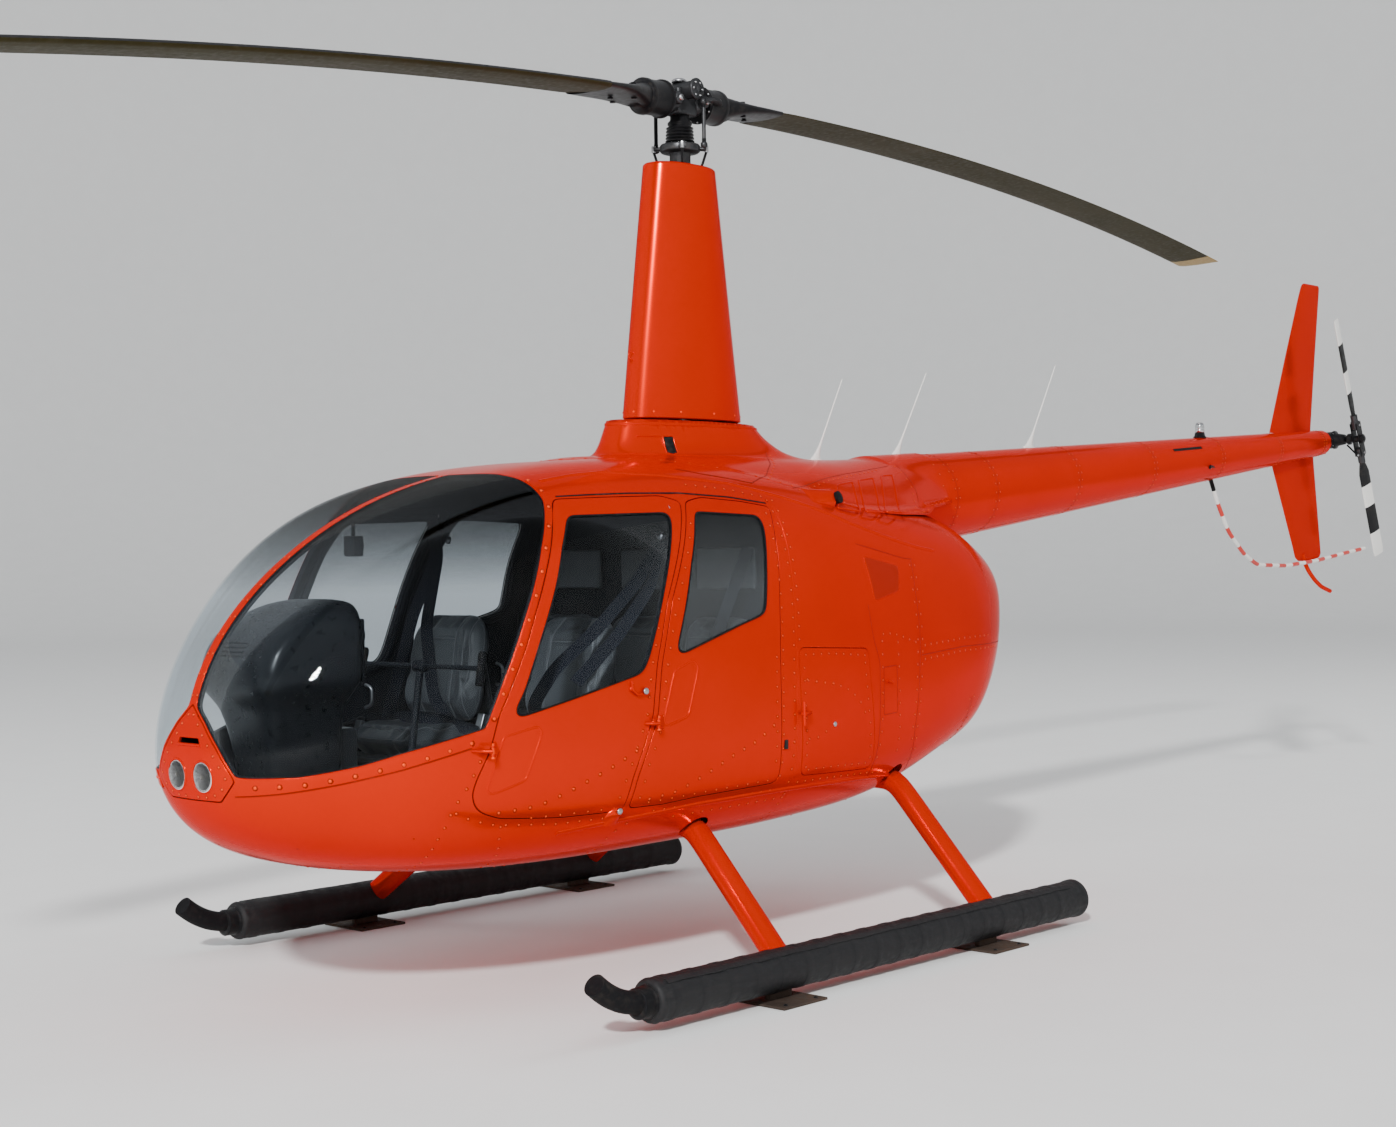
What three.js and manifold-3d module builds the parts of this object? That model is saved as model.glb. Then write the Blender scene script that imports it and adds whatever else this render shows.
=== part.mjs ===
// Light turbine helicopter on skids with stowed floats, two-blade rotors and four cabin doors.
// Millimetres, +Z up, nose towards -Y, port side towards +X. Stations along Y are counted from
// the mast axis. The finished group is moved back so that its box is centred on the origin.
import * as THREE from 'three';
import { mergeVertices } from 'three/addons/utils/BufferGeometryUtils.js';
import Module from 'manifold-3d';

const wasm = await Module();
wasm.setup();

// Driving dimensions
const MAST_TO_BOX_CENTRE = 615.2; // distance from the mast axis back to the middle of the whole box
const GAP = 0.3; // between pieces that touch
const WALL = 24; // thickness of skin, doors and frames
const DOOR_GAP = 3.5; // taken off each side of a door seam
const GLASS_INSET = 8; // windows lie this far inside the outer skin
const GLASS_THICKNESS = 5;

// Fuselage skin: a rounded nose and tail closed by power curves
const NOSE_Y = -2373;
const NOSE_Z = 920;
const NOSE_POWER_WIDTH = 3.06;
const NOSE_POWER_TOP = 2.11;
const NOSE_POWER_BELLY = 3.06;
const NOSE_BLEND_Y = -350;
const TAIL_Y = 1820;
const TAIL_Z = 1200;
const TAIL_POWER = 2.57;
const TAIL_BLEND_LENGTH = 655;
const TAIL_HEIGHT_POWER = 0.35;

// Columns: station y, half width, waist z, belly z, roof z, power below waist, power above waist
const SKIN = [
  [-2400, 630, 872, 373, 1893, 2.06, 1.79],
  [-1600, 726, 937, 411, 1941, 3.05, 3.85],
  [-800, 748, 975, 438, 1919, 3.44, 3.91],
  [0, 736, 1007, 458, 1887, 3.6, 3.51],
  [600, 689, 1053, 502, 1827, 3.53, 3.17],
  [1200, 613, 1133, 641, 1737, 3.07, 2.84],
  [1550, 533, 1242, 678, 1635, 2.21, 2.52],
  [1820, 502, 1284, 845, 1541, 2.14, 2.66],
];
const NOSE_ROUND_END = -1300;
const TAIL_ROUND_LENGTH = 560;
const FIRST_RING = 0.045; // parts of the quarter turn at which the end rings stand
const LAST_RING = 0.94;
const RINGS_NOSE = 9;
const RINGS_MIDDLE = 9;
const RINGS_TAIL = 6;
const POINTS_PER_QUARTER = 7;

// Panel outlines seen from the side, as [y, z]
const WINDSHIELD_SIDE = [
  [-2500, 845], [-2220, 847], [-2065, 876], [-1947, 908], [-1821, 938], [-1664, 975],
  [-1612, 1094], [-1565, 1197], [-1509, 1328], [-1457, 1444], [-1402, 1571],
  [-1352, 1663], [-1312, 1732], [-1294, 1798], [-1280, 1840], [-1270, 2050], [-2500, 2050],
];
const DOOR_FRONT = [
  [-1275, 1736], [-1316, 1680], [-1355, 1594], [-1402, 1493], [-1460, 1360], [-1515, 1222],
  [-1575, 1092], [-1617, 1011], [-1648, 904], [-1696, 809], [-1709, 760], [-1693, 719],
  [-1663, 694], [-1590, 669], [-1352, 651], [-1078, 649], [-1056, 766], [-1019, 851],
  [-965, 970], [-942, 1151], [-880, 1378], [-708, 1731], [-794, 1752], [-1078, 1744],
];
const DOOR_REAR = [
  [-1054, 655], [-1032, 766], [-995, 851], [-941, 970], [-918, 1151], [-856, 1378],
  [-684, 1731], [-590, 1748], [-372, 1735], [-206, 1716], [-226, 1660], [-243, 1588],
  [-270, 1362], [-277, 1175], [-275, 987], [-274, 818], [-267, 690], [-295, 674],
  [-700, 664], [-887, 653],
];
const WINDOW_FRONT = [
  [-1250, 1680], [-1271, 1662], [-1324, 1570], [-1382, 1425], [-1456, 1253], [-1519, 1095],
  [-1556, 1031], [-1552, 1010], [-1530, 1005], [-1026, 1122], [-1003, 1137], [-977, 1181],
  [-940, 1275], [-889, 1414], [-794, 1655], [-790, 1678], [-806, 1692],
];
const WINDOW_REAR = [
  [-654, 1696], [-675, 1663], [-745, 1500], [-796, 1341], [-841, 1211], [-836, 1192],
  [-809, 1184], [-496, 1276], [-393, 1302], [-358, 1316], [-349, 1338], [-323, 1494],
  [-290, 1637], [-292, 1668], [-312, 1684],
];
const BAGGAGE_DOOR = [
  [-150, 1178], [-165, 1160], [-150, 900], [-136, 705], [-115, 687], [332, 673],
  [352, 692], [291, 1140], [272, 1157],
];
// Nose panel seen from the front, as [x, z]
const NOSE_PANEL = [
  [0, 1072], [-72, 1010], [-145, 932], [-203, 850], [-212, 832], [-180, 798], [-140, 762],
  [140, 762], [180, 798], [212, 832], [203, 850], [145, 932], [72, 1010],
];
const NOSE_PANEL_BACK_Y = -2200;
const CENTRE_POST_HALF = 20;

// Cabin
const CABIN_SPLIT_Z = 985; // lower shell to roof frame
const NOSE_SPLIT_Z = 1080;
const BULKHEAD_Y = -180; // cabin to aft body
const FLOOR_Z = 600;
const FLOOR_THICKNESS = 20;
const SEAT_TOP_Z = 1310;
const SEAT_HALF_WIDTH = 230;
const SEAT_X = 340;

const EXHAUST = {
  start: [0, 1560, 1000],
  end: [0, 1850, 905],
  boreStart: [0, 1600, 987],
  boreEnd: [0, 1900, 889],
  radius: 85,
  wall: 7,
};

// Doors: vertical hinge lines at the lugs on their front edges
// Pin place, then the sleeve arm's depth and reach to the door, and the lug arm's two faces along Y
const HINGE_FRONT = {
  x: 694, y: -1672, z: 905, skinX: 638, armDepth: 28, doorReach: 70, lugFrom: -30, lugTo: 0,
  lugAbove: false,
};
const HINGE_REAR = {
  x: 766, y: -962, z: 950, skinX: 728, armDepth: 14, doorReach: 45, lugFrom: 3, lugTo: 13,
  lugAbove: true,
};
const HINGE_BAGGAGE = {
  x: 764, y: -166, z: 930, skinX: 724, armDepth: 14, doorReach: 50, lugFrom: -12, lugTo: 4,
  lugAbove: false,
};
const HINGE_HALF = 50;
const HINGE_RADIUS = 7;

// Rotors
const ROTOR_RADIUS = 5030;
const ROTOR_HUB_Z = 3385;
const ROTOR_ANGLE = 94.9; // degrees from +X to the blade that points back
const ROTOR_TILT = 0.0573; // slope of the resting rotor, down at the nose
const ROTOR_DROOP = 0.01724e-3; // sag per millimetre squared
const MAST_RADIUS = 30;
const BLADE_CHORD = 252;
const BLADE_ROOT = 560;
const TAIL_ROTOR = { x: 190, y: 5820, z: 2180, radius: 760, chord: 130, angle: -21.7 };

// Tail
const CONE_START_Y = 1180;
const CONE_END_Y = 5700;
const CONE_START_RADIUS = 224;
const CONE_END_RADIUS = 76;
const CONE_START_Z = 1736;
const CONE_END_Z = 2160;
const CONE_WALL = 10;
const CONE_SIDES = 20;

// Landing gear
const TRACK_HALF = 1140;
const SKID_Z = 105;
const SKID_RADIUS = 38;
const FLOAT_RADIUS = 74;
const FLOAT_FRONT_Y = -1425;
const FLOAT_REAR_Y = 1110;
const STRUT_RADIUS = 46;
// Columns: name, foot y, hull y, hull z, foot plate y
const CROSS_TUBES = [
  ['front', -742, -620, 545, -775],
  ['rear', 508, 600, 605, 465],
];
const STRUT_BEND_X = 600;
const PLATE_HALF_WIDTH = 125;
const PLATE_HALF_LENGTH = 115;
const PLATE_THICKNESS = 9;

// Finishes: colour, roughness, metalness
const paint = (color, roughness, metalness) =>
  new THREE.MeshStandardMaterial({ color, roughness, metalness });
const ORANGE = paint(0xe8400c, 0.25, 0.1);
const BLACK = paint(0x141416, 0.5, 0.1);
const DARK_METAL = paint(0x3b3d40, 0.45, 0.8);
const BLADE_PAINT = paint(0x1a1a1c, 0.4, 0.2);
const GLASS = paint(0x9fb4c0, 0.05, 0);
const LEATHER = paint(0x3a3c3f, 0.6, 0);
const FABRIC = paint(0x17181a, 0.8, 0);
const WHITE = paint(0xe6e6e2, 0.4, 0);
const CHROME = paint(0xd8dadc, 0.1, 1);
const STEEL = paint(0x6f7072, 0.4, 0.9);
const RED_LENS = paint(0xb01510, 0.15, 0);

const helicopter = new THREE.Group();
helicopter.name = 'helicopter';

// Solids

function toSolid(geometry) {
  const bare = geometry.index ? geometry.toNonIndexed() : geometry.clone();
  bare.deleteAttribute('normal');
  bare.deleteAttribute('uv');
  const merged = mergeVertices(bare, 1e-3);
  return new wasm.Manifold(new wasm.Mesh({
    numProp: 3,
    vertProperties: new Float32Array(merged.attributes.position.array),
    triVerts: new Uint32Array(merged.index.array),
  }));
}

function toGeometry(solid) {
  const data = solid.simplify(0.05).getMesh();
  const geometry = new THREE.BufferGeometry();
  const positions = new Float32Array(data.vertProperties);
  geometry.setAttribute('position', new THREE.BufferAttribute(positions, 3));
  geometry.setIndex(new THREE.BufferAttribute(new Uint32Array(data.triVerts), 1));
  geometry.computeVertexNormals();
  return geometry;
}

function place(name, solid, material) {
  const mesh = new THREE.Mesh(toGeometry(solid), material);
  mesh.name = name;
  helicopter.add(mesh);
}

function extrude(outline, depth) {
  const shape = new THREE.Shape(outline.map(([a, b]) => new THREE.Vector2(a, b)));
  return new THREE.ExtrudeGeometry(shape, { depth, bevelEnabled: false, steps: 1 });
}

// Outline in [y, z], carried along X
function prismX(outline, x0, x1) {
  const geometry = extrude(outline, x1 - x0);
  geometry.applyMatrix4(new THREE.Matrix4().set(0, 0, 1, x0, 1, 0, 0, 0, 0, 1, 0, 0, 0, 0, 0, 1));
  return toSolid(geometry);
}

// Outline in [x, z], carried along Y
function prismY(outline, y0, y1) {
  const geometry = extrude(outline, y1 - y0);
  geometry.applyMatrix4(new THREE.Matrix4().set(1, 0, 0, 0, 0, 0, -1, y1, 0, 1, 0, 0, 0, 0, 0, 1));
  return toSolid(geometry);
}

// Outline in [x, y], carried along Z
function prismZ(outline, z0, z1) {
  const geometry = extrude(outline, z1 - z0);
  geometry.translate(0, 0, z0);
  return toSolid(geometry);
}

function block(x0, x1, y0, y1, z0, z1) {
  const geometry = new THREE.BoxGeometry(x1 - x0, y1 - y0, z1 - z0);
  geometry.translate((x0 + x1) / 2, (y0 + y1) / 2, (z0 + z1) / 2);
  return toSolid(geometry);
}

// Round bar between two points, with a radius at each end
function bar(from, to, radius, endRadius = radius, sides = 12) {
  const start = new THREE.Vector3(...from);
  const end = new THREE.Vector3(...to);
  const axis = end.clone().sub(start);
  const geometry = new THREE.CylinderGeometry(endRadius, radius, axis.length(), sides);
  const upwards = new THREE.Vector3(0, 1, 0);
  const turn = new THREE.Quaternion().setFromUnitVectors(upwards, axis.clone().normalize());
  geometry.applyQuaternion(turn);
  const middle = start.add(end).multiplyScalar(0.5);
  geometry.translate(middle.x, middle.y, middle.z);
  return toSolid(geometry);
}

// Round tube along a smooth curve through the points
function tubeAlong(points, radius, steps, sides = 10) {
  const path = new THREE.CatmullRomCurve3(points.map((p) => new THREE.Vector3(...p)));
  const circle = [];
  for (let i = 0; i < sides; i += 1) {
    const angle = (i / sides) * Math.PI * 2;
    circle.push([Math.cos(angle) * radius, Math.sin(angle) * radius]);
  }
  const shape = new THREE.Shape(circle.map(([a, b]) => new THREE.Vector2(a, b)));
  return toSolid(new THREE.ExtrudeGeometry(shape, { extrudePath: path, steps, bevelEnabled: false }));
}

// Skin through rings of equal point counts, each end closed by a fan round its middle
function loft(rings) {
  const count = rings[0].length;
  const vertices = rings.flat();
  const faces = [];
  for (let r = 0; r + 1 < rings.length; r += 1) {
    for (let i = 0; i < count; i += 1) {
      const j = (i + 1) % count;
      const a = r * count + i;
      const b = r * count + j;
      faces.push([a, b, a + count], [b, b + count, a + count]);
    }
  }
  const close = (ring, offset, flip) => {
    const middle = vertices.length;
    vertices.push([0, 1, 2].map((k) => ring.reduce((sum, p) => sum + p[k], 0) / count));
    for (let i = 0; i < count; i += 1) {
      const a = offset + i;
      const b = offset + ((i + 1) % count);
      faces.push(flip ? [b, a, middle] : [a, b, middle]);
    }
  };
  close(rings[0], 0, true);
  close(rings[rings.length - 1], (rings.length - 1) * count, false);
  let volume = 0;
  for (const [a, b, c] of faces) {
    const [p, q, r] = [vertices[a], vertices[b], vertices[c]].map((v) => new THREE.Vector3(...v));
    volume += p.dot(q.cross(r));
  }
  const ordered = volume > 0 ? faces : faces.map(([a, b, c]) => [a, c, b]);
  return new wasm.Manifold(new wasm.Mesh({
    numProp: 3,
    vertProperties: new Float32Array(vertices.flat()),
    triVerts: new Uint32Array(ordered.flat()),
  }));
}

// Outline moved inwards by a distance (outwards if negative), with mitred corners
function inset(outline, distance) {
  const area = outline.reduce((sum, [a, b], i) => {
    const [c, d] = outline[(i + 1) % outline.length];
    return sum + a * d - b * c;
  }, 0);
  const side = Math.sign(area) * distance;
  return outline.map((point, i) => {
    const before = outline[(i + outline.length - 1) % outline.length];
    const after = outline[(i + 1) % outline.length];
    const u = new THREE.Vector2(point[0] - before[0], point[1] - before[1]).normalize();
    const v = new THREE.Vector2(after[0] - point[0], after[1] - point[1]).normalize();
    const turn = 1 + u.dot(v);
    return [point[0] - ((u.y + v.y) * side) / turn, point[1] + ((u.x + v.x) * side) / turn];
  });
}

function mirrorX(solid) {
  return solid.mirror([1, 0, 0]);
}

function union(solids) {
  return solids.reduce((sum, solid) => sum.add(solid));
}

// Fuselage skin

// Smooth value of a table column at a station, with flat turning points
function column(table, index, y) {
  const last = table.length - 1;
  const at = Math.min(Math.max(y, table[0][0]), table[last][0]);
  const width = (i) => table[i + 1][0] - table[i][0];
  const slope = (i) => (table[i + 1][index] - table[i][index]) / width(i);
  const tangent = (i) => {
    if (i === 0) return slope(0);
    if (i === last) return slope(last - 1);
    const before = slope(i - 1);
    const after = slope(i);
    if (before * after <= 0) return 0;
    return (before * width(i) + after * width(i - 1)) / (width(i - 1) + width(i));
  };
  let i = 0;
  while (i < last - 1 && at > table[i + 1][0]) i += 1;
  const t = (at - table[i][0]) / width(i);
  return table[i][index] * (1 + 2 * t) * (1 - t) ** 2
    + tangent(i) * width(i) * t * (1 - t) ** 2
    + table[i + 1][index] * t * t * (3 - 2 * t)
    + tangent(i + 1) * width(i) * t * t * (t - 1);
}

function powerCurve(s, power) {
  return (1 - s ** power) ** (1 / power);
}

// Closed section of the fuselage at a station, moved inwards by a distance
function fuselageRing(y, inwards) {
  const clamp = (value) => Math.min(Math.max(value, 0), 1);
  const front = clamp((NOSE_BLEND_Y - y) / (NOSE_BLEND_Y - NOSE_Y - inwards));
  const blendStart = TAIL_Y - TAIL_BLEND_LENGTH;
  const back = clamp((y - blendStart) / (TAIL_BLEND_LENGTH - inwards));
  const tail = powerCurve(back, TAIL_POWER);
  const tailHeight = y > 0 ? tail ** TAIL_HEIGHT_POWER : 1;
  const halfWidth = (column(SKIN, 1, y) - inwards) * powerCurve(front, NOSE_POWER_WIDTH) * tail;
  const waist = NOSE_Z + (column(SKIN, 2, y) - NOSE_Z) * powerCurve(front, NOSE_POWER_BELLY);
  const bellyFull = NOSE_Z - (NOSE_Z - column(SKIN, 3, y) - inwards) * powerCurve(front, NOSE_POWER_BELLY);
  const roofFull = NOSE_Z + (column(SKIN, 4, y) - inwards - NOSE_Z) * powerCurve(front, NOSE_POWER_TOP);
  const belly = TAIL_Z + (bellyFull - TAIL_Z) * tailHeight;
  const roof = TAIL_Z + (roofFull - TAIL_Z) * tailHeight;
  const lower = 2 / column(SKIN, 5, y);
  const upper = 2 / column(SKIN, 6, y);
  const half = [];
  for (let i = 0; i <= 2 * POINTS_PER_QUARTER; i += 1) {
    const above = i > POINTS_PER_QUARTER;
    const a = ((i / POINTS_PER_QUARTER) * Math.PI) / 2;
    const power = above ? upper : lower;
    const reach = above ? roof - waist : waist - belly;
    half.push([
      halfWidth * Math.max(Math.sin(a), 0) ** power,
      waist - Math.sign(Math.cos(a)) * reach * Math.abs(Math.cos(a)) ** power,
    ]);
  }
  half[half.length - 1][0] = 0;
  const other = half.slice(1, -1).reverse().map(([x, z]) => [-x, z]);
  return [...half, ...other].map(([x, z]) => [x, y, z]);
}

// Rings lie close together at the rounded ends and evenly between them
function fuselage(inwards) {
  const stations = [];
  const start = NOSE_Y + inwards;
  const end = TAIL_Y - inwards;
  const noseLength = NOSE_ROUND_END - start;
  const middleEnd = end - TAIL_ROUND_LENGTH;
  for (let i = 0; i < RINGS_NOSE; i += 1) {
    const a = (FIRST_RING + (1 - FIRST_RING) * (i / RINGS_NOSE)) * (Math.PI / 2);
    stations.push(start + noseLength * (1 - Math.cos(a)));
  }
  for (let i = 0; i < RINGS_MIDDLE; i += 1) {
    stations.push(NOSE_ROUND_END + ((middleEnd - NOSE_ROUND_END) * i) / RINGS_MIDDLE);
  }
  for (let i = 0; i < RINGS_TAIL; i += 1) {
    const a = ((i / (RINGS_TAIL - 1)) * LAST_RING * Math.PI) / 2;
    stations.push(end - TAIL_ROUND_LENGTH * (1 - Math.sin(a)));
  }
  return loft(stations.map((y) => fuselageRing(y, inwards)));
}

const outerSkin = fuselage(0);
const clearOfSkin = fuselage(-GAP);
const innerSkin = fuselage(WALL);
const insideSkin = fuselage(WALL + GAP);
const insideDoors = fuselage(WALL + 8);
const shell = outerSkin.subtract(innerSkin);
const glassLayer = fuselage(GLASS_INSET).subtract(fuselage(GLASS_INSET + GLASS_THICKNESS));

// Body half of a hinge: a pin on an arm, above or below the middle of the hinge
function hingeLug({ x, y, z, skinX, lugFrom, lugTo, lugAbove }) {
  const [low, high] = lugAbove ? [z + GAP, z + HINGE_HALF] : [z - HINGE_HALF, z - GAP];
  const [armLow, armHigh] = lugAbove ? [low + 12, high] : [low, high - 12];
  return union([
    bar([x, y, low], [x, y, high], HINGE_RADIUS),
    block(skinX, x, y + lugFrom, y + lugTo, armLow, armHigh),
  ]).subtract(innerSkin);
}

// Door half of a hinge: a sleeve on an arm that runs back outside the skin to the door
function hingeSleeve({ x, y, z, skinX, armDepth, doorReach, lugAbove }) {
  const [low, high] = lugAbove ? [z - HINGE_HALF, z - GAP] : [z + GAP, z + HINGE_HALF];
  const [armLow, armHigh] = lugAbove ? [low, high - 12] : [low + 12, high];
  const end = y + doorReach;
  return union([
    bar([x, y, low], [x, y, high], HINGE_RADIUS),
    block(x - armDepth, x, y, end, armLow, armHigh),
    block(skinX, x, end - 20, end, armLow, armHigh),
  ]).subtract(innerSkin);
}

// Landing gear tubes, needed first because the belly is cut round them
function crossTube(footY, hullY, hullZ, radius) {
  const footZ = SKID_Z + 10;
  const side = (sign) => [
    bar([sign * TRACK_HALF, footY, footZ], [sign * STRUT_BEND_X, hullY, hullZ], radius),
    toSolid(new THREE.SphereGeometry(radius, 12, 8).translate(sign * STRUT_BEND_X, hullY, hullZ)),
  ];
  return union([
    ...side(1),
    ...side(-1),
    bar([-STRUT_BEND_X, hullY, hullZ], [STRUT_BEND_X, hullY, hullZ], radius),
  ]);
}

function tailCone(extra, startY = CONE_START_Y, endY = CONE_END_Y) {
  const ring = (y, radius, z) => {
    const points = [];
    for (let i = 0; i < CONE_SIDES; i += 1) {
      const a = (i / CONE_SIDES) * Math.PI * 2;
      points.push([Math.cos(a) * radius, y, z + Math.sin(a) * radius]);
    }
    return points;
  };
  return loft([
    ring(startY, CONE_START_RADIUS + extra, CONE_START_Z),
    ring(endY, CONE_END_RADIUS + extra, CONE_END_Z),
  ]);
}

const coneOuter = tailCone(0);
const coneClear = tailCone(GAP);

// Lower shell, roof frame and aft body from one skin
const side = (outline, margin, sign) => {
  const cut = prismX(inset(outline, margin), 250, 900);
  return sign > 0 ? cut : mirrorX(cut);
};
const windshieldCut = (extra) => prismX(inset(WINDSHIELD_SIDE, -extra), CENTRE_POST_HALF - extra, 900);
const nosePanelCut = (extra) => prismY(inset(NOSE_PANEL, -extra), -2500, NOSE_PANEL_BACK_Y);
const windshieldHole = (sign) => {
  const hole = windshieldCut(GAP).subtract(nosePanelCut(6));
  return sign > 0 ? hole : mirrorX(hole);
};
const gearHoles = CROSS_TUBES.map(([, footY, hullY, hullZ]) =>
  crossTube(footY, hullY, hullZ, STRUT_RADIUS + GAP));

let body = shell;
for (const sign of [1, -1]) {
  body = body.subtract(windshieldHole(sign));
  body = body.subtract(side(DOOR_FRONT, -DOOR_GAP, sign));
  body = body.subtract(side(DOOR_REAR, -DOOR_GAP, sign));
}
const exhaustHole = bar(EXHAUST.start, EXHAUST.end, EXHAUST.radius + GAP, EXHAUST.radius + GAP, 20);
body = body.subtract(union([side(BAGGAGE_DOOR, -DOOR_GAP, 1), coneClear, exhaustHole, ...gearHoles]));

const nosePanel = shell.intersect(nosePanelCut(0));
const roofZone = union([
  block(-900, 900, -2200, BULKHEAD_Y - GAP, CABIN_SPLIT_Z + GAP, 2100),
  block(-900, 900, -2500, -2200, NOSE_SPLIT_Z + GAP, 2100),
]);
const lowerZone = block(-900, 900, -2500, BULKHEAD_Y - GAP, 300, 2100).subtract(union([
  block(-901, 901, -2199, BULKHEAD_Y, CABIN_SPLIT_Z, 2101),
  block(-901, 901, -2501, -2198, NOSE_SPLIT_Z, 2101),
]));

const frontLug = hingeLug(HINGE_FRONT);
const rearLug = hingeLug(HINGE_REAR);
body = union([
  body, frontLug, mirrorX(frontLug), rearLug, mirrorX(rearLug), hingeLug(HINGE_BAGGAGE),
]);
place('cabin_lower_shell', body.intersect(lowerZone).subtract(nosePanelCut(GAP)), ORANGE);
place('cabin_roof_frame', body.intersect(roofZone), ORANGE);
place('aft_body_shell', body.intersect(block(-900, 900, BULKHEAD_Y, 1900, 300, 2100)), ORANGE);

// Nose panel with two landing lights
const LAMP_X = 71;
const LAMP_Z = 845;
const LAMP_RADIUS = 46;
const lampBar = (radius, y0, y1) => [-1, 1].map((s) =>
  bar([s * LAMP_X, y0, LAMP_Z], [s * LAMP_X, y1, LAMP_Z], radius, radius, 20));
place('nose_panel', nosePanel.subtract(union(lampBar(LAMP_RADIUS + GAP, -2450, -2250))), ORANGE);
place('landing_lights', union([
  ...lampBar(LAMP_RADIUS, -2362, -2330),
  block(-LAMP_X, LAMP_X, -2338, -2330, LAMP_Z - 30, LAMP_Z + 30),
]), CHROME);

// Windshield halves
for (const [name, sign] of [['port', 1], ['starboard', -1]]) {
  const pane = glassLayer.intersect(windshieldCut(0).subtract(nosePanelCut(6 + GAP)));
  place(`windshield_${name}`, sign > 0 ? pane : mirrorX(pane), GLASS);
}

// Cabin doors, each with its window
const DOORS = [
  ['front', DOOR_FRONT, WINDOW_FRONT, hingeSleeve(HINGE_FRONT)],
  ['rear', DOOR_REAR, WINDOW_REAR, hingeSleeve(HINGE_REAR)],
];
for (const [name, sign] of [['port', 1], ['starboard', -1]]) {
  for (const [row, outline, window, sleeve] of DOORS) {
    const panel = shell.intersect(side(outline, DOOR_GAP, 1))
      .subtract(side(window, -GAP, 1)).add(sleeve);
    const pane = glassLayer.intersect(side(window, 0, 1));
    place(`door_${row}_${name}`, sign > 0 ? panel : mirrorX(panel), ORANGE);
    place(`window_${row}_${name}`, sign > 0 ? pane : mirrorX(pane), GLASS);
  }
}
const baggagePanel = shell.intersect(side(BAGGAGE_DOOR, DOOR_GAP, 1));
place('baggage_door', baggagePanel.add(hingeSleeve(HINGE_BAGGAGE)), ORANGE);

// Cabin floor, bulkheads and fittings
place('cabin_floor', insideSkin.intersect(
  block(-800, 800, -2150, BULKHEAD_Y - 30, FLOOR_Z, FLOOR_Z + FLOOR_THICKNESS)), BLACK);
place('cabin_bulkhead', insideSkin.intersect(
  block(-800, 800, BULKHEAD_Y - 30 + GAP, BULKHEAD_Y - GAP, 470, 1900)), BLACK);

const floorTop = FLOOR_Z + FLOOR_THICKNESS + GAP;
const SEAT_PROFILE = [
  [-1350, 800], [-1365, 870], [-1340, 905], [-960, 890], [-920, 1050], [-890, 1240],
  [-870, 1300], [-845, SEAT_TOP_Z], [-815, 1300], [-800, 1240], [-812, 880], [-830, 800],
];
for (const [name, sign] of [['port', 1], ['starboard', -1]]) {
  const [x0, x1] = [sign * SEAT_X - SEAT_HALF_WIDTH, sign * SEAT_X + SEAT_HALF_WIDTH];
  place(`seat_front_${name}`, prismX(SEAT_PROFILE, x0, x1), LEATHER);
}
place('seat_base_front', insideDoors.intersect(union([
  block(-585, -95, -1340, -820, floorTop, 800 - GAP),
  block(95, 585, -1340, -820, floorTop, 800 - GAP),
  block(-96, 96, -1300, -900, floorTop, 760),
])), BLACK);
const BENCH_PROFILE = [
  [-640, 800], [-655, 870], [-630, 905], [-330, 890], [-285, 1100], [-268, 1290],
  [-250, 1330], [-232, 1338], [-214, 1320], [-212, 800],
];
place('seat_rear_bench', prismX(BENCH_PROFILE, -630, 630), LEATHER);
place('seat_base_rear', insideDoors.intersect(block(-640, 640, -620, -212, floorTop, 800 - GAP)), BLACK);

const CONSOLE_PROFILE = [
  [-2180, floorTop], [-2215, 900], [-2195, 1130], [-2120, 1290], [-2010, 1375], [-1900, 1402],
  [-1850, 1392], [-1862, 1180], [-1880, 1120], [-1790, 1060], [-1760, 960], [-1760, floorTop],
];
const CONSOLE_HALF = 215;
place('instrument_console', prismX(CONSOLE_PROFILE, -CONSOLE_HALF, CONSOLE_HALF).intersect(
  fuselage(WALL + 30)), BLACK);

const GRIP_X = 330;
place('cyclic_stick', union([
  bar([0, -1480, floorTop - 10], [0, -1400, 1150], 14),
  bar([-GRIP_X, -1400, 1150], [GRIP_X, -1400, 1150], 11),
  ...[-GRIP_X, GRIP_X].map((x) => bar([x, -1400, 1090], [x, -1420, 1210], 15)),
]).subtract(block(-30, 30, -1520, -1440, floorTop - 40, floorTop)), BLACK);
const PEDAL_Y = -1960;
for (const [name, sign] of [['port', 1], ['starboard', -1]]) {
  const [inner, outer] = [sign * 265, sign * 375];
  const rodZ = floorTop + 12;
  place(`pedals_${name}`, union([
    bar([inner, PEDAL_Y, rodZ], [outer, PEDAL_Y, rodZ], 12),
    ...[inner, outer].map((x) => union([
      bar([x, PEDAL_Y, rodZ], [x, PEDAL_Y - 30, 780], 10),
      block(x - 40, x + 40, PEDAL_Y - 40, PEDAL_Y - 28, 740, 830),
    ])),
  ]), DARK_METAL);
}

// Small compass box on an arm from the centre post
place('compass', union([
  block(-30, 30, -1720, -1662, 1545, 1622),
  block(-6, 6, -1700, -1688, 1620, 1760),
]).intersect(insideSkin), BLACK);

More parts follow.
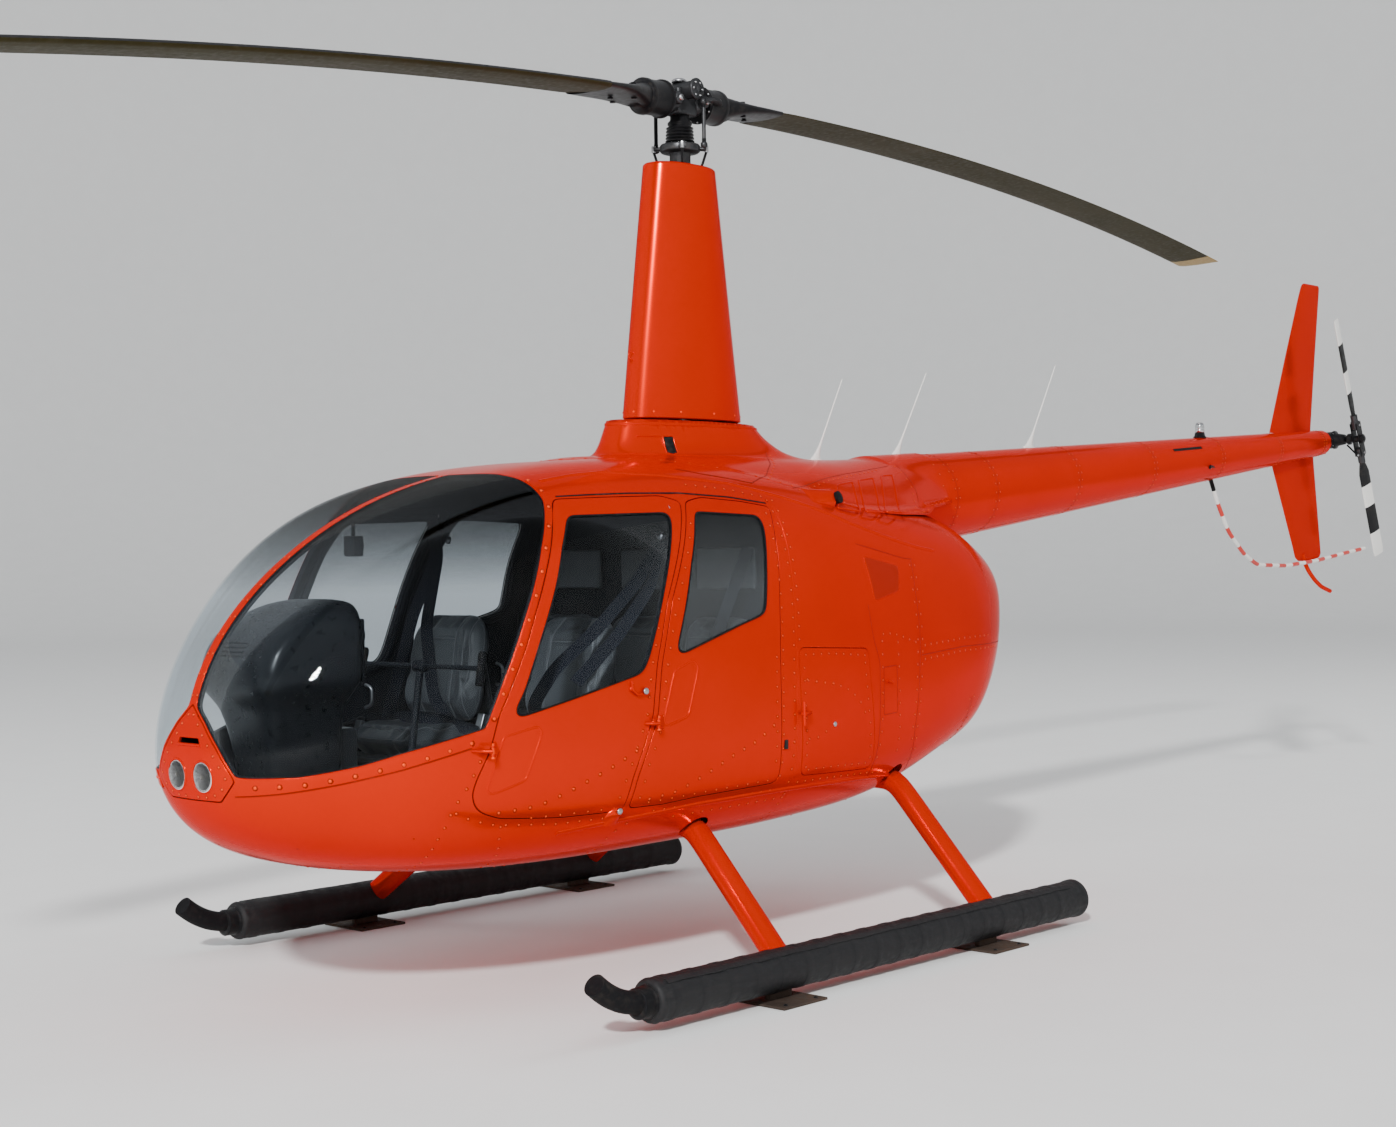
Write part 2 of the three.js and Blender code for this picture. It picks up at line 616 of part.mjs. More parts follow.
// Baggage bay liner and engine
const LINER = 12;
const BAY_FLOOR_Z = 655;
const BAY_TOP_Z = 1200;
const FIREWALL_Y = 400;
place('baggage_bay_liner', insideSkin.intersect(union([
  block(-800, 800, BULKHEAD_Y + GAP, FIREWALL_Y + LINER, BAY_FLOOR_Z, BAY_FLOOR_Z + LINER),
  block(-800, 800, BULKHEAD_Y + GAP, FIREWALL_Y + LINER, BAY_TOP_Z, BAY_TOP_Z + LINER),
  block(-800, 800, FIREWALL_Y, FIREWALL_Y + LINER, BAY_FLOOR_Z - 5, BAY_TOP_Z + LINER + 5),
])), STEEL);
place('engine_block', block(-260, 260, FIREWALL_Y + LINER + GAP, 1250, 880, 1400), DARK_METAL);

// Exhaust
const boreRadius = EXHAUST.radius - EXHAUST.wall;
const exhaustBore = bar(EXHAUST.boreStart, EXHAUST.boreEnd, boreRadius, boreRadius, 20);
place('exhaust_pipe', bar(EXHAUST.start, EXHAUST.end, EXHAUST.radius, EXHAUST.radius, 20)
  .subtract(exhaustBore), STEEL);

// Mast cowling and top deck
// Columns: station y, half width at base, base z, top z, power
const DECK = [
  [-640, 250, 1800, 1905, 2.2],
  [-420, 360, 1760, 1930, 2.3],
  [0, 500, 1660, 1945, 2.4],
  [400, 560, 1560, 1945, 2.3],
  [840, 500, 1500, 1938, 2.2],
  [1200, 380, 1500, 1955, 2.1],
  [1560, 250, 1540, 1978, 2.0],
];
const DECK_POINTS = 14;
function deckRing(y, inwards) {
  const halfWidth = column(DECK, 1, y) - inwards;
  const base = column(DECK, 2, y) - (inwards > 0 ? 60 : 0);
  const top = column(DECK, 3, y) - inwards;
  const power = 2 / column(DECK, 4, y);
  const points = [];
  for (let i = 0; i <= DECK_POINTS; i += 1) {
    const a = (i / DECK_POINTS) * Math.PI;
    const c = Math.cos(a);
    points.push([
      halfWidth * Math.sign(c) * Math.abs(c) ** power,
      y,
      base + (top - base) * Math.max(Math.sin(a), 0) ** power,
    ]);
  }
  return points;
}
const DECK_STATIONS = [-640, -420, -200, 0, 200, 400, 620, 840, 1020, 1200, 1380, 1560];
const deck = (inwards) => loft(DECK_STATIONS.map((y, i) => {
  const last = DECK_STATIONS.length - 1;
  const shift = i === 0 ? inwards : (i === last ? -inwards : 0);
  return deckRing(y, inwards).map(([x, , z]) => [x, y + shift, z]);
}));

// Ring seen from above as a stretched round, with front and back ends and a half width
function plinthRing(front, back, halfWidth, z, power, count = 20) {
  const points = [];
  for (let i = 0; i < count; i += 1) {
    const a = (i / count) * Math.PI * 2;
    const c = Math.cos(a);
    const s = Math.sin(a);
    points.push([
      halfWidth * Math.sign(s) * Math.abs(s) ** (2 / power),
      (front + back) / 2 + ((back - front) / 2) * Math.sign(c) * Math.abs(c) ** (2 / power),
      z,
    ]);
  }
  return points;
}
// Columns: z, front y, back y, half width
const DOGHOUSE = [
  [1840, -520, 820, 260],
  [1905, -478, 700, 215],
  [1960, -448, 560, 180],
  [2020, -425, 440, 158],
  [2072, -405, 385, 145],
];
const doghouse = (inwards) => loft(DOGHOUSE.map(([z, front, back, half], i) =>
  plinthRing(front + inwards, back - inwards, half - inwards, i === 0 ? z : z - inwards, 2.4)));
const COWLING_WALL = 20;
const cowlingOuter = deck(0).add(doghouse(0));
const cowlingInner = deck(COWLING_WALL).add(doghouse(COWLING_WALL));
const cowlingBodies = cowlingOuter.subtract(union([cowlingInner, clearOfSkin, coneClear])).decompose();
cowlingBodies.sort((a, b) => b.volume() - a.volume());
place('mast_cowling', cowlingBodies[0], ORANGE);

// Columns: z, front y, back y, half width
const FAIRING = [
  [2084, -318, 312, 128],
  [2400, -278, 268, 120],
  [2800, -226, 214, 110],
  [3118, -184, 172, 100],
];
const FAIRING_POWER = 2.3;
const FAIRING_WALL = 12;
const COWLING_TOP_Z = DOGHOUSE[DOGHOUSE.length - 1][0];
const fairingRings = (inwards, longer) => FAIRING.map(([z, front, back, half], i) => {
  const end = Math.sign(i - (FAIRING.length - 1) / 2) * (i % (FAIRING.length - 1) === 0 ? longer : 0);
  return plinthRing(front + inwards, back - inwards, half - inwards, z + end, FAIRING_POWER);
});
const [, footFront, footBack, footHalf] = FAIRING[0];
const footOutline = plinthRing(footFront, footBack, footHalf, 0, FAIRING_POWER).map(([x, y]) => [x, y]);
const fairingFoot = union([
  block(-140, 140, -6, 6, COWLING_TOP_Z + GAP, 2100),
  block(-6, 6, -330, 330, COWLING_TOP_Z + GAP, 2100),
]).intersect(prismZ(footOutline, 2060, 2110)).subtract(bar([0, 0, 2050], [0, 0, 2150], MAST_RADIUS + 10));
place('mast_fairing', loft(fairingRings(0, 0)).subtract(loft(fairingRings(FAIRING_WALL, 5)))
  .add(fairingFoot), ORANGE);

// Tail
const coneInside = tailCone(-CONE_WALL, CONE_START_Y - 5, CONE_END_Y - 20);
place('tail_cone', coneOuter.subtract(coneInside), ORANGE);

// Fin outlines as [y, z]
const UPPER_FIN = [
  [5050, 2200], [5250, 2640], [5440, 3040], [5480, 3110], [5510, 3120], [5700, 3120], [5712, 3105],
  [5640, 2660], [5575, 2215],
];
const LOWER_FIN = [
  [5050, 2060], [5340, 1500], [5365, 1450], [5400, 1440], [5690, 1470], [5700, 1485], [5610, 2090],
];
const UPPER_FIN_HALF = 14;
const LOWER_FIN_HALF = 12;
place('upper_fin', prismX(UPPER_FIN, -UPPER_FIN_HALF, UPPER_FIN_HALF).subtract(coneClear), ORANGE);
place('lower_fin', prismX(LOWER_FIN, -LOWER_FIN_HALF, LOWER_FIN_HALF).subtract(coneClear), ORANGE);

// Tubes in one plane beside the lower fin, as [y, z]
const GUARD_RADIUS = 12;
const GUARD_X = LOWER_FIN_HALF + GUARD_RADIUS + GAP;
const GUARD_LINE = [
  [4290, 1935], [4380, 1780], [4500, 1620], [4680, 1490], [4840, 1425], [5200, 1415], [5590, 1440],
  [6000, 1485], [6250, 1510],
];
const TAIL_SKID_LINE = [[5460, 1480], [5490, 1425], [5535, 1378], [5610, 1325], [5700, 1280], [5820, 1250]];
const onPlane = (line, x) => line.map(([y, z]) => [x, y, z]);
place('tail_guard', tubeAlong(onPlane(GUARD_LINE, GUARD_X), GUARD_RADIUS, 22, 8)
  .subtract(coneClear), WHITE);
place('tail_skid', tubeAlong(onPlane(TAIL_SKID_LINE, 0), 10, 12, 8)
  .subtract(prismX(inset(LOWER_FIN, -GAP), -60, 60)), ORANGE);

// Tail gearbox, hub and blades
const T = TAIL_ROTOR;
place('tail_gearbox', union([
  bar([0, CONE_END_Y - 20, CONE_END_Z], [0, T.y + 55, T.z], 62, 50, 16),
  bar([-40, T.y, T.z], [110, T.y, T.z], 52, 40, 16),
]).subtract(block(-90, 90, CONE_END_Y - 60, CONE_END_Y + GAP, 2040, 2280)), BLACK);
const tailTurn = THREE.MathUtils.degToRad(T.angle);
const bladeAxis = [0, Math.sin(tailTurn), Math.cos(tailTurn)];
const alongTail = (r, x = T.x) => [x, T.y + bladeAxis[1] * r, T.z + bladeAxis[2] * r];
place('tail_rotor_hub', union([
  bar([110 + GAP, T.y, T.z], [T.x + 45, T.y, T.z], 18, 18, 12),
  bar(alongTail(-150), alongTail(150), 26, 26, 10),
]), DARK_METAL);

// Blade section: chord position and half thickness, both as parts of the chord
const BLADE_SECTION = [
  [-0.5, 0.0], [-0.46, 0.04], [-0.3, 0.062], [0, 0.055], [0.3, 0.025], [0.5, 0.006],
  [0.5, -0.006], [0.3, -0.025], [0, -0.055], [-0.3, -0.062], [-0.46, -0.04],
];
for (const [name, sign] of [['upper', 1], ['lower', -1]]) {
  const rings = [150 + GAP, 220, 400, T.radius - 30, T.radius].map((r, i) => {
    const chord = [60, T.chord, T.chord, T.chord, T.chord * 0.8][i];
    const [, cy, cz] = alongTail(sign * r);
    return BLADE_SECTION.map(([u, v]) => [
      T.x + v * T.chord,
      cy - sign * u * chord * bladeAxis[2],
      cz + sign * u * chord * bladeAxis[1],
    ]);
  });
  place(`tail_blade_${name}`, loft(rings), BLADE_PAINT);
}

// Main rotor
const rotorTurn = THREE.MathUtils.degToRad(ROTOR_ANGLE);
const rotorAxis = [Math.cos(rotorTurn), Math.sin(rotorTurn)];
const rotorHeight = (r, sign) => ROTOR_HUB_Z + sign * ROTOR_TILT * r - ROTOR_DROOP * r * r;
const alongRotor = (r, sign, across = 0, up = 0) => [
  sign * rotorAxis[0] * r - sign * rotorAxis[1] * across,
  sign * rotorAxis[1] * r + sign * rotorAxis[0] * across,
  rotorHeight(r, sign) + up,
];
// Columns: distance from the mast axis, chord
const BLADE_RINGS = [
  [BLADE_ROOT, 110], [BLADE_ROOT + 180, BLADE_CHORD], [1400, BLADE_CHORD], [2400, BLADE_CHORD],
  [3300, BLADE_CHORD], [4200, BLADE_CHORD], [ROTOR_RADIUS - 60, BLADE_CHORD],
  [ROTOR_RADIUS, BLADE_CHORD * 0.85],
];
for (const [name, sign] of [['rear', 1], ['front', -1]]) {
  place(`main_blade_${name}`, loft(BLADE_RINGS.map(([r, chord]) =>
    BLADE_SECTION.map(([u, v]) => alongRotor(r, sign, -u * chord, v * BLADE_CHORD)))), BLADE_PAINT);
}
const YOKE_HALF = 170;
const HUB_HALF_HEIGHT = 60;
const rootCut = (sign) => prismZ([
  [BLADE_ROOT - GAP, -90], [BLADE_ROOT + 90, -90], [BLADE_ROOT + 90, 90], [BLADE_ROOT - GAP, 90],
].map(([r, across]) => alongRotor(r, sign, across).slice(0, 2)), ROTOR_HUB_Z - 150, ROTOR_HUB_Z + 150);
place('main_rotor_hub', union([
  bar(alongRotor(-YOKE_HALF, 1), alongRotor(YOKE_HALF, 1), 42),
  bar(alongRotor(YOKE_HALF - 2, 1), alongRotor(BLADE_ROOT + 20, 1), 52, 30),
  bar(alongRotor(YOKE_HALF - 2, -1), alongRotor(BLADE_ROOT + 20, -1), 52, 30),
  block(-46, 46, -60, 60, ROTOR_HUB_Z - HUB_HALF_HEIGHT, ROTOR_HUB_Z + 62),
  bar([0, 0, ROTOR_HUB_Z + 50], [0, 0, ROTOR_HUB_Z + 95], 34, 26),
]).subtract(union([rootCut(1), rootCut(-1)])), DARK_METAL);
place('mast_tube', bar([0, 0, COWLING_TOP_Z + GAP], [0, 0, ROTOR_HUB_Z - HUB_HALF_HEIGHT - GAP],
  MAST_RADIUS, MAST_RADIUS, 16), STEEL);
const FAIRING_TOP_Z = FAIRING[FAIRING.length - 1][0];
place('swashplate', union([
  bar([0, 0, FAIRING_TOP_Z + GAP], [0, 0, FAIRING_TOP_Z + 16], 96, 96, 20),
  bar([0, 0, FAIRING_TOP_Z + 14], [0, 0, FAIRING_TOP_Z + 47], 118, 118, 20),
]).subtract(bar([0, 0, 3100], [0, 0, 3200], MAST_RADIUS + 1, MAST_RADIUS + 1, 16)), DARK_METAL);

// Antennas and beacon: columns are name, base y, base z, tip y, tip z
const ANTENNAS = [
  ['front', 840, 1938, 1040, 2310],
  ['middle', 1420, 1969, 1670, 2370],
  ['rear', 2510, 2044, 2770, 2470],
];
for (const [name, baseY, baseZ, tipY, tipZ] of ANTENNAS) {
  place(`antenna_${name}`, union([
    bar([0, baseY, baseZ - 12], [0, tipY, tipZ], 9, 3, 8),
    bar([0, baseY, baseZ - 14], [0, baseY + 6, baseZ + 14], 24, 14),
  ]).subtract(coneClear).subtract(cowlingOuter), WHITE);
}
const coneTopAt = (y) => {
  const t = (y - CONE_START_Y) / (CONE_END_Y - CONE_START_Y);
  return CONE_START_Z + (CONE_END_Z - CONE_START_Z) * t
    + CONE_START_RADIUS + (CONE_END_RADIUS - CONE_START_RADIUS) * t;
};
const BEACON_Y = 4230;
const beaconZ = coneTopAt(BEACON_Y);
place('beacon', bar([0, BEACON_Y, beaconZ - 10], [0, BEACON_Y, beaconZ + 85], 38, 30, 16)
  .subtract(coneClear), RED_LENS);

// Landing gear
const FLOAT_SIDES = 20;
for (const [name, footY, hullY, hullZ] of CROSS_TUBES) {
  const saddles = [-TRACK_HALF, TRACK_HALF].map((x) => bar(
    [x, footY - 60, SKID_Z], [x, footY + 60, SKID_Z], FLOAT_RADIUS + GAP, FLOAT_RADIUS + GAP, FLOAT_SIDES));
  place(`cross_tube_${name}`, crossTube(footY, hullY, hullZ, STRUT_RADIUS)
    .subtract(union(saddles)), ORANGE);
}
const SKID_LINE = [
  [FLOAT_REAR_Y - 25, 0], [600, 0], [0, 0], [-700, 0], [-1300, 0], [-1455, 0], [-1540, 18], [-1610, 52],
  [-1660, 92],
];
const WEB_HALF_WIDTH = 8;
const WEB_HALF_LENGTH = 40;
const boreSize = SKID_RADIUS + 3;
for (const [name, sign] of [['port', 1], ['starboard', -1]]) {
  const x = sign * TRACK_HALF;
  const web = (y, extra) => block(x - WEB_HALF_WIDTH - extra, x + WEB_HALF_WIDTH + extra,
    y - WEB_HALF_LENGTH - extra, y + WEB_HALF_LENGTH + extra, extra > 0 ? 0 : 5, SKID_Z);
  const tube = tubeAlong(SKID_LINE.map(([y, up]) => [x, y, SKID_Z + up]), SKID_RADIUS, 20, 12);
  const feet = CROSS_TUBES.map(([, , , , plateY]) => union([
    block(x - PLATE_HALF_WIDTH, x + PLATE_HALF_WIDTH, plateY - PLATE_HALF_LENGTH,
      plateY + PLATE_HALF_LENGTH, 0, PLATE_THICKNESS),
    web(plateY, 0),
  ]));
  place(`skid_${name}`, union([tube, ...feet]), BLACK);
  const cover = bar([x, FLOAT_FRONT_Y, SKID_Z], [x, FLOAT_REAR_Y, SKID_Z],
    FLOAT_RADIUS, FLOAT_RADIUS, FLOAT_SIDES);
  const bore = bar([x, FLOAT_FRONT_Y - 10, SKID_Z], [x, FLOAT_REAR_Y - 20, SKID_Z], boreSize, boreSize, 16);
  const webSlots = CROSS_TUBES.map(([, , , , plateY]) => web(plateY, GAP));
  place(`float_${name}`, cover.subtract(union([bore, ...webSlots])), FABRIC);
}

helicopter.position.y = -MAST_TO_BOX_CENTRE;
helicopter.updateMatrixWorld(true);

export default helicopter;
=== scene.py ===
"""Looks of a light turbine helicopter on skids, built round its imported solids.

Lengths are metres. Points are worked out along stations, where Y is counted from the mast axis,
and the builder moves them into the part's frame. Port is +X, the nose points to -Y, +Z is up.
Every surface is a function of two parameters, a profile carried along a path, or an outline
trimmed out of such a surface.
"""

import logging
import math
from collections.abc import Callable
from dataclasses import dataclass, field
from enum import Enum, IntEnum

import bpy
import numpy as np
from mathutils import Matrix, Vector
from mathutils.geometry import delaunay_2d_cdt

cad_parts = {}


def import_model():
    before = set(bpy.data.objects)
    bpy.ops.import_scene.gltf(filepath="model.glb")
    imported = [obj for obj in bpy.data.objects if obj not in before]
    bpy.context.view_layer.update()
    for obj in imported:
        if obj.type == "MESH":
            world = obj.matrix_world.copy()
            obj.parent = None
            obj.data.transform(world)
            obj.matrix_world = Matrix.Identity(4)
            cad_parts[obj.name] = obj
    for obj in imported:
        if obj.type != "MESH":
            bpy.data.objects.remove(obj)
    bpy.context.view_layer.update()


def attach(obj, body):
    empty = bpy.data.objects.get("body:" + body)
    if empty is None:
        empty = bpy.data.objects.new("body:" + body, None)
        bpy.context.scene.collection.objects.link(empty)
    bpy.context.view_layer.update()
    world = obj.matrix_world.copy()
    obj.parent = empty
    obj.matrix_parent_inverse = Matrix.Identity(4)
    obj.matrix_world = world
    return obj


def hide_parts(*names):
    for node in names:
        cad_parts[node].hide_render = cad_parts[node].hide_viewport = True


LOG = logging.getLogger("helicopter")
MAST_Y = -0.6152  # the mast axis stands here in the part's frame
Array = np.ndarray
Rows = Array | list | tuple  # rows of numbers


def held(value: Array | dict) -> Array | dict:
    """A dataclass field whose default is this table."""
    return field(default_factory=lambda: value)


def unit(vectors: Array) -> Array:
    """Vectors at unit length.

    Args:
        vectors: rows of three numbers.

    Returns:
        The rows divided by their lengths, zero rows left alone.
    """
    length = np.linalg.norm(vectors, axis=-1, keepdims=True)
    return vectors / np.maximum(length, 1e-12)


@dataclass
class Patch:
    """One smooth area: points, faces of three or four corners, and a normal at each point."""

    points: Array
    faces: Array
    normals: Array | None = None
    material: int = 0

    def shaded(self) -> Array:
        """Normals at the points: those given, or the area-weighted mean of the faces around.

        Returns:
            Unit normals, one for each point.
        """
        if self.normals is not None:
            return self.normals
        total = np.zeros_like(self.points)
        corner = self.points[self.faces]
        last = self.faces.shape[1] - 1
        face = np.cross(corner[:, 2] - corner[:, 0], corner[:, last] - corner[:, 1])
        if last == 2:
            face = np.cross(corner[:, 1] - corner[:, 0], corner[:, 2] - corner[:, 0])
        for k in range(last + 1):
            np.add.at(total, self.faces[:, k], face)
        return unit(total)

    def flipped(self) -> "Patch":
        """The same area facing the other way."""
        normals = None if self.normals is None else -self.normals
        return Patch(self.points, self.faces[:, ::-1], normals, self.material)

    def mirrored(self) -> "Patch":
        """The same area on the other side of the middle plane, still facing outwards.

        Returns:
            The mirrored patch.
        """
        sign = np.array([-1.0, 1.0, 1.0])
        normals = None if self.normals is None else self.normals * sign
        return Patch(self.points * sign, self.faces[:, ::-1], normals, self.material)


Part = list[Patch]  # patches that close one body


def grid(points: Array, wrap: bool = False, normals: Array | None = None, material: int = 0) -> Patch:
    """A patch from a grid of points.

    Args:
        points: rows by columns by three.
        wrap: the columns close on themselves.
        normals: one for each point, or none.
        material: index of the material.

    Returns:
        The patch, four corners a face.
    """
    rows, columns = points.shape[:2]
    i, j = np.meshgrid(np.arange(rows - 1), np.arange(columns if wrap else columns - 1), indexing="ij")
    k = (j + 1) % columns
    faces = np.stack([i * columns + j, i * columns + k, (i + 1) * columns + k, (i + 1) * columns + j], -1)
    flat = None if normals is None else normals.reshape(-1, 3)
    return Patch(points.reshape(-1, 3), faces.reshape(-1, 4), flat, material)


def fan(ring: Array, material: int = 0) -> Patch:
    """A flat cap: the ring joined to its own middle.

    Args:
        ring: points in order.
        material: index of the material.

    Returns:
        The cap.
    """
    count = len(ring)
    points = np.vstack([ring, ring.mean(0)])
    index = np.arange(count)
    faces = np.stack([index, (index + 1) % count, np.full(count, count)], -1)
    return Patch(points, faces, None, material)


def outward(part: Part) -> Part:
    """The part with its faces pointing out, told by the sign of its volume.

    Args:
        part: a closed part.

    Returns:
        The same part, turned round if its volume is below zero.
    """
    volume = 0.0
    for patch in part:
        c = patch.points[patch.faces]
        volume += np.einsum("ij,ij->i", c[:, 0], np.cross(c[:, 1], c[:, 2])).sum()
        if patch.faces.shape[1] == 4:
            volume += np.einsum("ij,ij->i", c[:, 0], np.cross(c[:, 2], c[:, 3])).sum()
    return part if volume > 0 else [patch.flipped() for patch in part]


def loft(rings: Array, material: int = 0, caps: bool = True) -> Part:
    """A closed body through rings of equal point counts, rows by columns by three.

    Args:
        rings: rows by columns by three.
        material: index of the material.
        caps: whether flat ends close it.

    Returns:
        The closed part.
    """
    part = [grid(rings, wrap=True, material=material)]
    if caps:
        part += [fan(rings[0][::-1], material), fan(rings[-1], material)]
    return outward(part)


def frames(path: Array, up: Array, closed: bool = False) -> tuple[Array, Array, Array]:
    """Directions along a path: forward, sideways and up.

    Args:
        path: points in order.
        up: a direction that the third axis follows.
        closed: whether the ends meet.

    Returns:
        Unit vectors ahead, sideways and up at each point.
    """
    if closed:
        ahead = unit(np.roll(path, -1, 0) - np.roll(path, 1, 0))
    else:
        ahead = unit(np.gradient(path, axis=0))
    side = unit(np.cross(ahead, up))
    return ahead, side, np.cross(side, ahead)


def circle(radius: float, sides: int) -> Array:
    """Points round a circle, sides by two."""
    a = np.linspace(0, 2 * math.pi, sides, endpoint=False)
    return np.stack([np.cos(a), np.sin(a)], -1) * radius


def sweep(
    path: Array, section: Array, up: Array = np.array([0.0, 0.0, 1.0]), scale: Array | None = None,
    closed: bool = False, material: int = 0,
) -> Part:
    """A closed section carried along a path.

    Args:
        path: points along the middle, station frame.
        section: outline across the path, sideways and up.
        up: one direction, or one for each point of the path.
        scale: size of the section at each point of the path.
        closed: the path closes on itself.
        material: index of the material.

    Returns:
        A closed part: point + sideways * a + up * b for each section point (a, b).
    """
    _, side, above = frames(path, np.broadcast_to(up, path.shape), closed)
    size = np.ones(len(path)) if scale is None else scale
    rings = path[:, None] + size[:, None, None] * (
        section[None, :, :1] * side[:, None] + section[None, :, 1:] * above[:, None])
    if closed:
        return outward([grid(np.concatenate([rings, rings[:1]]), wrap=True, material=material)])
    return loft(rings, material)


def tube(path: Rows, radius: float | Array, sides: int = 12, material: int = 0,
         closed: bool = False) -> Part:
    """A round bar along a path, of one radius or one for each point.

    Args:
        path: points in order.
        radius: one number or one for each point.
        sides: number of sides.
        material: index of the material.
        closed: whether the ends meet.

    Returns:
        The closed part.
    """
    path = np.asarray(path, float)
    along = unit(path[-1] - path[0]) if not closed else np.array([0.0, 0.0, 1.0])
    up = np.array([0.0, 0.0, 1.0]) if abs(along[2]) < 0.9 else np.array([0.0, 1.0, 0.0])
    scale = np.broadcast_to(np.asarray(radius, float), (len(path),))
    return sweep(path, circle(1.0, sides), up, scale, closed, material)


def revolve(profile: Rows, base: Rows, axis: Rows, sides: int = 24, material: int = 0) -> Part:
    """A profile turned round an axis.

    Args:
        profile: rows of (distance from the axis, height along it).
        base: where height is zero.
        axis: direction of the axis.
        sides: points round it.
        material: index of the material.

    Returns:
        A closed part; sharp profile corners come from doubled rows.
    """
    along = unit(np.asarray(axis, float))
    across = unit(np.cross(along, [0.0, 0.0, 1.0] if abs(along[2]) < 0.9 else [0.0, 1.0, 0.0]))
    third = np.cross(along, across)
    ring = circle(1.0, sides)
    spokes = ring[:, :1] * across + ring[:, 1:] * third
    profile = np.asarray(profile, float)
    rings = base + profile[:, :1, None] * spokes[None] + profile[:, 1:, None] * along
    breaks = np.flatnonzero(np.linalg.norm(np.diff(profile, axis=0), axis=1) < 1e-9)
    pieces = np.split(rings, breaks + 1)
    part = [grid(piece, wrap=True, material=material) for piece in pieces if len(piece) > 1]
    if profile[0, 0] > 1e-9:
        part.append(fan(rings[0][::-1], material))
    if profile[-1, 0] > 1e-9:
        part.append(fan(rings[-1], material))
    return outward(part)


def rounded_box(low: Rows, high: Rows, radius: float, turn: Array | None = None,
                material: int = 0) -> Part:
    """A box with round edges: a cube's grid pushed out from an inner box by the radius.

    Args:
        low: lowest corner.
        high: highest corner.
        radius: of every edge.
        turn: three by three turning about the box's middle.
        material: index of the material.

    Returns:
        A closed part.
    """
    low, high = np.asarray(low, float), np.asarray(high, float)
    middle, half = (low + high) / 2, (high - low) / 2
    radius = min(radius, half.min() * 0.98)
    bend = np.tan(np.linspace(0, math.pi / 4, 3)) * radius
    lines = [np.concatenate([radius - h - bend[::-1], h - radius + bend]) for h in half]
    part = []
    for axis in range(3):
        a, b = [k for k in range(3) if k != axis]
        for sign in (-1.0, 1.0):
            u, v = np.meshgrid(lines[a], lines[b], indexing="ij")
            points = np.zeros((*u.shape, 3))
            points[..., a], points[..., b], points[..., axis] = u, v, sign * half[axis]
            inner = np.clip(points, -(half - radius), half - radius)
            normal = unit(points - inner)
            patch = grid(inner + normal * radius, normals=normal, material=material)
            if (axis != 1) == (sign > 0):
                patch.faces = patch.faces[:, ::-1]
            part.append(patch)
    spin = np.eye(3) if turn is None else turn
    for patch in part:
        patch.points = patch.points @ spin.T + middle
        patch.normals = patch.normals @ spin.T
    return part


def turning(axis: str, degrees: float) -> Array:
    """A turning matrix about X, Y or Z."""
    return np.array(Matrix.Rotation(math.radians(degrees), 3, axis))


def even(points: Rows, step: float, closed: bool = False) -> Array:
    """A line through the points, divided into even steps.

    Args:
        points: corners of the line.
        step: distance between points.
        closed: whether the ends meet.

    Returns:
        The points of the divided line.
    """
    run = np.vstack([points, points[:1]]) if closed else np.asarray(points, float)
    length = np.concatenate([[0.0], np.cumsum(np.linalg.norm(np.diff(run, axis=0), axis=1))])
    count = max(int(round(length[-1] / step)), 2)
    at = np.linspace(0, length[-1], count + (not closed), endpoint=not closed)
    return np.stack([np.interp(at, length, run[:, k]) for k in range(run.shape[1])], -1)


def smooth_loop(points: Rows, blur: float, step: float = 0.006) -> Array:
    """A closed line whose corners are rounded by a Gaussian blur along it.

    Args:
        points: corners of the line.
        blur: reach of the rounding along the line.
        step: distance between points.

    Returns:
        The rounded line.
    """
    loop = even(np.asarray(points, float), step, closed=True)
    wave = np.fft.rfftfreq(len(loop), 1.0)
    keep = np.exp(-2 * (math.pi * blur / step * wave) ** 2)
    return np.fft.irfft(np.fft.rfft(loop, axis=0) * keep[:, None], len(loop), axis=0)


def smooth_line(points: Rows, blur: float, step: float = 0.006) -> Array:
    """An open line with rounded corners and its two ends kept.

    Args:
        points: corners of the line.
        blur: reach of the rounding along the line.
        step: distance between points.

    Returns:
        The rounded line.
    """
    line = even(np.asarray(points, float), step)
    reach = max(int(3 * blur / step), 1)
    kernel = np.exp(-0.5 * (np.arange(-reach, reach + 1) * step / max(blur, 1e-6)) ** 2)
    kernel /= kernel.sum()
    padded = np.pad(line, ((reach, reach), (0, 0)), mode="reflect", reflect_type="odd")
    return np.stack([np.convolve(padded[:, k], kernel, "valid") for k in range(line.shape[1])], -1)


def inside(loops: list[Array], at: Array) -> Array:
    """Whether plane points lie inside the loops, by counting the sides crossed.

    Args:
        loops: closed lines in a plane.
        at: points in that plane.

    Returns:
        True where a point lies inside an odd number of loops.
    """
    crossed = np.zeros(len(at), bool)
    for loop in loops:
        a, b = loop, np.roll(loop, -1, 0)
        for chunk in range(0, len(at), 2000):
            p = at[chunk:chunk + 2000]
            level = (a[None, :, 1] > p[:, None, 1]) != (b[None, :, 1] > p[:, None, 1])
            rise = np.where(np.abs(b[:, 1] - a[:, 1]) < 1e-12, 1e-12, b[:, 1] - a[:, 1])
            x = a[None, :, 0] + (p[:, None, 1] - a[None, :, 1]) * ((b[:, 0] - a[:, 0]) / rise)[None]
            crossed[chunk:chunk + 2000] ^= (level & (p[:, None, 0] < x)).sum(1) % 2 == 1
    return crossed


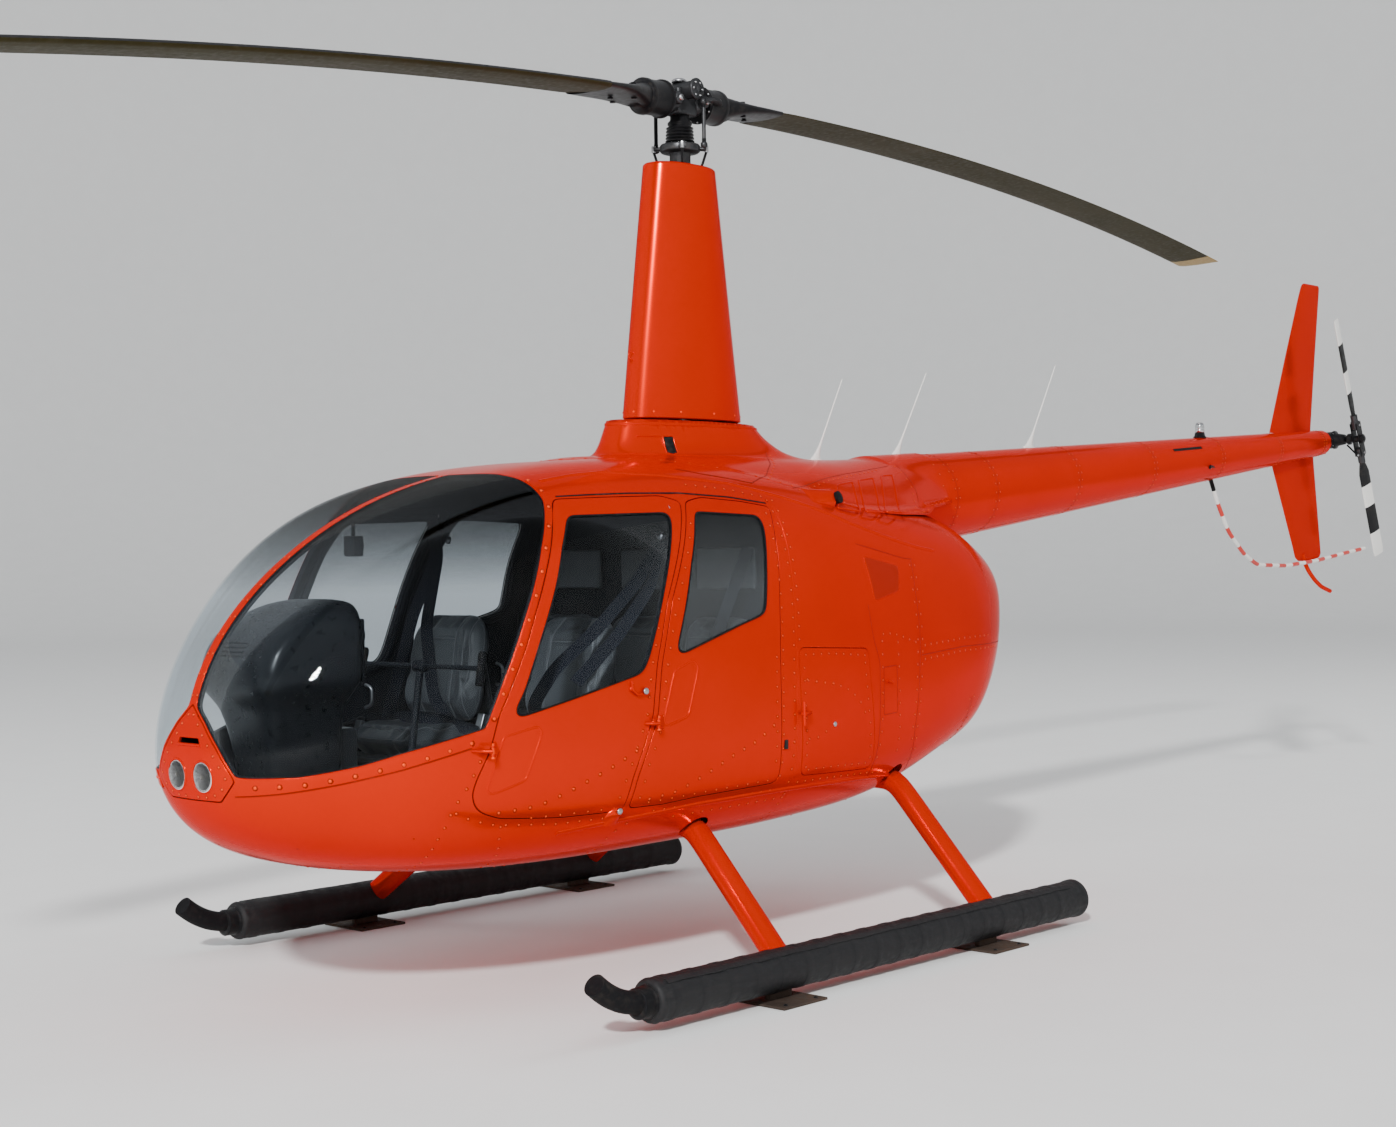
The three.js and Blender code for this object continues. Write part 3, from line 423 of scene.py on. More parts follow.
def triangulate(loops: list[Array], spacing: float, lines: tuple = ()) -> tuple[Array, Array]:
    """Triangles that fill an outline with holes.

    Args:
        loops: closed outlines in the plane, holes among them.
        spacing: distance between the points inside.
        lines: open lines that the triangles must follow.

    Returns:
        Plane points, and triangles as rows of three indices.
    """
    every = np.vstack(loops)
    low, high = every.min(0), every.max(0)
    u, v = np.meshgrid(np.arange(low[0], high[0], spacing), np.arange(low[1], high[1], spacing * 0.87))
    u = u + (np.arange(len(u)) % 2)[:, None] * spacing / 2
    points = np.stack([u.ravel(), v.ravel()], -1)
    points = points[inside(loops, points)]
    near = np.vstack([*loops, *lines]) if lines else every
    free = np.ones(len(points), bool)
    for chunk in range(0, len(points), 2000):
        p = points[chunk:chunk + 2000]
        gap = ((p[:, None] - near[None]) ** 2).sum(-1).min(1)
        free[chunk:chunk + 2000] = gap > (spacing * 0.55) ** 2
    points = points[free]
    edges, start = [], 0
    for loop in loops:
        index = np.arange(len(loop)) + start
        edges += np.stack([index, np.roll(index, -1)], -1).tolist()
        start += len(loop)
    for line in lines:
        index = np.arange(len(line)) + start
        edges += np.stack([index[:-1], index[1:]], -1).tolist()
        start += len(line)
    whole = np.vstack([*loops, *lines, points])
    found = delaunay_2d_cdt([Vector(p) for p in whole.tolist()], edges, [], 0, 1e-7, False)
    plane = np.array([tuple(p) for p in found[0]])
    faces = np.array(found[2], int)
    corner = plane[faces]
    a, b = corner[:, 1] - corner[:, 0], corner[:, 2] - corner[:, 0]
    area = a[:, 0] * b[:, 1] - a[:, 1] * b[:, 0]
    keep = inside(loops, corner.mean(1)) & (np.abs(area) > 1e-12)
    return plane, faces[keep]


@dataclass
class Builder:
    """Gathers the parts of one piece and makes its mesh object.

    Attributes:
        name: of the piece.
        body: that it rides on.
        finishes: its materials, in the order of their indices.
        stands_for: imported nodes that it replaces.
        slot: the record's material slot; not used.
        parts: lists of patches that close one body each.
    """

    name: str
    body: str
    finishes: list[bpy.types.Material]
    stands_for: tuple = ()
    slot: str = ""
    parts: list[Part] = field(default_factory=list)

    def add(self, *parts: Part, both_sides: bool = False) -> "Builder":
        """Adds parts, with their mirror images across the middle plane if both_sides is true.

        Args:
            parts: lists of patches that close one body each.
            both_sides: whether their mirror images come too.

        Returns:
            The builder.
        """
        for part in parts:
            self.parts.append(part)
            if both_sides:
                self.parts.append([patch.mirrored() for patch in part])
        return self

    @staticmethod
    def welded(part: Part) -> tuple[Array, list[tuple[Array, Array, int]]]:
        """Points of a part joined where they meet, and its faces.

        Args:
            part: patches that close one body.

        Returns:
            The points, and for each patch and corner count: corner indices, corner normals, material.
        """
        points = np.vstack([patch.points for patch in part])
        _, first, inverse = np.unique(np.round(points, 6), axis=0, return_index=True, return_inverse=True)
        inverse, groups, offset = inverse.ravel(), [], 0
        for patch in part:
            index = inverse[patch.faces + offset]
            shade = patch.shaded()[patch.faces]
            double = index == np.roll(index, 1, axis=1)
            count = double.sum(1)
            groups.append((index[count == 0], shade[count == 0], patch.material))
            if patch.faces.shape[1] == 4 and (count == 1).any():
                order = np.argsort(double[count == 1], axis=1, kind="stable")[:, :3]
                groups.append((
                    np.take_along_axis(index[count == 1], order, 1),
                    np.take_along_axis(shade[count == 1], order[..., None], 1), patch.material))
            offset += len(patch.points)
        return points[first], groups

    def build(self) -> bpy.types.Object:
        """Makes the mesh, lets it ride on its body and hides the imported nodes it stands for.

        Returns:
            The object, at the origin.
        """
        points, corners, normals, totals, materials, offset = [], [], [], [], [], 0
        for part in self.parts:
            found, groups = self.welded(part)
            for index, shade, material in groups:
                corners.append(index.ravel() + offset)
                normals.append(shade.reshape(-1, 3))
                totals.append(np.full(len(index), index.shape[1]))
                materials.append(np.full(len(index), material))
            points.append(found)
            offset += len(found)
        co = (np.vstack(points) + [0, MAST_Y, 0]).astype(np.float32)
        corner, total = np.concatenate(corners).astype(np.int32), np.concatenate(totals).astype(np.int32)
        mesh = bpy.data.meshes.new(self.name)
        mesh.vertices.add(len(co))
        mesh.vertices.foreach_set("co", co.ravel())
        mesh.loops.add(len(corner))
        mesh.loops.foreach_set("vertex_index", corner)
        mesh.polygons.add(len(total))
        mesh.polygons.foreach_set("loop_start",
                                  np.concatenate([[0], np.cumsum(total)[:-1]]).astype(np.int32))
        mesh.polygons.foreach_set("loop_total", total)
        mesh.polygons.foreach_set("material_index", np.concatenate(materials).astype(np.int32))
        mesh.update(calc_edges=True)
        mesh.shade_smooth()
        for finish in self.finishes:
            mesh.materials.append(finish)
        mesh.normals_split_custom_set(np.vstack(normals).tolist())
        piece = bpy.data.objects.new(self.name, mesh)
        bpy.context.scene.collection.objects.link(piece)
        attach(piece, self.body)
        if self.stands_for:
            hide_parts(*self.stands_for)
        LOG.info("%s: %d faces", self.name, len(total))
        return piece


# Finishes
Input = bpy.types.NodeSocket | float | tuple


class Surface(Enum):
    """Kinds of fine relief that a finish can have."""

    SMOOTH = "smooth"
    ORANGE_PEEL = "orange peel"
    GRAIN = "grain"
    WRINKLED = "wrinkled"
    LEATHER = "leather"
    CARPET = "carpet"


class Coat(IntEnum):
    """Places of the finishes in the list that every piece of the hull shares."""

    ORANGE = 0
    TRIM = 1
    # near-black rubber, also used for painted shade in gaps, slots and openings
    RUBBER_AND_SHADE = 2
    # dark orange of the seams, also the painted shadow discs round rivet heads
    SEAM_AND_SHADOW = 3
    # brighter orange of rivet and bolt heads: a painted highlight
    RIVET_HIGHLIGHT = 4
    STEEL = 5
    BLACK = 6
    PANEL = 7


class Graph:
    """A material's node tree: add() makes a node and joins what feeds it."""

    def __init__(self, name: str) -> None:
        """Starts an empty material of that name."""
        self.material = bpy.data.materials.new(name)
        self.material.use_nodes = True
        self.tree = self.material.node_tree
        self.tree.nodes.clear()

    def add(self, kind: str, settings: dict | None = None, **inputs) -> bpy.types.Node:
        """Makes a node.

        Args:
            kind: node class without "ShaderNode".
            settings: properties of the node.
            inputs: values or sockets by input name with _ for a space, or i0, i1 by number.

        Returns:
            The node.
        """
        node = self.tree.nodes.new("ShaderNode" + kind)
        for key, value in (settings or {}).items():
            setattr(node, key, value)
        for key, value in inputs.items():
            by_number = key[0] == "i" and key[1:].isdigit()
            socket = node.inputs[int(key[1:])] if by_number else node.inputs[key.replace("_", " ")]
            if isinstance(value, bpy.types.NodeSocket):
                self.tree.links.new(value, socket)
            else:
                socket.default_value = value
        return node

    def place(self) -> bpy.types.NodeSocket:
        """Object coordinates, which are the part's own metres."""
        return self.add("TexCoord").outputs["Object"]

    def noise(self, scale: float, detail: float = 4.0,
              where: bpy.types.NodeSocket | None = None) -> bpy.types.NodeSocket:
        """Noise of a given scale, around 0.5."""
        return self.add("TexNoise", Vector=where or self.place(), Scale=scale, Detail=detail).outputs[0]

    def ramp(self, value: bpy.types.NodeSocket, low: float, high: float, to_low: float = 0.0,
             to_high: float = 1.0) -> bpy.types.NodeSocket:
        """A value moved from one range to another and held inside it.

        Args:
            value: what is moved.
            low: lower end of the first range.
            high: its upper end.
            to_low: lower end of the second range.
            to_high: its upper end.

        Returns:
            The socket that holds the moved value.
        """
        node = self.add("MapRange", {"clamp": True}, Value=value)
        node.inputs["From Min"].default_value, node.inputs["From Max"].default_value = low, high
        node.inputs["To Min"].default_value, node.inputs["To Max"].default_value = to_low, to_high
        return node.outputs[0]

    def blend(self, share: Input, first: Input, second: Input) -> bpy.types.NodeSocket:
        """Mixes two colours by a share of the second.

        Args:
            share: of the second colour.
            first: colour or socket.
            second: colour or socket.

        Returns:
            The socket that holds the mixed colour.
        """
        node = self.add("Mix", {"data_type": "RGBA"}, i0=share)
        for socket, value in ((node.inputs[6], first), (node.inputs[7], second)):
            if isinstance(value, bpy.types.NodeSocket):
                self.tree.links.new(value, socket)
            else:
                socket.default_value = (*value, 1.0)
        return node.outputs[2]

    def bump(self, height: bpy.types.NodeSocket, strength: float, distance: float,
             under: bpy.types.NodeSocket | None = None) -> bpy.types.NodeSocket:
        """A relief from a height, on top of another one if given.

        Args:
            height: the pattern.
            strength: share of the relief that counts.
            distance: depth in metres.
            under: normal that it stands on.

        Returns:
            The socket that holds the bent normal.
        """
        inputs = {"Height": height, "Strength": strength, "Distance": distance}
        if under is not None:
            inputs["Normal"] = under
        return self.add("Bump", None, **inputs).outputs[0]

    def finish(self, shader: bpy.types.NodeSocket) -> bpy.types.Material:
        """Joins the shader to the output."""
        self.add("OutputMaterial", Surface=shader)
        return self.material


@dataclass(frozen=True)
class Finish:
    """A paint, plastic, metal or cloth with its own fine detail.

    Attributes:
        name: of the material.
        color: linear base colour.
        roughness: mean roughness.
        metallic: 0 or 1.
        coat: weight of the clear coat.
        specular: how strongly the layer under the coat mirrors.
        relief: kind of fine relief.
        depth: strength of the relief.
        dirt: share of dust and streaks.
        dirt_color: colour of the dust.
        variation: how far the colour drifts.
    """

    name: str
    color: tuple[float, float, float]
    roughness: float = 0.4
    metallic: float = 0.0
    coat: float = 0.0
    specular: float = 0.5
    relief: Surface = Surface.SMOOTH
    depth: float = 0.1
    dirt: float = 0.0
    dirt_color: tuple[float, float, float] = (0.18, 0.15, 0.12)
    variation: float = 0.06

    def build(self) -> bpy.types.Material:
        """Makes the material, all of it worked out from noise on object coordinates.

        Returns:
            The material.
        """
        g = Graph(self.name)
        place = g.place()
        cloud = g.noise(3.1, 5.0, place)
        fine = g.noise(46.0, 6.0, place)
        darker = tuple(c * (1 - self.variation) for c in self.color)
        lighter = tuple(min(c * (1 + self.variation), 1.0) for c in self.color)
        color = g.blend(g.ramp(cloud, 0.3, 0.7), darker, lighter)
        streak = g.add("Math", {"operation": "MULTIPLY"}, i0=g.ramp(fine, 0.46, 0.75),
                       i1=g.ramp(cloud, 0.35, 0.75))
        share = g.add("Math", {"operation": "MULTIPLY"}, i0=streak.outputs[0], i1=self.dirt).outputs[0]
        color = g.blend(share, color, self.dirt_color)
        even_paint = self.relief in (Surface.ORANGE_PEEL, Surface.SMOOTH)
        spread = 0.05 if even_paint else 0.18
        rough = g.ramp(cloud if even_paint else fine, 0.25, 0.75, self.roughness * (1 - spread),
                       min(self.roughness * (1 + spread) + 0.3 * self.dirt, 1.0))
        shader = g.add("BsdfPrincipled", None, Base_Color=color, Roughness=rough, Metallic=self.metallic)
        shader.inputs["Coat Weight"].default_value = self.coat
        if 0 < self.metallic < 1:
            shader.inputs["Specular Tint"].default_value = (*(min(c * 1.5, 1.0) for c in self.color), 1.0)
        shader.inputs["Specular IOR Level"].default_value = self.specular
        shader.inputs["Coat Roughness"].default_value = 0.03
        relief = self._relief(g, place)
        if relief is not None:
            g.tree.links.new(relief, shader.inputs["Normal"])
        return g.finish(shader.outputs[0])

    def _relief(self, g: Graph, place: bpy.types.NodeSocket) -> bpy.types.NodeSocket | None:
        """Height pattern for the kind of surface, or None.

        Args:
            g: the material's node tree.
            place: object coordinates.

        Returns:
            The socket that holds the height, or None for a smooth finish.
        """
        if self.relief is Surface.SMOOTH:
            return None
        if self.relief is Surface.ORANGE_PEEL:
            return g.bump(g.noise(330.0, 2.0, place), self.depth, 0.0004,
                          g.bump(g.noise(2.6, 2.0, place), 0.30, 0.004))
        if self.relief is Surface.GRAIN:
            return g.bump(g.noise(420.0, 2.0, place), self.depth * 0.5, 0.0005)
        if self.relief is Surface.WRINKLED:
            long = g.add("Mapping", None, Vector=place, Scale=(9.0, 1.6, 9.0)).outputs[0]
            return g.bump(g.noise(420.0, 3.0, place), self.depth * 0.4, 0.0008,
                          g.bump(g.noise(6.0, 3.0, long), self.depth * 0.4, 0.012))
        if self.relief is Surface.LEATHER:
            cells = g.add("TexVoronoi", {"feature": "DISTANCE_TO_EDGE"}, Vector=place,
                          Scale=420.0).outputs[0]
            return g.bump(g.ramp(cells, 0.0, 0.2), self.depth, 0.0005,
                          g.bump(g.noise(26.0, 3.0, place), self.depth, 0.003))
        return g.bump(g.noise(520.0, 2.0, place), self.depth * 0.6, 0.001)


def clear_glass(name: str, tint: tuple[float, float, float], shine: float = 1.0) -> bpy.types.Material:
    """Thin glazing: light passes straight through, and the surface mirrors by Fresnel's law.

    Args:
        name: of the material.
        tint: colour left in what passes.
        shine: multiplies the mirrored share.

    Returns:
        The material.
    """
    g = Graph(name)
    level = g.add("SeparateXYZ", None, Vector=g.place()).outputs[2]
    shade = tuple(c * 0.42 for c in tint)
    clear = g.add("BsdfTransparent", None, Color=g.blend(g.ramp(level, 1.42, 1.80), tint, shade))
    haze = g.ramp(g.noise(5.0, 4.0), 0.3, 0.8, 0.0, 0.005)
    mirror = g.add("BsdfGlossy", None, Color=(1, 1, 1, 1),
                   Roughness=g.ramp(g.noise(2.0, 3.0), 0.3, 0.7, 0.0, 0.015))
    rim = g.add("Fresnel", None, IOR=1.40)
    share = g.add("Math", {"operation": "MULTIPLY_ADD", "use_clamp": True}, i0=rim.outputs[0], i1=shine,
                  i2=haze)
    mixed = g.add("MixShader", None, i0=share.outputs[0], i1=clear.outputs[0], i2=mirror.outputs[0])
    return g.finish(mixed.outputs[0])


class Finishes:
    """Every finish of the helicopter, made once."""

    def __init__(self) -> None:
        """Makes the materials."""
        peel, grain = Surface.ORANGE_PEEL, Surface.GRAIN
        self.orange = Finish("orange_paint", (0.62, 0.0158, 0.0), 0.19, 0.55, coat=0.05, specular=0.02,
                             relief=peel,
                             depth=0.03, variation=0.03).build()
        # dark orange of the seams; the same finish paints the shadow and dirt disc round each rivet head
        seam = Finish("orange_seam_and_shadow", (0.15, 0.006, 0.0), 0.6, specular=0.1, dirt=0.2).build()
        panel = Finish("dark_orange", (0.36, 0.0115, 0.0), 0.35, 0.3, specular=0.1, relief=peel).build()
        # rivet and bolt heads: brighter orange than the paint, a painted highlight that makes them read as
        # lit dots
        rivet = Finish("rivet_painted_highlight", (0.95, 0.060, 0.002), 0.26, 0.45, coat=0.10, specular=0.1).build()
        self.trim = Finish("cabin_trim", (0.008, 0.009, 0.012), 0.66, specular=0.22, relief=grain,
                           depth=0.08).build()
        self.plastic = Finish("black_plastic", (0.010, 0.011, 0.013), 0.36, relief=grain,
                              depth=0.08).build()
        self.hood = Finish("console_hood", (0.010, 0.011, 0.013), 0.30, coat=0.08, specular=0.2,
                           relief=grain, depth=0.04).build()
        self.carpet = Finish("carpet", (0.012, 0.012, 0.013), 0.95, relief=Surface.CARPET,
                             depth=0.9).build()
        # near-black rubber; the same finish paints the shade of gaps, slots and openings on the hull
        self.rubber_and_shade = Finish("rubber_and_shade", (0.005, 0.005, 0.006), 0.70, specular=0.12, relief=grain, depth=0.3,
                             dirt=0.2).build()
        self.leather = Finish("seat_leather", (0.052, 0.055, 0.060), 0.38, relief=Surface.LEATHER,
                              depth=0.35).build()
        self.stitch = Finish("stitching", (0.13, 0.135, 0.14), 0.7, relief=grain).build()
        self.belt = Finish("belt_webbing", (0.008, 0.009, 0.014), 0.75, specular=0.2, relief=Surface.CARPET,
                           depth=0.5).build()
        self.dark_metal = Finish("dark_metal", (0.055, 0.056, 0.059), 0.36, 0.7, relief=grain, depth=0.2,
                                 dirt=0.3).build()
        self.black_metal = Finish("black_metal", (0.010, 0.010, 0.011), 0.38, 0.1, relief=grain, depth=0.2,
                                  dirt=0.15).build()
        self.burnt = Finish("burnt_steel", (0.16, 0.12, 0.10), 0.45, 1.0, relief=grain, depth=0.2, dirt=0.7,
                            dirt_color=(0.05, 0.03, 0.02), variation=0.2).build()
        self.steel = Finish("bare_steel", (0.42, 0.42, 0.43), 0.3, 1.0, relief=grain, depth=0.1,
                            dirt=0.2).build()
        self.rust = Finish("worn_steel", (0.075, 0.055, 0.045), 0.7, 0.4, relief=grain, depth=0.5, dirt=0.8,
                           dirt_color=(0.12, 0.05, 0.02), variation=0.25).build()
        self.chrome = Finish("lamp_chrome", (0.98, 0.98, 0.98), 0.24, 1.0, variation=0.01).build()
        self.fabric = Finish("float_fabric", (0.009, 0.009, 0.010), 0.60, specular=0.25,
                             relief=Surface.WRINKLED, depth=0.5, dirt=0.25,
                             dirt_color=(0.07, 0.065, 0.06)).build()
        self.white = Finish("white_paint", (0.75, 0.74, 0.70), 0.35, relief=peel, dirt=0.1).build()
        self.red = Finish("red_paint", (0.55, 0.02, 0.012), 0.35, relief=peel, dirt=0.1).build()
        self.blade_top = Finish("blade_black", (0.010, 0.010, 0.011), 0.50, specular=0.15, relief=grain,
                                depth=0.15, dirt=0.2).build()
        self.blade_olive = Finish("blade_olive", (0.030, 0.025, 0.007), 0.55, specular=0.10, relief=grain,
                                  depth=0.1, dirt=0.25).build()
        self.blade_tip = Finish("blade_tip", (0.32, 0.20, 0.035), 0.42, relief=grain, dirt=0.2).build()
        self.skin = [self.orange, self.trim, self.rubber_and_shade, seam, rivet, self.steel, self.black_metal, panel]
        self.glass = clear_glass("clear_glazing", (0.88, 0.91, 0.93), 0.13)
        self.lamp_glass = clear_glass("lamp_glass", (0.94, 0.95, 0.96))
        self.lens_glass = clear_glass("lamp_bulb", (0.98, 0.95, 0.88), 2.0)
        self.lens = Finish("red_lens", (0.45, 0.012, 0.01), 0.12, coat=1.0).build()
        self.bright = Finish("bright_metal", (0.62, 0.63, 0.64), 0.18, 1.0, relief=grain,
                             depth=0.05).build()


# Fuselage skin


@dataclass
class Skin:
    """The fuselage skin, a rounded nose and tail closed by power curves.

    At a station the section is two half super-ellipses that meet at the waist. In polar form a
    point at angle phi from the waist lies at (|cos phi / w|^n + |sin phi / h|^n)^(-1/n).
    """

    # Columns: station, half width, waist height, belly height, roof height, power below, power above
    table: Array = held(np.array([
        [-2.400, 0.630, 0.872, 0.373, 1.893, 2.06, 1.79],
        [-1.600, 0.726, 0.937, 0.411, 1.941, 3.05, 3.85],
        [-0.800, 0.748, 0.975, 0.438, 1.919, 3.44, 3.91],
        [0.000, 0.736, 1.007, 0.458, 1.887, 3.60, 3.51],
        [0.600, 0.689, 1.053, 0.502, 1.827, 3.53, 3.17],
        [1.200, 0.613, 1.133, 0.641, 1.737, 3.07, 2.84],
        [1.550, 0.533, 1.242, 0.678, 1.635, 2.21, 2.52],
        [1.820, 0.502, 1.284, 0.845, 1.541, 2.14, 2.66],
    ]))
    nose: tuple = (-2.373, 0.920)
    nose_powers: tuple = (3.06, 2.11, 3.06)  # width, top, belly
    nose_blend: float = -0.350
    tail: tuple = (1.820, 1.200)
    tail_power: float = 2.57
    tail_length: float = 0.655
    tail_height_power: float = 0.35
    step: float = 0.004
    blur: float = 0.055
    around: float = 0.75  # metres for a radian round the section, in the unrolled plane

    def __post_init__(self) -> None:
        """Works out what the sizes give."""
        y = np.arange(self.table[0, 0], self.table[-1, 0] + self.step / 2, self.step)
        reach = int(3 * self.blur / self.step)
        kernel = np.exp(-0.5 * (np.arange(-reach, reach + 1) * self.step / self.blur) ** 2)
        kernel /= kernel.sum()
        self.at = y
        columns = [self._curve(y, k) for k in range(1, 7)]
        self.columns = [
            np.convolve(np.pad(c, reach, mode="reflect", reflect_type="odd"), kernel, "valid")
            for c in columns]
        ends = np.concatenate([
            self.nose[0] + np.geomspace(1e-6, 0.3, 400) - 1e-6,
            np.arange(self.nose[0] + 0.302, self.tail[0] - 0.302, 0.004),
            self.tail[0] - np.geomspace(1e-6, 0.3, 400)[::-1] + 1e-6])
        width = self.section(ends)[0]
        self.run_at = ends
        self.run = np.concatenate([[0], np.cumsum(np.hypot(np.diff(ends), np.diff(width)))])

    def _curve(self, y: Array, index: int) -> Array:
        """A column of the table at stations, by cubic pieces with flat turning points.

        Args:
            y: stations.
            index: column of the table.

        Returns:
            The column's value at the stations.
        """
        x, v = self.table[:, 0], self.table[:, index]
        width, slope = np.diff(x), np.diff(v) / np.diff(x)
        tangent = np.concatenate([[slope[0]], (slope[:-1] * width[:-1] + slope[1:] * width[1:])
                                  / (width[:-1] + width[1:]), [slope[-1]]])
        tangent[1:-1][slope[:-1] * slope[1:] <= 0] = 0
        i = np.clip(np.searchsorted(x, y, "right") - 1, 0, len(x) - 2)
        t = (y - x[i]) / width[i]
        return (v[i] * (1 + 2 * t) * (1 - t) ** 2 + tangent[i] * width[i] * t * (1 - t) ** 2
                + v[i + 1] * t * t * (3 - 2 * t) + tangent[i + 1] * width[i] * t * t * (t - 1))

    def section(self, y: Array) -> tuple[Array, ...]:
        """Half width, waist, drop to the belly, rise to the roof, and the two powers at stations.

        Args:
            y: stations.

        Returns:
            Six arrays, one number for each station.
        """
        w, waist, belly, roof, below, above = [np.interp(y, self.at, c) for c in self.columns]
        s = np.clip((self.nose_blend - y) / (self.nose_blend - self.nose[0]), 0, 1)
        wide, top, low = [(1 - s ** p) ** (1 / p) for p in self.nose_powers]
        e = np.clip((y - self.tail[0] + self.tail_length) / self.tail_length, 0, 1)
        tail = (1 - e ** self.tail_power) ** (1 / self.tail_power)
        high = np.where(y > 0, tail ** self.tail_height_power, 1.0)
        z = self.nose[1]
        waist = z + (waist - z) * low
        belly = self.tail[1] + (z - (z - belly) * low - self.tail[1]) * high
        roof = self.tail[1] + (z + (roof - z) * top - self.tail[1]) * high
        size = np.maximum(w * wide * tail, 1e-5)
        return size, waist, np.maximum(waist - belly, 1e-5), np.maximum(roof - waist, 1e-5), below, above

    def point(self, y: Array, phi: Array) -> Array:
        """Points at stations and angles from the waist; an angle past a quarter turn is starboard.

        Args:
            y: stations.
            phi: angles from the waist, up above zero.

        Returns:
            Points in metres.
        """
        w, waist, drop, rise, below, above = self.section(y)
        c, s = np.cos(phi), np.sin(phi)
        n, h = np.where(s >= 0, above, below), np.where(s >= 0, rise, drop)
        r = ((np.abs(c) / w) ** n + (np.abs(s) / h) ** n) ** (-1 / n)
        return np.stack([r * c, y, waist + r * s], -1)

    def normal(self, p: Array) -> Array:
        """Outward normals at points on the skin, the slope of the section's own equation.

        Args:
            p: points on the skin.

        Returns:
            Unit normals.
        """
        x, y, z = p[..., 0], p[..., 1], p[..., 2]
        w, waist, drop, rise, below, above = self.section(y)
        up = z >= waist

        def level(at: Array) -> Array:
            """The left side of the section's equation at stations."""
            w2, waist2, drop2, rise2, below2, above2 = self.section(at)
            n2, h2 = np.where(up, above2, below2), np.where(up, rise2, drop2)
            return (np.abs(x) / w2) ** n2 + (np.abs(z - waist2) / h2) ** n2

        n, h = np.where(up, above, below), np.where(up, rise, drop)
        e = 2e-4
        back, ahead = np.maximum(y - e, self.nose[0] + 1e-6), np.minimum(y + e, self.tail[0] - 1e-6)
        along = (level(ahead) - level(back)) / np.maximum(ahead - back, 1e-7)
        across = n * (np.abs(x) / w) ** (n - 1) * np.sign(x) / w
        upward = n * (np.abs(z - waist) / h) ** (n - 1) * np.sign(z - waist) / h
        return unit(np.stack([across, along, upward], -1))

    def from_side(self, yz: Rows) -> Array:
        """Port points seen from the side at (y, z).

        Args:
            yz: rows of station and height.

        Returns:
            Points on the port skin.
        """
        y, z = np.asarray(yz, float).T
        w, waist, drop, rise, below, above = self.section(y)
        n, h = np.where(z >= waist, above, below), np.where(z >= waist, rise, drop)
        t = np.clip(np.abs(z - waist) / h, 0, 1)
        return np.stack([w * (1 - t ** n) ** (1 / n), y, z], -1)

    def from_above(self, xy: Array, top: bool = True) -> Array:
        """Points seen from above (or below) at (x, y).

        Args:
            xy: rows of x and station.
            top: whether the roof is meant, not the belly.

        Returns:
            Points on the skin.
        """
        x, y = xy[..., 0], xy[..., 1]
        w, waist, drop, rise, below, above = self.section(y)
        n, h = (above, rise) if top else (below, -drop)
        t = np.clip(np.abs(x) / w, 0, 1)
        return np.stack([x, y, waist + h * (1 - t ** n) ** (1 / n)], -1)

    def hit(self, start: Array, ahead: Array, reach: float) -> Array:
        """Where lines from inside the skin leave it, by halving; starts inside, ends outside.

        Args:
            start: points inside the skin.
            ahead: unit directions.
            reach: distance that is surely outside.

        Returns:
            Points on the skin.
        """
        near, far = np.zeros(len(start)), np.full(len(start), reach)
        for _ in range(30):
            mid = (near + far) / 2
            p = start + ahead * mid[:, None]
            w, waist, drop, rise, below, above = self.section(p[:, 1])
            up = p[:, 2] >= waist
            n, h = np.where(up, above, below), np.where(up, rise, drop)
            out = (np.abs(p[:, 0]) / w) ** n + (np.abs(p[:, 2] - waist) / h) ** n > 1
            out |= (p[:, 1] < self.nose[0]) | (p[:, 1] > self.tail[0])
            near, far = np.where(out, near, mid), np.where(out, mid, far)
        return start + ahead * ((near + far) / 2)[:, None]

    def from_front(self, xz: Array) -> Array:
        """Nose points seen from the front at (x, z)."""
        start = np.stack([xz[:, 0], np.full(len(xz), -1.2), xz[:, 1]], -1)
        return self.hit(start, np.array([0.0, -1.0, 0.0]), 1.3)

    def unrolled(self, p: Array) -> Array:
        """Plane coordinates of skin points: run along the waist, and angle round the section.

        Args:
            p: points on the skin.

        Returns:
            Rows of run and turn in metres.
        """
        waist = self.section(p[:, 1])[1]
        phi = np.arctan2(p[:, 2] - waist, p[:, 0])
        return np.stack([np.interp(p[:, 1], self.run_at, self.run), phi * self.around], -1)

    def rolled(self, uv: Array) -> tuple[Array, Array]:
        """Skin points and their normals from plane coordinates."""
        p = self.point(np.interp(uv[:, 0], self.run, self.run_at), uv[:, 1] / self.around)
        return p, self.normal(p)

    def pressed(self, uv: Array) -> tuple[Array, Array]:
        """Nose points and normals from front coordinates (x, z)."""
        p = self.from_front(uv)
        return p, self.normal(p)

    def inset(self, loop: Array, distance: float) -> Array:
        """A closed line on the skin moved inwards along the skin, or outwards if distance is below zero.

        Args:
            loop: closed line on the surface.
            distance: along the skin.

        Returns:
            The moved line.
        """
        uv = self.unrolled(loop)
        turn = np.sign(np.sum(uv[:, 0] * np.roll(uv[:, 1], -1) - np.roll(uv[:, 0], -1) * uv[:, 1]))
        ahead = unit(np.roll(loop, -1, 0) - np.roll(loop, 1, 0))
        return loop + np.cross(self.normal(loop), ahead) * distance * turn

    def loop(self, yz: Rows, blur: float = 0.014) -> Array:
        """A closed line on the port skin from its corners seen from the side."""
        return self.from_side(smooth_loop(yz, blur))

    def line(self, yz: Rows, blur: float = 0.01, step: float = 0.01) -> Array:
        """An open line on the port skin from its corners seen from the side."""
        return self.from_side(smooth_line(yz, blur, step))

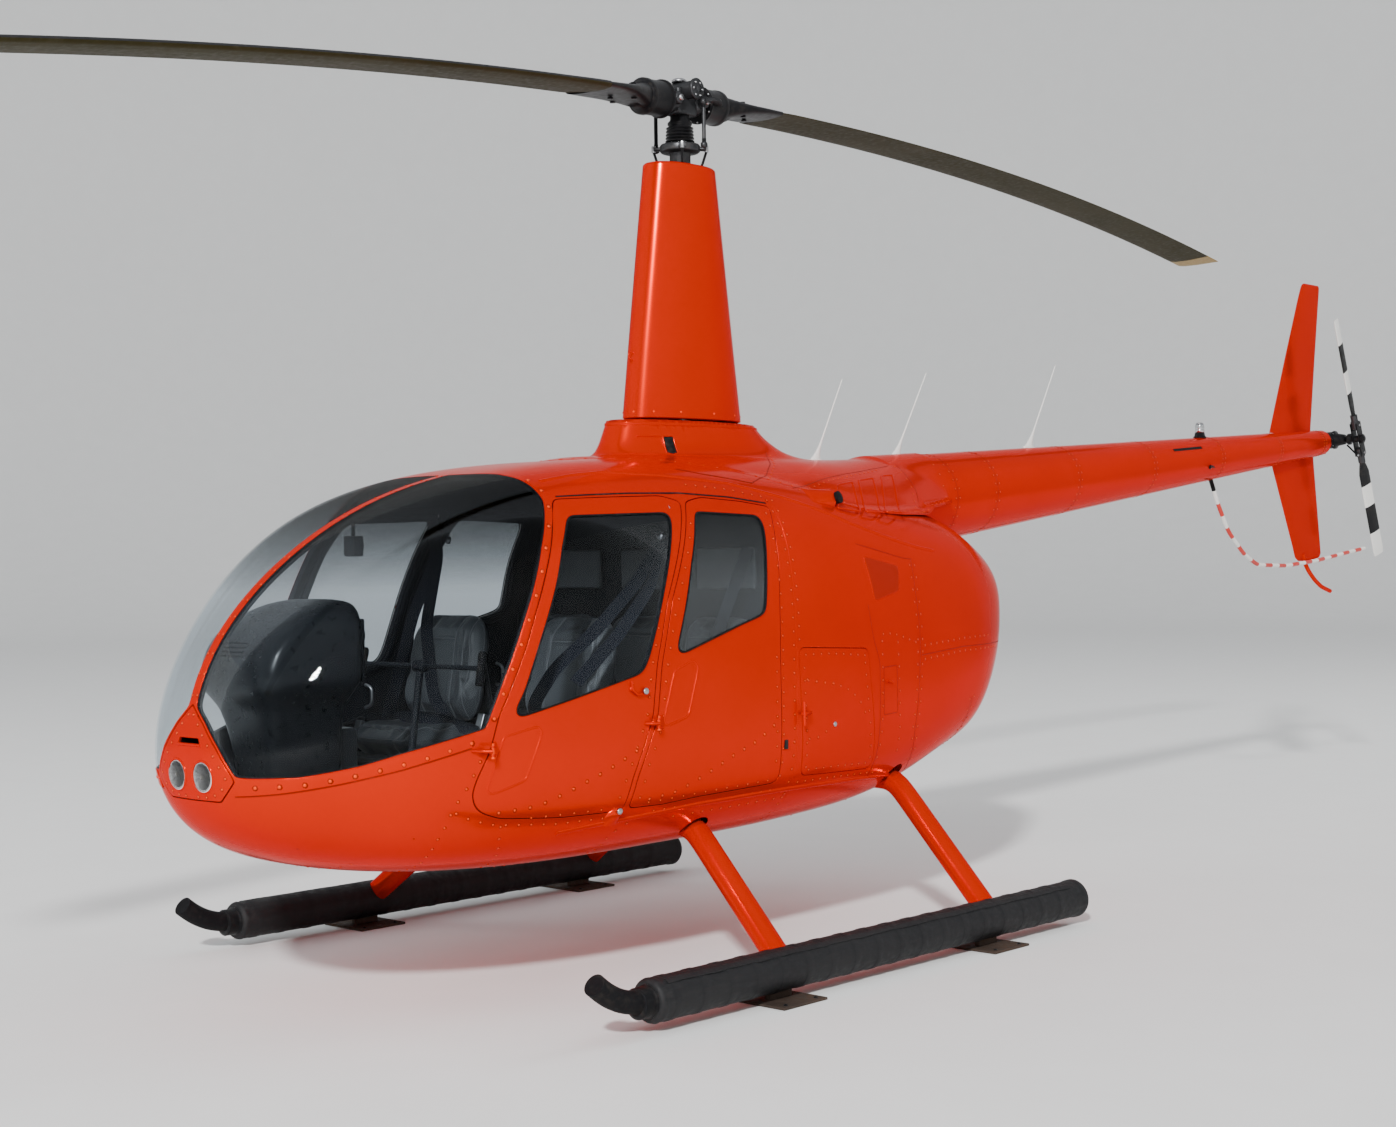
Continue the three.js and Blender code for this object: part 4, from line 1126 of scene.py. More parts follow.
    def ring(self, y: float, low: float, high: float, step: float = 0.02) -> Array:
        """Points round the section at a station, between two angles in degrees."""
        phi = np.radians(np.linspace(low, high, 400))
        return even(self.point(np.full(400, y), phi), step)

    def keel(self, x: float, front: float, back: float, top: bool, step: float = 0.02) -> Array:
        """Points along the belly or the roof at a distance x from the middle plane.

        Args:
            x: distance from the middle plane.
            front: first station.
            back: last station.
            top: whether the roof is meant, not the belly.
            step: distance between points.

        Returns:
            Points on the skin.
        """
        run = np.linspace(*np.interp([front, back], self.run_at, self.run), 900)
        y = np.interp(run, self.run, self.run_at)
        return even(self.from_above(np.stack([np.full(900, x), y], -1), top), step)

    def mesh(self, loops: list[Array], spacing: float, lines: tuple = ()) -> tuple[Array, Array, Array]:
        """Points, normals and triangles of the skin inside closed lines that lie on it.

        Args:
            loops: closed lines on the skin.
            spacing: distance between the points inside.
            lines: open lines that edges must follow.

        Returns:
            Points, normals and triangles.
        """
        plane, faces = triangulate(
            [self.unrolled(loop) for loop in loops], spacing, tuple(self.unrolled(line) for line in lines))
        points, normals = self.rolled(plane)
        return points, normals, faces


def joined(*meshes: tuple[Array, Array, Array]) -> tuple[Array, Array, Array]:
    """Meshes of points, normals and triangles made one, with equal points shared.

    Args:
        meshes: each of points, normals and triangles.

    Returns:
        Points, normals and triangles of all.
    """
    points = np.vstack([m[0] for m in meshes])
    normals = np.vstack([m[1] for m in meshes])
    starts = np.cumsum([0] + [len(m[0]) for m in meshes[:-1]])
    faces = np.vstack([m[2] + start for m, start in zip(meshes, starts)])
    _, first, inverse = np.unique(np.round(points, 5), axis=0, return_index=True, return_inverse=True)
    return points[first], normals[first], inverse.ravel()[faces]


def reflected(mesh: tuple[Array, Array, Array]) -> tuple[Array, Array, Array]:
    """The mesh on the other side of the middle plane."""
    sign = np.array([-1.0, 1.0, 1.0])
    return mesh[0] * sign, mesh[1] * sign, mesh[2][:, ::-1]


def plate(mesh: tuple[Array, Array, Array], lift: float, edge: float = 0.0006, material: int = 0) -> Part:
    """A thin sheet that lies on a surface and stands up from it by a distance.

    Args:
        mesh: points, normals and triangles on the surface.
        lift: height of its face over the surface.
        edge: size of the softened edge.
        material: index of the material.

    Returns:
        The closed part.
    """
    points, normals, faces = mesh
    part = slab(points + normals * lift, normals, faces, lift + 0.0012, edge, material, material)
    for patch in part:
        patch.material = material
    return part


def slab(
    points: Array, normals: Array, faces: Array, thickness: float, edge: float = 0.0012, inner: int = 1,
    wall: int = 0,
) -> Part:
    """A sheet with thickness and softened edges.

    Args:
        points: on the outer face.
        normals: outward, at the points.
        faces: triangles.
        thickness: measured inwards along the normals.
        edge: size of the softened edge.
        inner: material index of the inner face.
        wall: material index of the walls below the softened edge.

    Returns:
        A closed part whose outer face has material 0.
    """
    c = points[faces]
    facing = np.einsum("ij,ij->i", np.cross(c[:, 1] - c[:, 0], c[:, 2] - c[:, 0]), normals[faces[:, 0]])
    faces = np.where(facing[:, None] < 0, faces[:, ::-1], faces)
    sides = np.concatenate([faces[:, [0, 1]], faces[:, [1, 2]], faces[:, [2, 0]]])
    key = np.sort(sides, axis=1)
    _, first, count = np.unique(key[:, 0] * len(points) + key[:, 1], return_index=True, return_counts=True)
    rim = sides[first[count == 1]]
    left = np.cross(normals[rim[:, 0]] + normals[rim[:, 1]], points[rim[:, 1]] - points[rim[:, 0]])
    toward = np.zeros_like(points)
    np.add.at(toward, rim[:, 0], unit(left))
    np.add.at(toward, rim[:, 1], unit(left))
    toward = unit(toward)
    outer = points + toward * edge
    under = points - normals * thickness + toward * edge
    used, index = np.unique(rim, return_inverse=True)
    index = index.reshape(rim.shape)
    m, p, n, b = len(used), points[used], normals[used], toward[used]
    rings = np.concatenate([outer[used], p - n * edge, p - n * (thickness - edge), under[used]])
    shades = np.concatenate([n, -b, -b, -n])
    walls = [np.stack([index[:, 0] + k * m, index[:, 0] + (k + 1) * m, index[:, 1] + (k + 1) * m,
                       index[:, 1] + k * m], -1) for k in range(3)]
    return [
        Patch(outer, faces, normals, 0),
        Patch(rings, walls[0], shades, 0),
        Patch(rings, np.vstack(walls[1:]), shades, wall),
        Patch(under, faces[:, ::-1], -normals, inner),
    ]


@dataclass
class Lines:
    """Seams, beads and rivets that lie on a surface whose normals are known."""

    normal: Callable[[Array], Array]
    rivet: float = 0.0052
    rivet_shape: float = 0.45  # height over radius

    def seam(self, line: Array, width: float = 0.003, height: float = 0.0005,
             material: int = Coat.SEAM_AND_SHADOW) -> Part:
        """A thin flat strip along a line on the surface.

        Args:
            line: points on the surface.
            width: of the strip.
            height: over the surface.
            material: index of the material.

        Returns:
            The closed strip.
        """
        half = width / 2
        section = np.array([[-half, -0.001], [half, -0.001], [half, height * 0.6], [0, height],
                            [-half, height * 0.6]])
        return sweep(line, section, self.normal(line), material=material)

    def bead(self, line: Array, width: float = 0.007, height: float = 0.0022, material: int = 0) -> Part:
        """A rounded ridge along a line on the surface.

        Args:
            line: points on the surface.
            width: of the strip.
            height: over the surface.
            material: index of the material.

        Returns:
            The closed ridge.
        """
        a = np.linspace(0, math.pi, 7)
        arch = np.stack([np.cos(a) * width / 2, np.sin(a) * height], -1)
        section = np.vstack([arch, [[-width / 2, -0.002], [width / 2, -0.002]]])
        return sweep(line, section, self.normal(line), material=material)

    def ring(self, loop: Array, width: float = 0.006, height: float = 0.0018, material: int = 0) -> Part:
        """A rounded ridge along a closed line on the surface.

        Args:
            loop: closed line on the surface.
            width: of the strip.
            height: over the surface.
            material: index of the material.

        Returns:
            The closed ridge.
        """
        a = np.linspace(0, 2 * math.pi, 8, endpoint=False)
        section = np.stack([np.cos(a) * width / 2, np.sin(a) * height], -1)
        return sweep(loop, section, self.normal(loop), closed=True, material=material)

    def rivets(self, line: Array, pitch: float = 0.045, radius: float = rivet,
               material: int = Coat.RIVET_HIGHLIGHT) -> Part:
        """Round heads along a line on the surface.

        Args:
            line: points on the surface.
            pitch: distance between the heads.
            radius: of the heads.
            material: index of the material.

        Returns:
            The heads, each on a dark disc: painted shadow and a dirt line round the head.
        """
        at = even(line, pitch)
        normals = self.normal(at)
        heads = studs(at, normals, radius, radius * self.rivet_shape, material)
        # dark disc round each head: painted shadow and a dirt line
        return heads + studs(at, normals, radius * 1.6, 0.0004, Coat.SEAM_AND_SHADOW, 6)


def studs(at: Array, normals: Array, radius: float, height: float, material: int = 0,
          sides: int = 8) -> Part:
    """Low round heads: a ring on the surface, a point above and a point below.

    Args:
        at: middles on the surface.
        normals: outward there.
        radius: of the heads.
        height: of the heads.
        material: index of the material.
        sides: of each head.

    Returns:
        All heads as one list of patches.
    """
    across = unit(np.cross(normals, [0.31, 0.87, 0.38]))
    third = np.cross(normals, across)
    ring = circle(1.0, sides)
    spokes = ring[None, :, :1] * across[:, None] + ring[None, :, 1:] * third[:, None]
    rims = at[:, None] + spokes * radius
    shoulder = at[:, None] + spokes * radius * 0.6 + normals[:, None] * height * 0.8
    count = len(at)
    points = np.concatenate([rims.reshape(-1, 3), shoulder.reshape(-1, 3), at + normals * height,
                             at - normals * height])
    lean = unit(spokes * 0.9 + normals[:, None] * 0.45).reshape(-1, 3)
    rise = unit(spokes * 0.45 + normals[:, None]).reshape(-1, 3)
    shades = np.concatenate([lean, rise, normals, -normals])
    base = (np.arange(count) * sides)[:, None]
    i, j = base + np.arange(sides), base + (np.arange(sides) + 1) % sides
    own = np.arange(count)[:, None] + 0 * i
    top, low = count * sides * 2 + own, count * (sides * 2 + 1) + own
    up = count * sides
    quads = np.stack([i, j, j + up, i + up], -1).reshape(-1, 4)
    caps = np.stack([i + up, j + up, top], -1).reshape(-1, 3)
    feet = np.stack([j, i, low], -1).reshape(-1, 3)
    return [Patch(points, quads, shades, material),
            Patch(points, np.vstack([caps, feet]), shades, material)]


# Outlines seen from the port side, as (y, z)
DOOR_FRONT = np.array([
    (-1.275, 1.736), (-1.316, 1.680), (-1.355, 1.594), (-1.402, 1.493), (-1.460, 1.360), (-1.515, 1.222),
    (-1.575, 1.092), (-1.617, 1.011), (-1.648, 0.904), (-1.696, 0.809), (-1.709, 0.760), (-1.693, 0.719),
    (-1.663, 0.694), (-1.590, 0.669), (-1.352, 0.651), (-1.078, 0.649), (-1.056, 0.766), (-1.019, 0.851),
    (-0.965, 0.970), (-0.942, 1.151), (-0.880, 1.378), (-0.708, 1.731), (-0.794, 1.752), (-1.078, 1.744),
])
DOOR_REAR = np.array([
    (-1.054, 0.655), (-1.032, 0.766), (-0.995, 0.851), (-0.941, 0.970), (-0.918, 1.151), (-0.856, 1.378),
    (-0.684, 1.731), (-0.590, 1.748), (-0.372, 1.735), (-0.206, 1.716), (-0.226, 1.660), (-0.243, 1.588),
    (-0.270, 1.362), (-0.277, 1.175), (-0.275, 0.987), (-0.274, 0.818), (-0.267, 0.690), (-0.295, 0.674),
    (-0.700, 0.664), (-0.887, 0.653),
])
WINDOW_FRONT = np.array([
    (-1.250, 1.680), (-1.271, 1.662), (-1.324, 1.570), (-1.382, 1.425), (-1.456, 1.253), (-1.519, 1.095),
    (-1.556, 1.031), (-1.552, 1.010), (-1.530, 1.005), (-1.026, 1.122), (-1.003, 1.137), (-0.977, 1.181),
    (-0.940, 1.275), (-0.889, 1.414), (-0.794, 1.655), (-0.790, 1.678), (-0.806, 1.692),
])
WINDOW_REAR = np.array([
    (-0.654, 1.696), (-0.675, 1.663), (-0.745, 1.500), (-0.796, 1.341), (-0.841, 1.211), (-0.836, 1.192),
    (-0.809, 1.184), (-0.496, 1.276), (-0.393, 1.302), (-0.358, 1.316), (-0.349, 1.338), (-0.323, 1.494),
    (-0.290, 1.637), (-0.292, 1.668), (-0.312, 1.684),
])
BAGGAGE_DOOR = np.array([
    (-0.150, 1.178), (-0.165, 1.160), (-0.150, 0.900), (-0.136, 0.705), (-0.115, 0.687), (0.332, 0.673),
    (0.352, 0.692), (0.291, 1.140), (0.272, 1.157),
])
SILL = np.array([(-2.300, 0.845), (-2.220, 0.847), (-2.065, 0.876), (-1.947, 0.908), (-1.821, 0.938),
                 (-1.664, 0.975)])
BOW = np.array([
    (-1.664, 0.975), (-1.612, 1.094), (-1.565, 1.197), (-1.509, 1.328), (-1.457, 1.444), (-1.402, 1.571),
    (-1.352, 1.663), (-1.312, 1.732), (-1.294, 1.798), (-1.284, 1.828),
])
# Nose panel seen from the front, as (x, z), its port half from the top down
NOSE_PANEL = np.array([
    (0.0, 1.072), (0.072, 1.010), (0.145, 0.932), (0.203, 0.850), (0.212, 0.832), (0.180, 0.798),
    (0.140, 0.762), (0.0, 0.762),
])
DOOR_GAP = 0.0032
WALL = 0.024
BULKHEAD_Y = -0.18


@dataclass
class Hull:
    """The skin with the closed lines that divide it into pieces."""

    post: float = 0.020  # half width of the windshield's middle post
    strip: float = 0.010  # skin left between the nose panel and the windshield

    def __post_init__(self) -> None:
        """Works out what the sizes give."""
        self.skin = Skin()
        self.lines = Lines(self.skin.normal)
        self.doors = {"front": self.skin.loop(DOOR_FRONT, 0.016), "rear": self.skin.loop(DOOR_REAR, 0.016)}
        self.windows = {"front": self.skin.loop(WINDOW_FRONT, 0.016),
                        "rear": self.skin.loop(WINDOW_REAR, 0.016)}
        self.baggage = self.skin.loop(BAGGAGE_DOOR, 0.010)
        self.windshield = self._windshield()

    def nose_line(self, grow: float) -> Array:
        """Port half of the nose panel's edge on the skin, from the top down, grown by a distance.

        Args:
            grow: distance outwards along the skin.

        Returns:
            Points on the skin.
        """
        whole = np.vstack([NOSE_PANEL, NOSE_PANEL[-2:0:-1] * [-1, 1]])
        loop = smooth_loop(whole, 0.006, 0.005)
        ahead = unit(np.roll(loop, -1, 0) - np.roll(loop, 1, 0))
        loop = loop + np.stack([-ahead[:, 1], ahead[:, 0]], -1) * grow
        start = np.argmax(loop[:, 1] - 10 * np.abs(loop[:, 0]))
        loop = np.roll(loop, -start, axis=0)
        half = loop[: int(np.argmin(loop[:, 1] + 10 * np.abs(loop[:, 0]))) + 1]
        half = half[half[:, 0] > 0.002]
        ends = [[0.0, half[0, 1] + half[0, 0] * 0.8], [0.0, half[-1, 1]]]
        return self.skin.from_front(np.vstack([ends[:1], half, ends[1:]]))

    def strut_port(self, foot: float, at: float, z: float, radius: float) -> Array:
        """Edge of the hole where a strut meets the port skin.

        Args:
            foot: station of the strut at the float.
            at: station where it enters the belly.
            z: level where it enters.
            radius: of the hole.

        Returns:
            Points on the skin.
        """
        inner = np.array([LandingGear.bend_x, at, z])
        along = unit(np.array([LandingGear.track, foot, LandingGear.strut_foot_z]) - inner)
        across = unit(np.cross(along, [0.0, 0.0, 1.0]))
        third = np.cross(along, across)
        ring = circle(radius, 40)
        start = inner - along * 0.12 + ring[:, :1] * across + ring[:, 1:] * third
        return self.skin.hit(start, along, 0.5)

    def strut_collar(self, strut: tuple, radius: float) -> Part:
        """Dark tube in the skin where a strut goes in: painted shade of the gap round the strut.

        Args:
            strut: its row of the table.
            radius: of the hole.

        Returns:
            The closed tube.
        """
        _, foot, at, z, _ = strut
        rim = self.strut_port(foot, at, z, radius - 0.001)
        gear = LandingGear
        ahead = unit(np.array([gear.bend_x - gear.track, at - foot, z - gear.strut_foot_z]))
        rings = np.stack([rim + ahead * v for v in (0.0, 0.03, 0.06)])
        return [grid(rings, wrap=True, material=Coat.RUBBER_AND_SHADE),
                grid(rings[::-1], wrap=True, material=Coat.RUBBER_AND_SHADE)]

    def _windshield(self) -> Array:
        """Edge of the port windshield opening, with rounded corners.

        Returns:
            Points on the skin.
        """
        nose = self.nose_line(self.strip)
        nose = nose[(nose[:, 0] > self.post + 0.002) & (nose[:, 2] > 0.8465)]
        sill = self.skin.from_side(even(SILL, 0.01))
        bow = self.skin.from_side(even(BOW, 0.01))
        roof = np.linspace(bow[-1, 0] - 0.01, self.post, 30)
        roof = self.skin.from_above(np.stack([roof, np.full(30, -1.278)], -1))
        post = self.skin.keel(self.post, nose[0, 1] + 0.004, -1.284, True, 0.01)[::-1]
        loop = smooth_loop(np.vstack([nose, sill, bow, roof, post]), 0.009)
        return self.skin.rolled(self.skin.unrolled(loop))[0]


@dataclass
class CabinShell:
    """Fixed skin of the cabin from the nose panel to the bulkhead, with its seams and rivets."""

    hull: Hull
    finishes: Finishes

    # Rivet rows seen from the side, as (station, height)
    rows: tuple = (
        ((-1.685, 0.868), (-1.729, 0.780), (-1.765, 0.718), (-1.780, 0.616), (-1.770, 0.552),
         (-1.735, 0.480)),
        ((-1.577, 0.640), (-1.558, 0.588), (-1.510, 0.524), (-1.46, 0.47)),
        ((-1.750, 0.700), (-1.690, 0.672), (-1.600, 0.648), (-1.36, 0.630), (-1.16, 0.630)),
        ((-1.029, 0.598), (-1.080, 0.560), (-1.066, 0.520), (-1.05, 0.48)),
        ((-0.92, 0.634), (-0.70, 0.638), (-0.30, 0.648)),
        ((-0.80, 0.600), (-0.45, 0.606), (-0.20, 0.610)),
        ((-0.246, 1.690), (-0.262, 1.500), (-0.262, 1.250), (-0.262, 0.980), (-0.262, 0.700)),
        ((-0.197, 1.740), (-0.197, 1.400), (-0.197, 1.100), (-0.197, 0.800), (-0.197, 0.520)),
        ((-0.62, 1.795), (-0.40, 1.780), (-0.22, 1.755)),
    )
    lip: tuple = ((-1.242, 1.802), (-1.101, 1.825), (-0.961, 1.838), (-0.704, 1.830), (-0.368, 1.806),
                  (-0.181, 1.773))
    # Black strip just above the door tops: painted shadow under the drip rail
    drip_shadow: tuple = ((-1.255, 1.745), (-1.121, 1.752), (-0.940, 1.759), (-0.693, 1.762), (-0.428, 1.750),
                   (-0.215, 1.729))
    fold: tuple = ((-1.34, 0.594), (-1.19, 0.607), (-1.00, 0.618), (-0.70, 0.634), (-0.36, 0.640),
                   (-0.18, 0.642))
    strip_low: tuple = ((-2.335, 0.786), (-2.253, 0.798), (-2.118, 0.823), (-1.947, 0.858), (-1.715, 0.916))
    latch: tuple = (-0.247, 0.818)
    step: tuple = (-1.120, 0.632)
    strut_port: float = 0.058

    def _half(self) -> tuple[Array, Array, Array]:
        """Port half of the outer face.

        Returns:
            Points, normals and triangles.
        """
        skin, nose = self.hull.skin, self.hull.nose_line(0.002)
        outer = np.vstack([
            skin.keel(0.0, nose[-1, 1], BULKHEAD_Y, False)[:-1], skin.ring(BULKHEAD_Y, -90, 90)[:-1],
            skin.keel(0.0, nose[0, 1], BULKHEAD_Y, True)[::-1][:-1], nose[:-1]])
        holes = [skin.inset(self.hull.doors[k], -DOOR_GAP / 2) for k in ("front", "rear")]
        strut = self.hull.strut_port(*LandingGear.struts[0][1:4], self.strut_port)
        return skin.mesh([outer, *holes, self.hull.windshield, strut], 0.028)

    def _sill(self) -> Part:
        """Raised strip under the windshield.

        Returns:
            The closed strip.
        """
        skin = self.hull.skin
        low = skin.line(self.strip_low)
        top = skin.inset(self.hull.windshield, -0.003)
        top = top[(top[:, 1] > -2.335) & (top[:, 1] < -1.71) & (top[:, 2] < 1.0)]
        top = top[np.argsort(-top[:, 1])]
        return plate(skin.mesh([np.vstack([low, top])], 0.03), 0.0034)

    def _bow(self) -> tuple[Part, Array]:
        """Raised strip behind the windshield, and the line of its rivets.

        Returns:
            The closed strip, and points on the skin.
        """
        skin = self.hull.skin
        front = skin.inset(self.hull.windshield, -0.003)
        front = front[(front[:, 1] > -1.70) & (front[:, 2] > 1.0) & (front[:, 2] < 1.800)]
        front = front[np.argsort(front[:, 2])]
        front = front[(front[:, 0] > 0.40)]
        middle = skin.unrolled(front) + [0.0135, 0.0]
        back = skin.rolled(skin.unrolled(front) + [0.027, 0.0])[0]
        return plate(skin.mesh([np.vstack([front, back[::-1]])], 0.03), 0.0034), skin.rolled(middle)[0]

    def build(self) -> None:
        """Makes the piece."""
        f, half, hull = self.finishes, self._half(), self.hull
        skin, lines = hull.skin, hull.lines
        piece = Builder("cabin_shell", "airframe", f.skin,
                        ("cabin_lower_shell", "cabin_roof_frame"), "orange_paint")
        piece.add(slab(*joined(half, reflected(half)), WALL, wall=Coat.TRIM))
        bow, bow_line = self._bow()
        sill = skin.line([(-2.31, 0.815), (-2.20, 0.823), (-2.05, 0.85), (-1.87, 0.888), (-1.715, 0.930)])
        post = skin.keel(0.0135, -2.345, -1.30, True)
        piece.add(
            self._sill(), bow, lines.rivets(self._above(bow_line), 0.085, 0.0066),
            lines.rivets(self._above(sill), 0.085, 0.0066), lines.rivets(post, 0.075, 0.0046),
            lines.seam(skin.line(np.array(self.strip_low) - [0.0, 0.0035]), 0.0040),
            lines.bead(skin.line(self.lip), 0.016, 0.0045),
            # painted shadow under the drip rail, a black strip
            lines.seam(skin.line(self.drip_shadow), 0.0075, 0.0008, Coat.RUBBER_AND_SHADE),
            lines.bead(skin.line(self.fold), 0.020, 0.0045), both_sides=True)
        for row in self.rows:
            piece.add(lines.rivets(skin.line(row), 0.052, 0.0044), both_sides=True)
        collar = hull.strut_collar(LandingGear.struts[0], self.strut_port)
        piece.add(self._latch(), collar, both_sides=True)
        piece.add(*self._step(), *self._lug(HINGES["front"]), *self._lug(HINGES["rear"]), both_sides=True)
        for y in (-1.95, -1.35, -0.75):
            piece.add(lines.rivets(skin.ring(y, -90, -52), 0.055, 0.0044), both_sides=True)
        piece.add(lines.seam(skin.ring(-1.30, -90, -50)), lines.seam(skin.ring(-0.70, -90, -50)),
                  both_sides=True)
        piece.build()

    def _above(self, line: Array) -> Array:
        """A line on the skin lifted to the face of a raised strip."""
        return line + self.hull.skin.normal(line) * 0.0032

    def _latch(self) -> Part:
        """Black latch plate behind the rear door."""
        at = self.hull.skin.from_side([self.latch])[0]
        return rounded_box(at - [0.006, 0.011, 0.018], at + [0.003, 0.011, 0.018], 0.002,
                           material=Coat.BLACK)

    def _step(self) -> list[Part]:
        """Small wedge with a steel knob, to stand on.

        Returns:
            The parts.
        """
        at = self.hull.skin.from_side([self.step])[0]
        rings = []
        for t in np.linspace(0, 1, 12):
            half, out = 0.046 * (1 - 0.86 * t), 0.040 * math.sin(t * math.pi / 2)
            mid = at + [out - 0.014, 0.012 * t, 0.020 - 0.030 * (1 - t) ** 2]
            ring = circle(1.0, 20) * [half, 0.026 * (1 - 0.55 * t)]
            rings.append(mid + np.stack([ring[:, 0] * 0.15, ring[:, 0], ring[:, 1]], -1))
        knob = revolve([(0.0, -0.004), (0.008, -0.004), (0.008, -0.004), (0.008, 0.004),
                        (0.0115, 0.006), (0.0115, 0.013), (0.009, 0.016), (0.0, 0.017)],
                       at + [0.024, 0.008, 0.020], [1.0, -0.1, 0.1], 16, Coat.STEEL)
        return [loft(np.array(rings)), knob]

    def _lug(self, hinge: "Hinge") -> list[Part]:
        """Fixed half of a door's hinge: a bracket on the skin and the pin through it.

        Args:
            hinge: its place.

        Returns:
            The parts.
        """
        pin = np.array([hinge.x, hinge.y, hinge.z])
        start = self.hull.skin.from_side([[hinge.y - 0.034, hinge.z]])[0]
        path = even([start + [-0.004, 0, 0], (start + pin) / 2 + [0.004, -0.006, 0], pin], 0.006)
        flat = np.array([[-0.007, -0.006], [0.007, -0.006], [0.009, 0.0], [0.007, 0.006], [-0.007, 0.006],
                         [-0.009, 0.0]])
        arm = sweep(path, flat * [1.3, 1.0])
        bolt = revolve([(0.0, -0.026), (0.0075, -0.026), (0.0075, -0.021), (0.0045, -0.021),
                        (0.0045, 0.024), (0.0, 0.026)], pin, [0, 0, 1], 12, Coat.RIVET_HIGHLIGHT)
        return [arm, bolt]


@dataclass(frozen=True)
class Hinge:
    """Pin of a door: its place on the port side."""

    x: float
    y: float
    z: float


HINGES = {"front": Hinge(0.694, -1.672, 0.905), "rear": Hinge(0.766, -0.962, 0.950),
          "baggage": Hinge(0.764, -0.166, 0.930)}


@dataclass
class CabinDoor:
    """A hinged door with its window."""

    hull: Hull
    finishes: Finishes
    row: str
    port: bool

    glass_edge: float = 0.007
    glass: float = 0.005
    # Pressed panels and rivet rows seen from the side, as (station, height)
    pressed: dict = held({
        "front": ((-1.598, 0.945), (-1.468, 0.972), (-1.452, 0.950), (-1.517, 0.793), (-1.641, 0.755),
                  (-1.660, 0.772)),
        "rear": ((-0.855, 1.128), (-0.760, 1.161), (-0.733, 1.135), (-0.788, 0.962), (-0.897, 0.934),
                 (-0.914, 0.950)),
    })
    sweep: dict = held({
        "front": ((-1.600, 0.690), (-1.457, 0.701), (-1.343, 0.739), (-1.251, 0.774), (-1.148, 0.813),
                  (-1.045, 0.858)),
        "rear": ((-0.960, 0.680), (-0.834, 0.694), (-0.751, 0.721), (-0.642, 0.763), (-0.544, 0.803),
                 (-0.416, 0.844), (-0.320, 0.895)),
    })
    edges: dict = held({
        "front": (((-1.106, 0.700), (-1.085, 0.766), (-1.046, 0.860), (-0.992, 0.975), (-0.968, 1.140),
                   (-0.915, 1.340)),
                  ((-1.470, 0.662), (-1.300, 0.662), (-1.120, 0.662))),
        "rear": (((-1.010, 0.690), (-0.985, 0.800), (-0.920, 0.940), (-0.894, 1.130), (-0.850, 1.310),
                  (-0.790, 1.460), (-0.700, 1.650)), ((-0.960, 0.668), (-0.700, 0.678), (-0.330, 0.688)),
                 ((-0.300, 1.150), (-0.300, 0.980), (-0.300, 0.760))),
    })

    def __post_init__(self) -> None:
        """Works out what the sizes give."""
        self.side = "port" if self.port else "starboard"

    def build(self) -> None:
        """Makes the door and its glass."""
        skin, f = self.hull.skin, self.finishes
        edge = skin.inset(self.hull.doors[self.row], DOOR_GAP / 2)
        window = self.hull.windows[self.row]
        body = f"door_{self.row}_{self.side}"
        door = Builder(body + "_leaf", body, f.skin, (body,), "orange_paint")
        parts = [slab(*skin.mesh([edge, window], 0.02), WALL, wall=Coat.TRIM), *self._outside(),
                 *self._inside()]
        glass = Builder(body + "_glass", body, [f.glass], (f"window_{self.row}_{self.side}",),
                        "clear_glazing")
        pane = slab(*skin.mesh([skin.inset(window, self.glass_edge)], 0.03), self.glass, 0.0005, 0)
        if not self.port:
            parts = [[patch.mirrored() for patch in part] for part in parts]
            pane = [patch.mirrored() for patch in pane]
        door.add(*parts).build()
        glass.add(pane).build()

    def _outside(self) -> list[Part]:
        """Pressed panel, rivets, handle and hinge arm.

        Returns:
            The parts.
        """
        skin, lines = self.hull.skin, self.hull.lines
        window = self.hull.windows[self.row]
        parts = [
            lines.ring(skin.loop(self.pressed[self.row], 0.010), 0.0080, 0.0023),
            lines.rivets(skin.line(self.sweep[self.row]), 0.062),
            lines.ring(skin.inset(window, 0.0035), 0.007, 0.0016, Coat.RUBBER_AND_SHADE),
        ]
        parts += [lines.rivets(skin.line(row), 0.06, 0.0042) for row in self.edges[self.row]]
        if self.row == "front":
            at = skin.from_side([[-1.009, 1.064], [-1.069, 1.075], [-1.069, 1.098]])
            knob = [(0.0, -0.002), (0.007, -0.002), (0.007, 0.006), (0.0125, 0.008), (0.0125, 0.013),
                    (0.009, 0.016), (0.0, 0.0165)]
            parts.append(revolve(knob, at[0], [1, 0, 0], 20, Coat.STEEL))
            lever = even([at[2] + [0.004, 0, 0.004], at[1] + [0.010, 0, -0.004],
                          at[1] + [0.012, 0.022, -0.022],
                          at[1] + [0.010, 0.045, -0.022]], 0.004)
            parts.append(tube(lever, 0.0045, 10))
            parts.append(revolve([(0.0, 0.0), (0.009, 0.0), (0.009, 0.005), (0.0, 0.007)], at[1],
                                 [1, 0, 0], 14))
        hinge = HINGES[self.row]
        pin = np.array([hinge.x, hinge.y, hinge.z])
        start = skin.from_side([[hinge.y + 0.040, hinge.z]])[0]
        flat = np.array([[-0.009, -0.005], [0.009, -0.005], [0.011, 0.0], [0.009, 0.005], [-0.009, 0.005],
                         [-0.011, 0.0]])
        for up in (0.014, -0.014):
            path = even([start + [-0.003, 0, up * 1.6], pin + [0, 0.006, up],
                         pin + [0.002, -0.004, up]], 0.006)
            parts.append(sweep(path, flat * [0.6, 0.8]))
        return parts

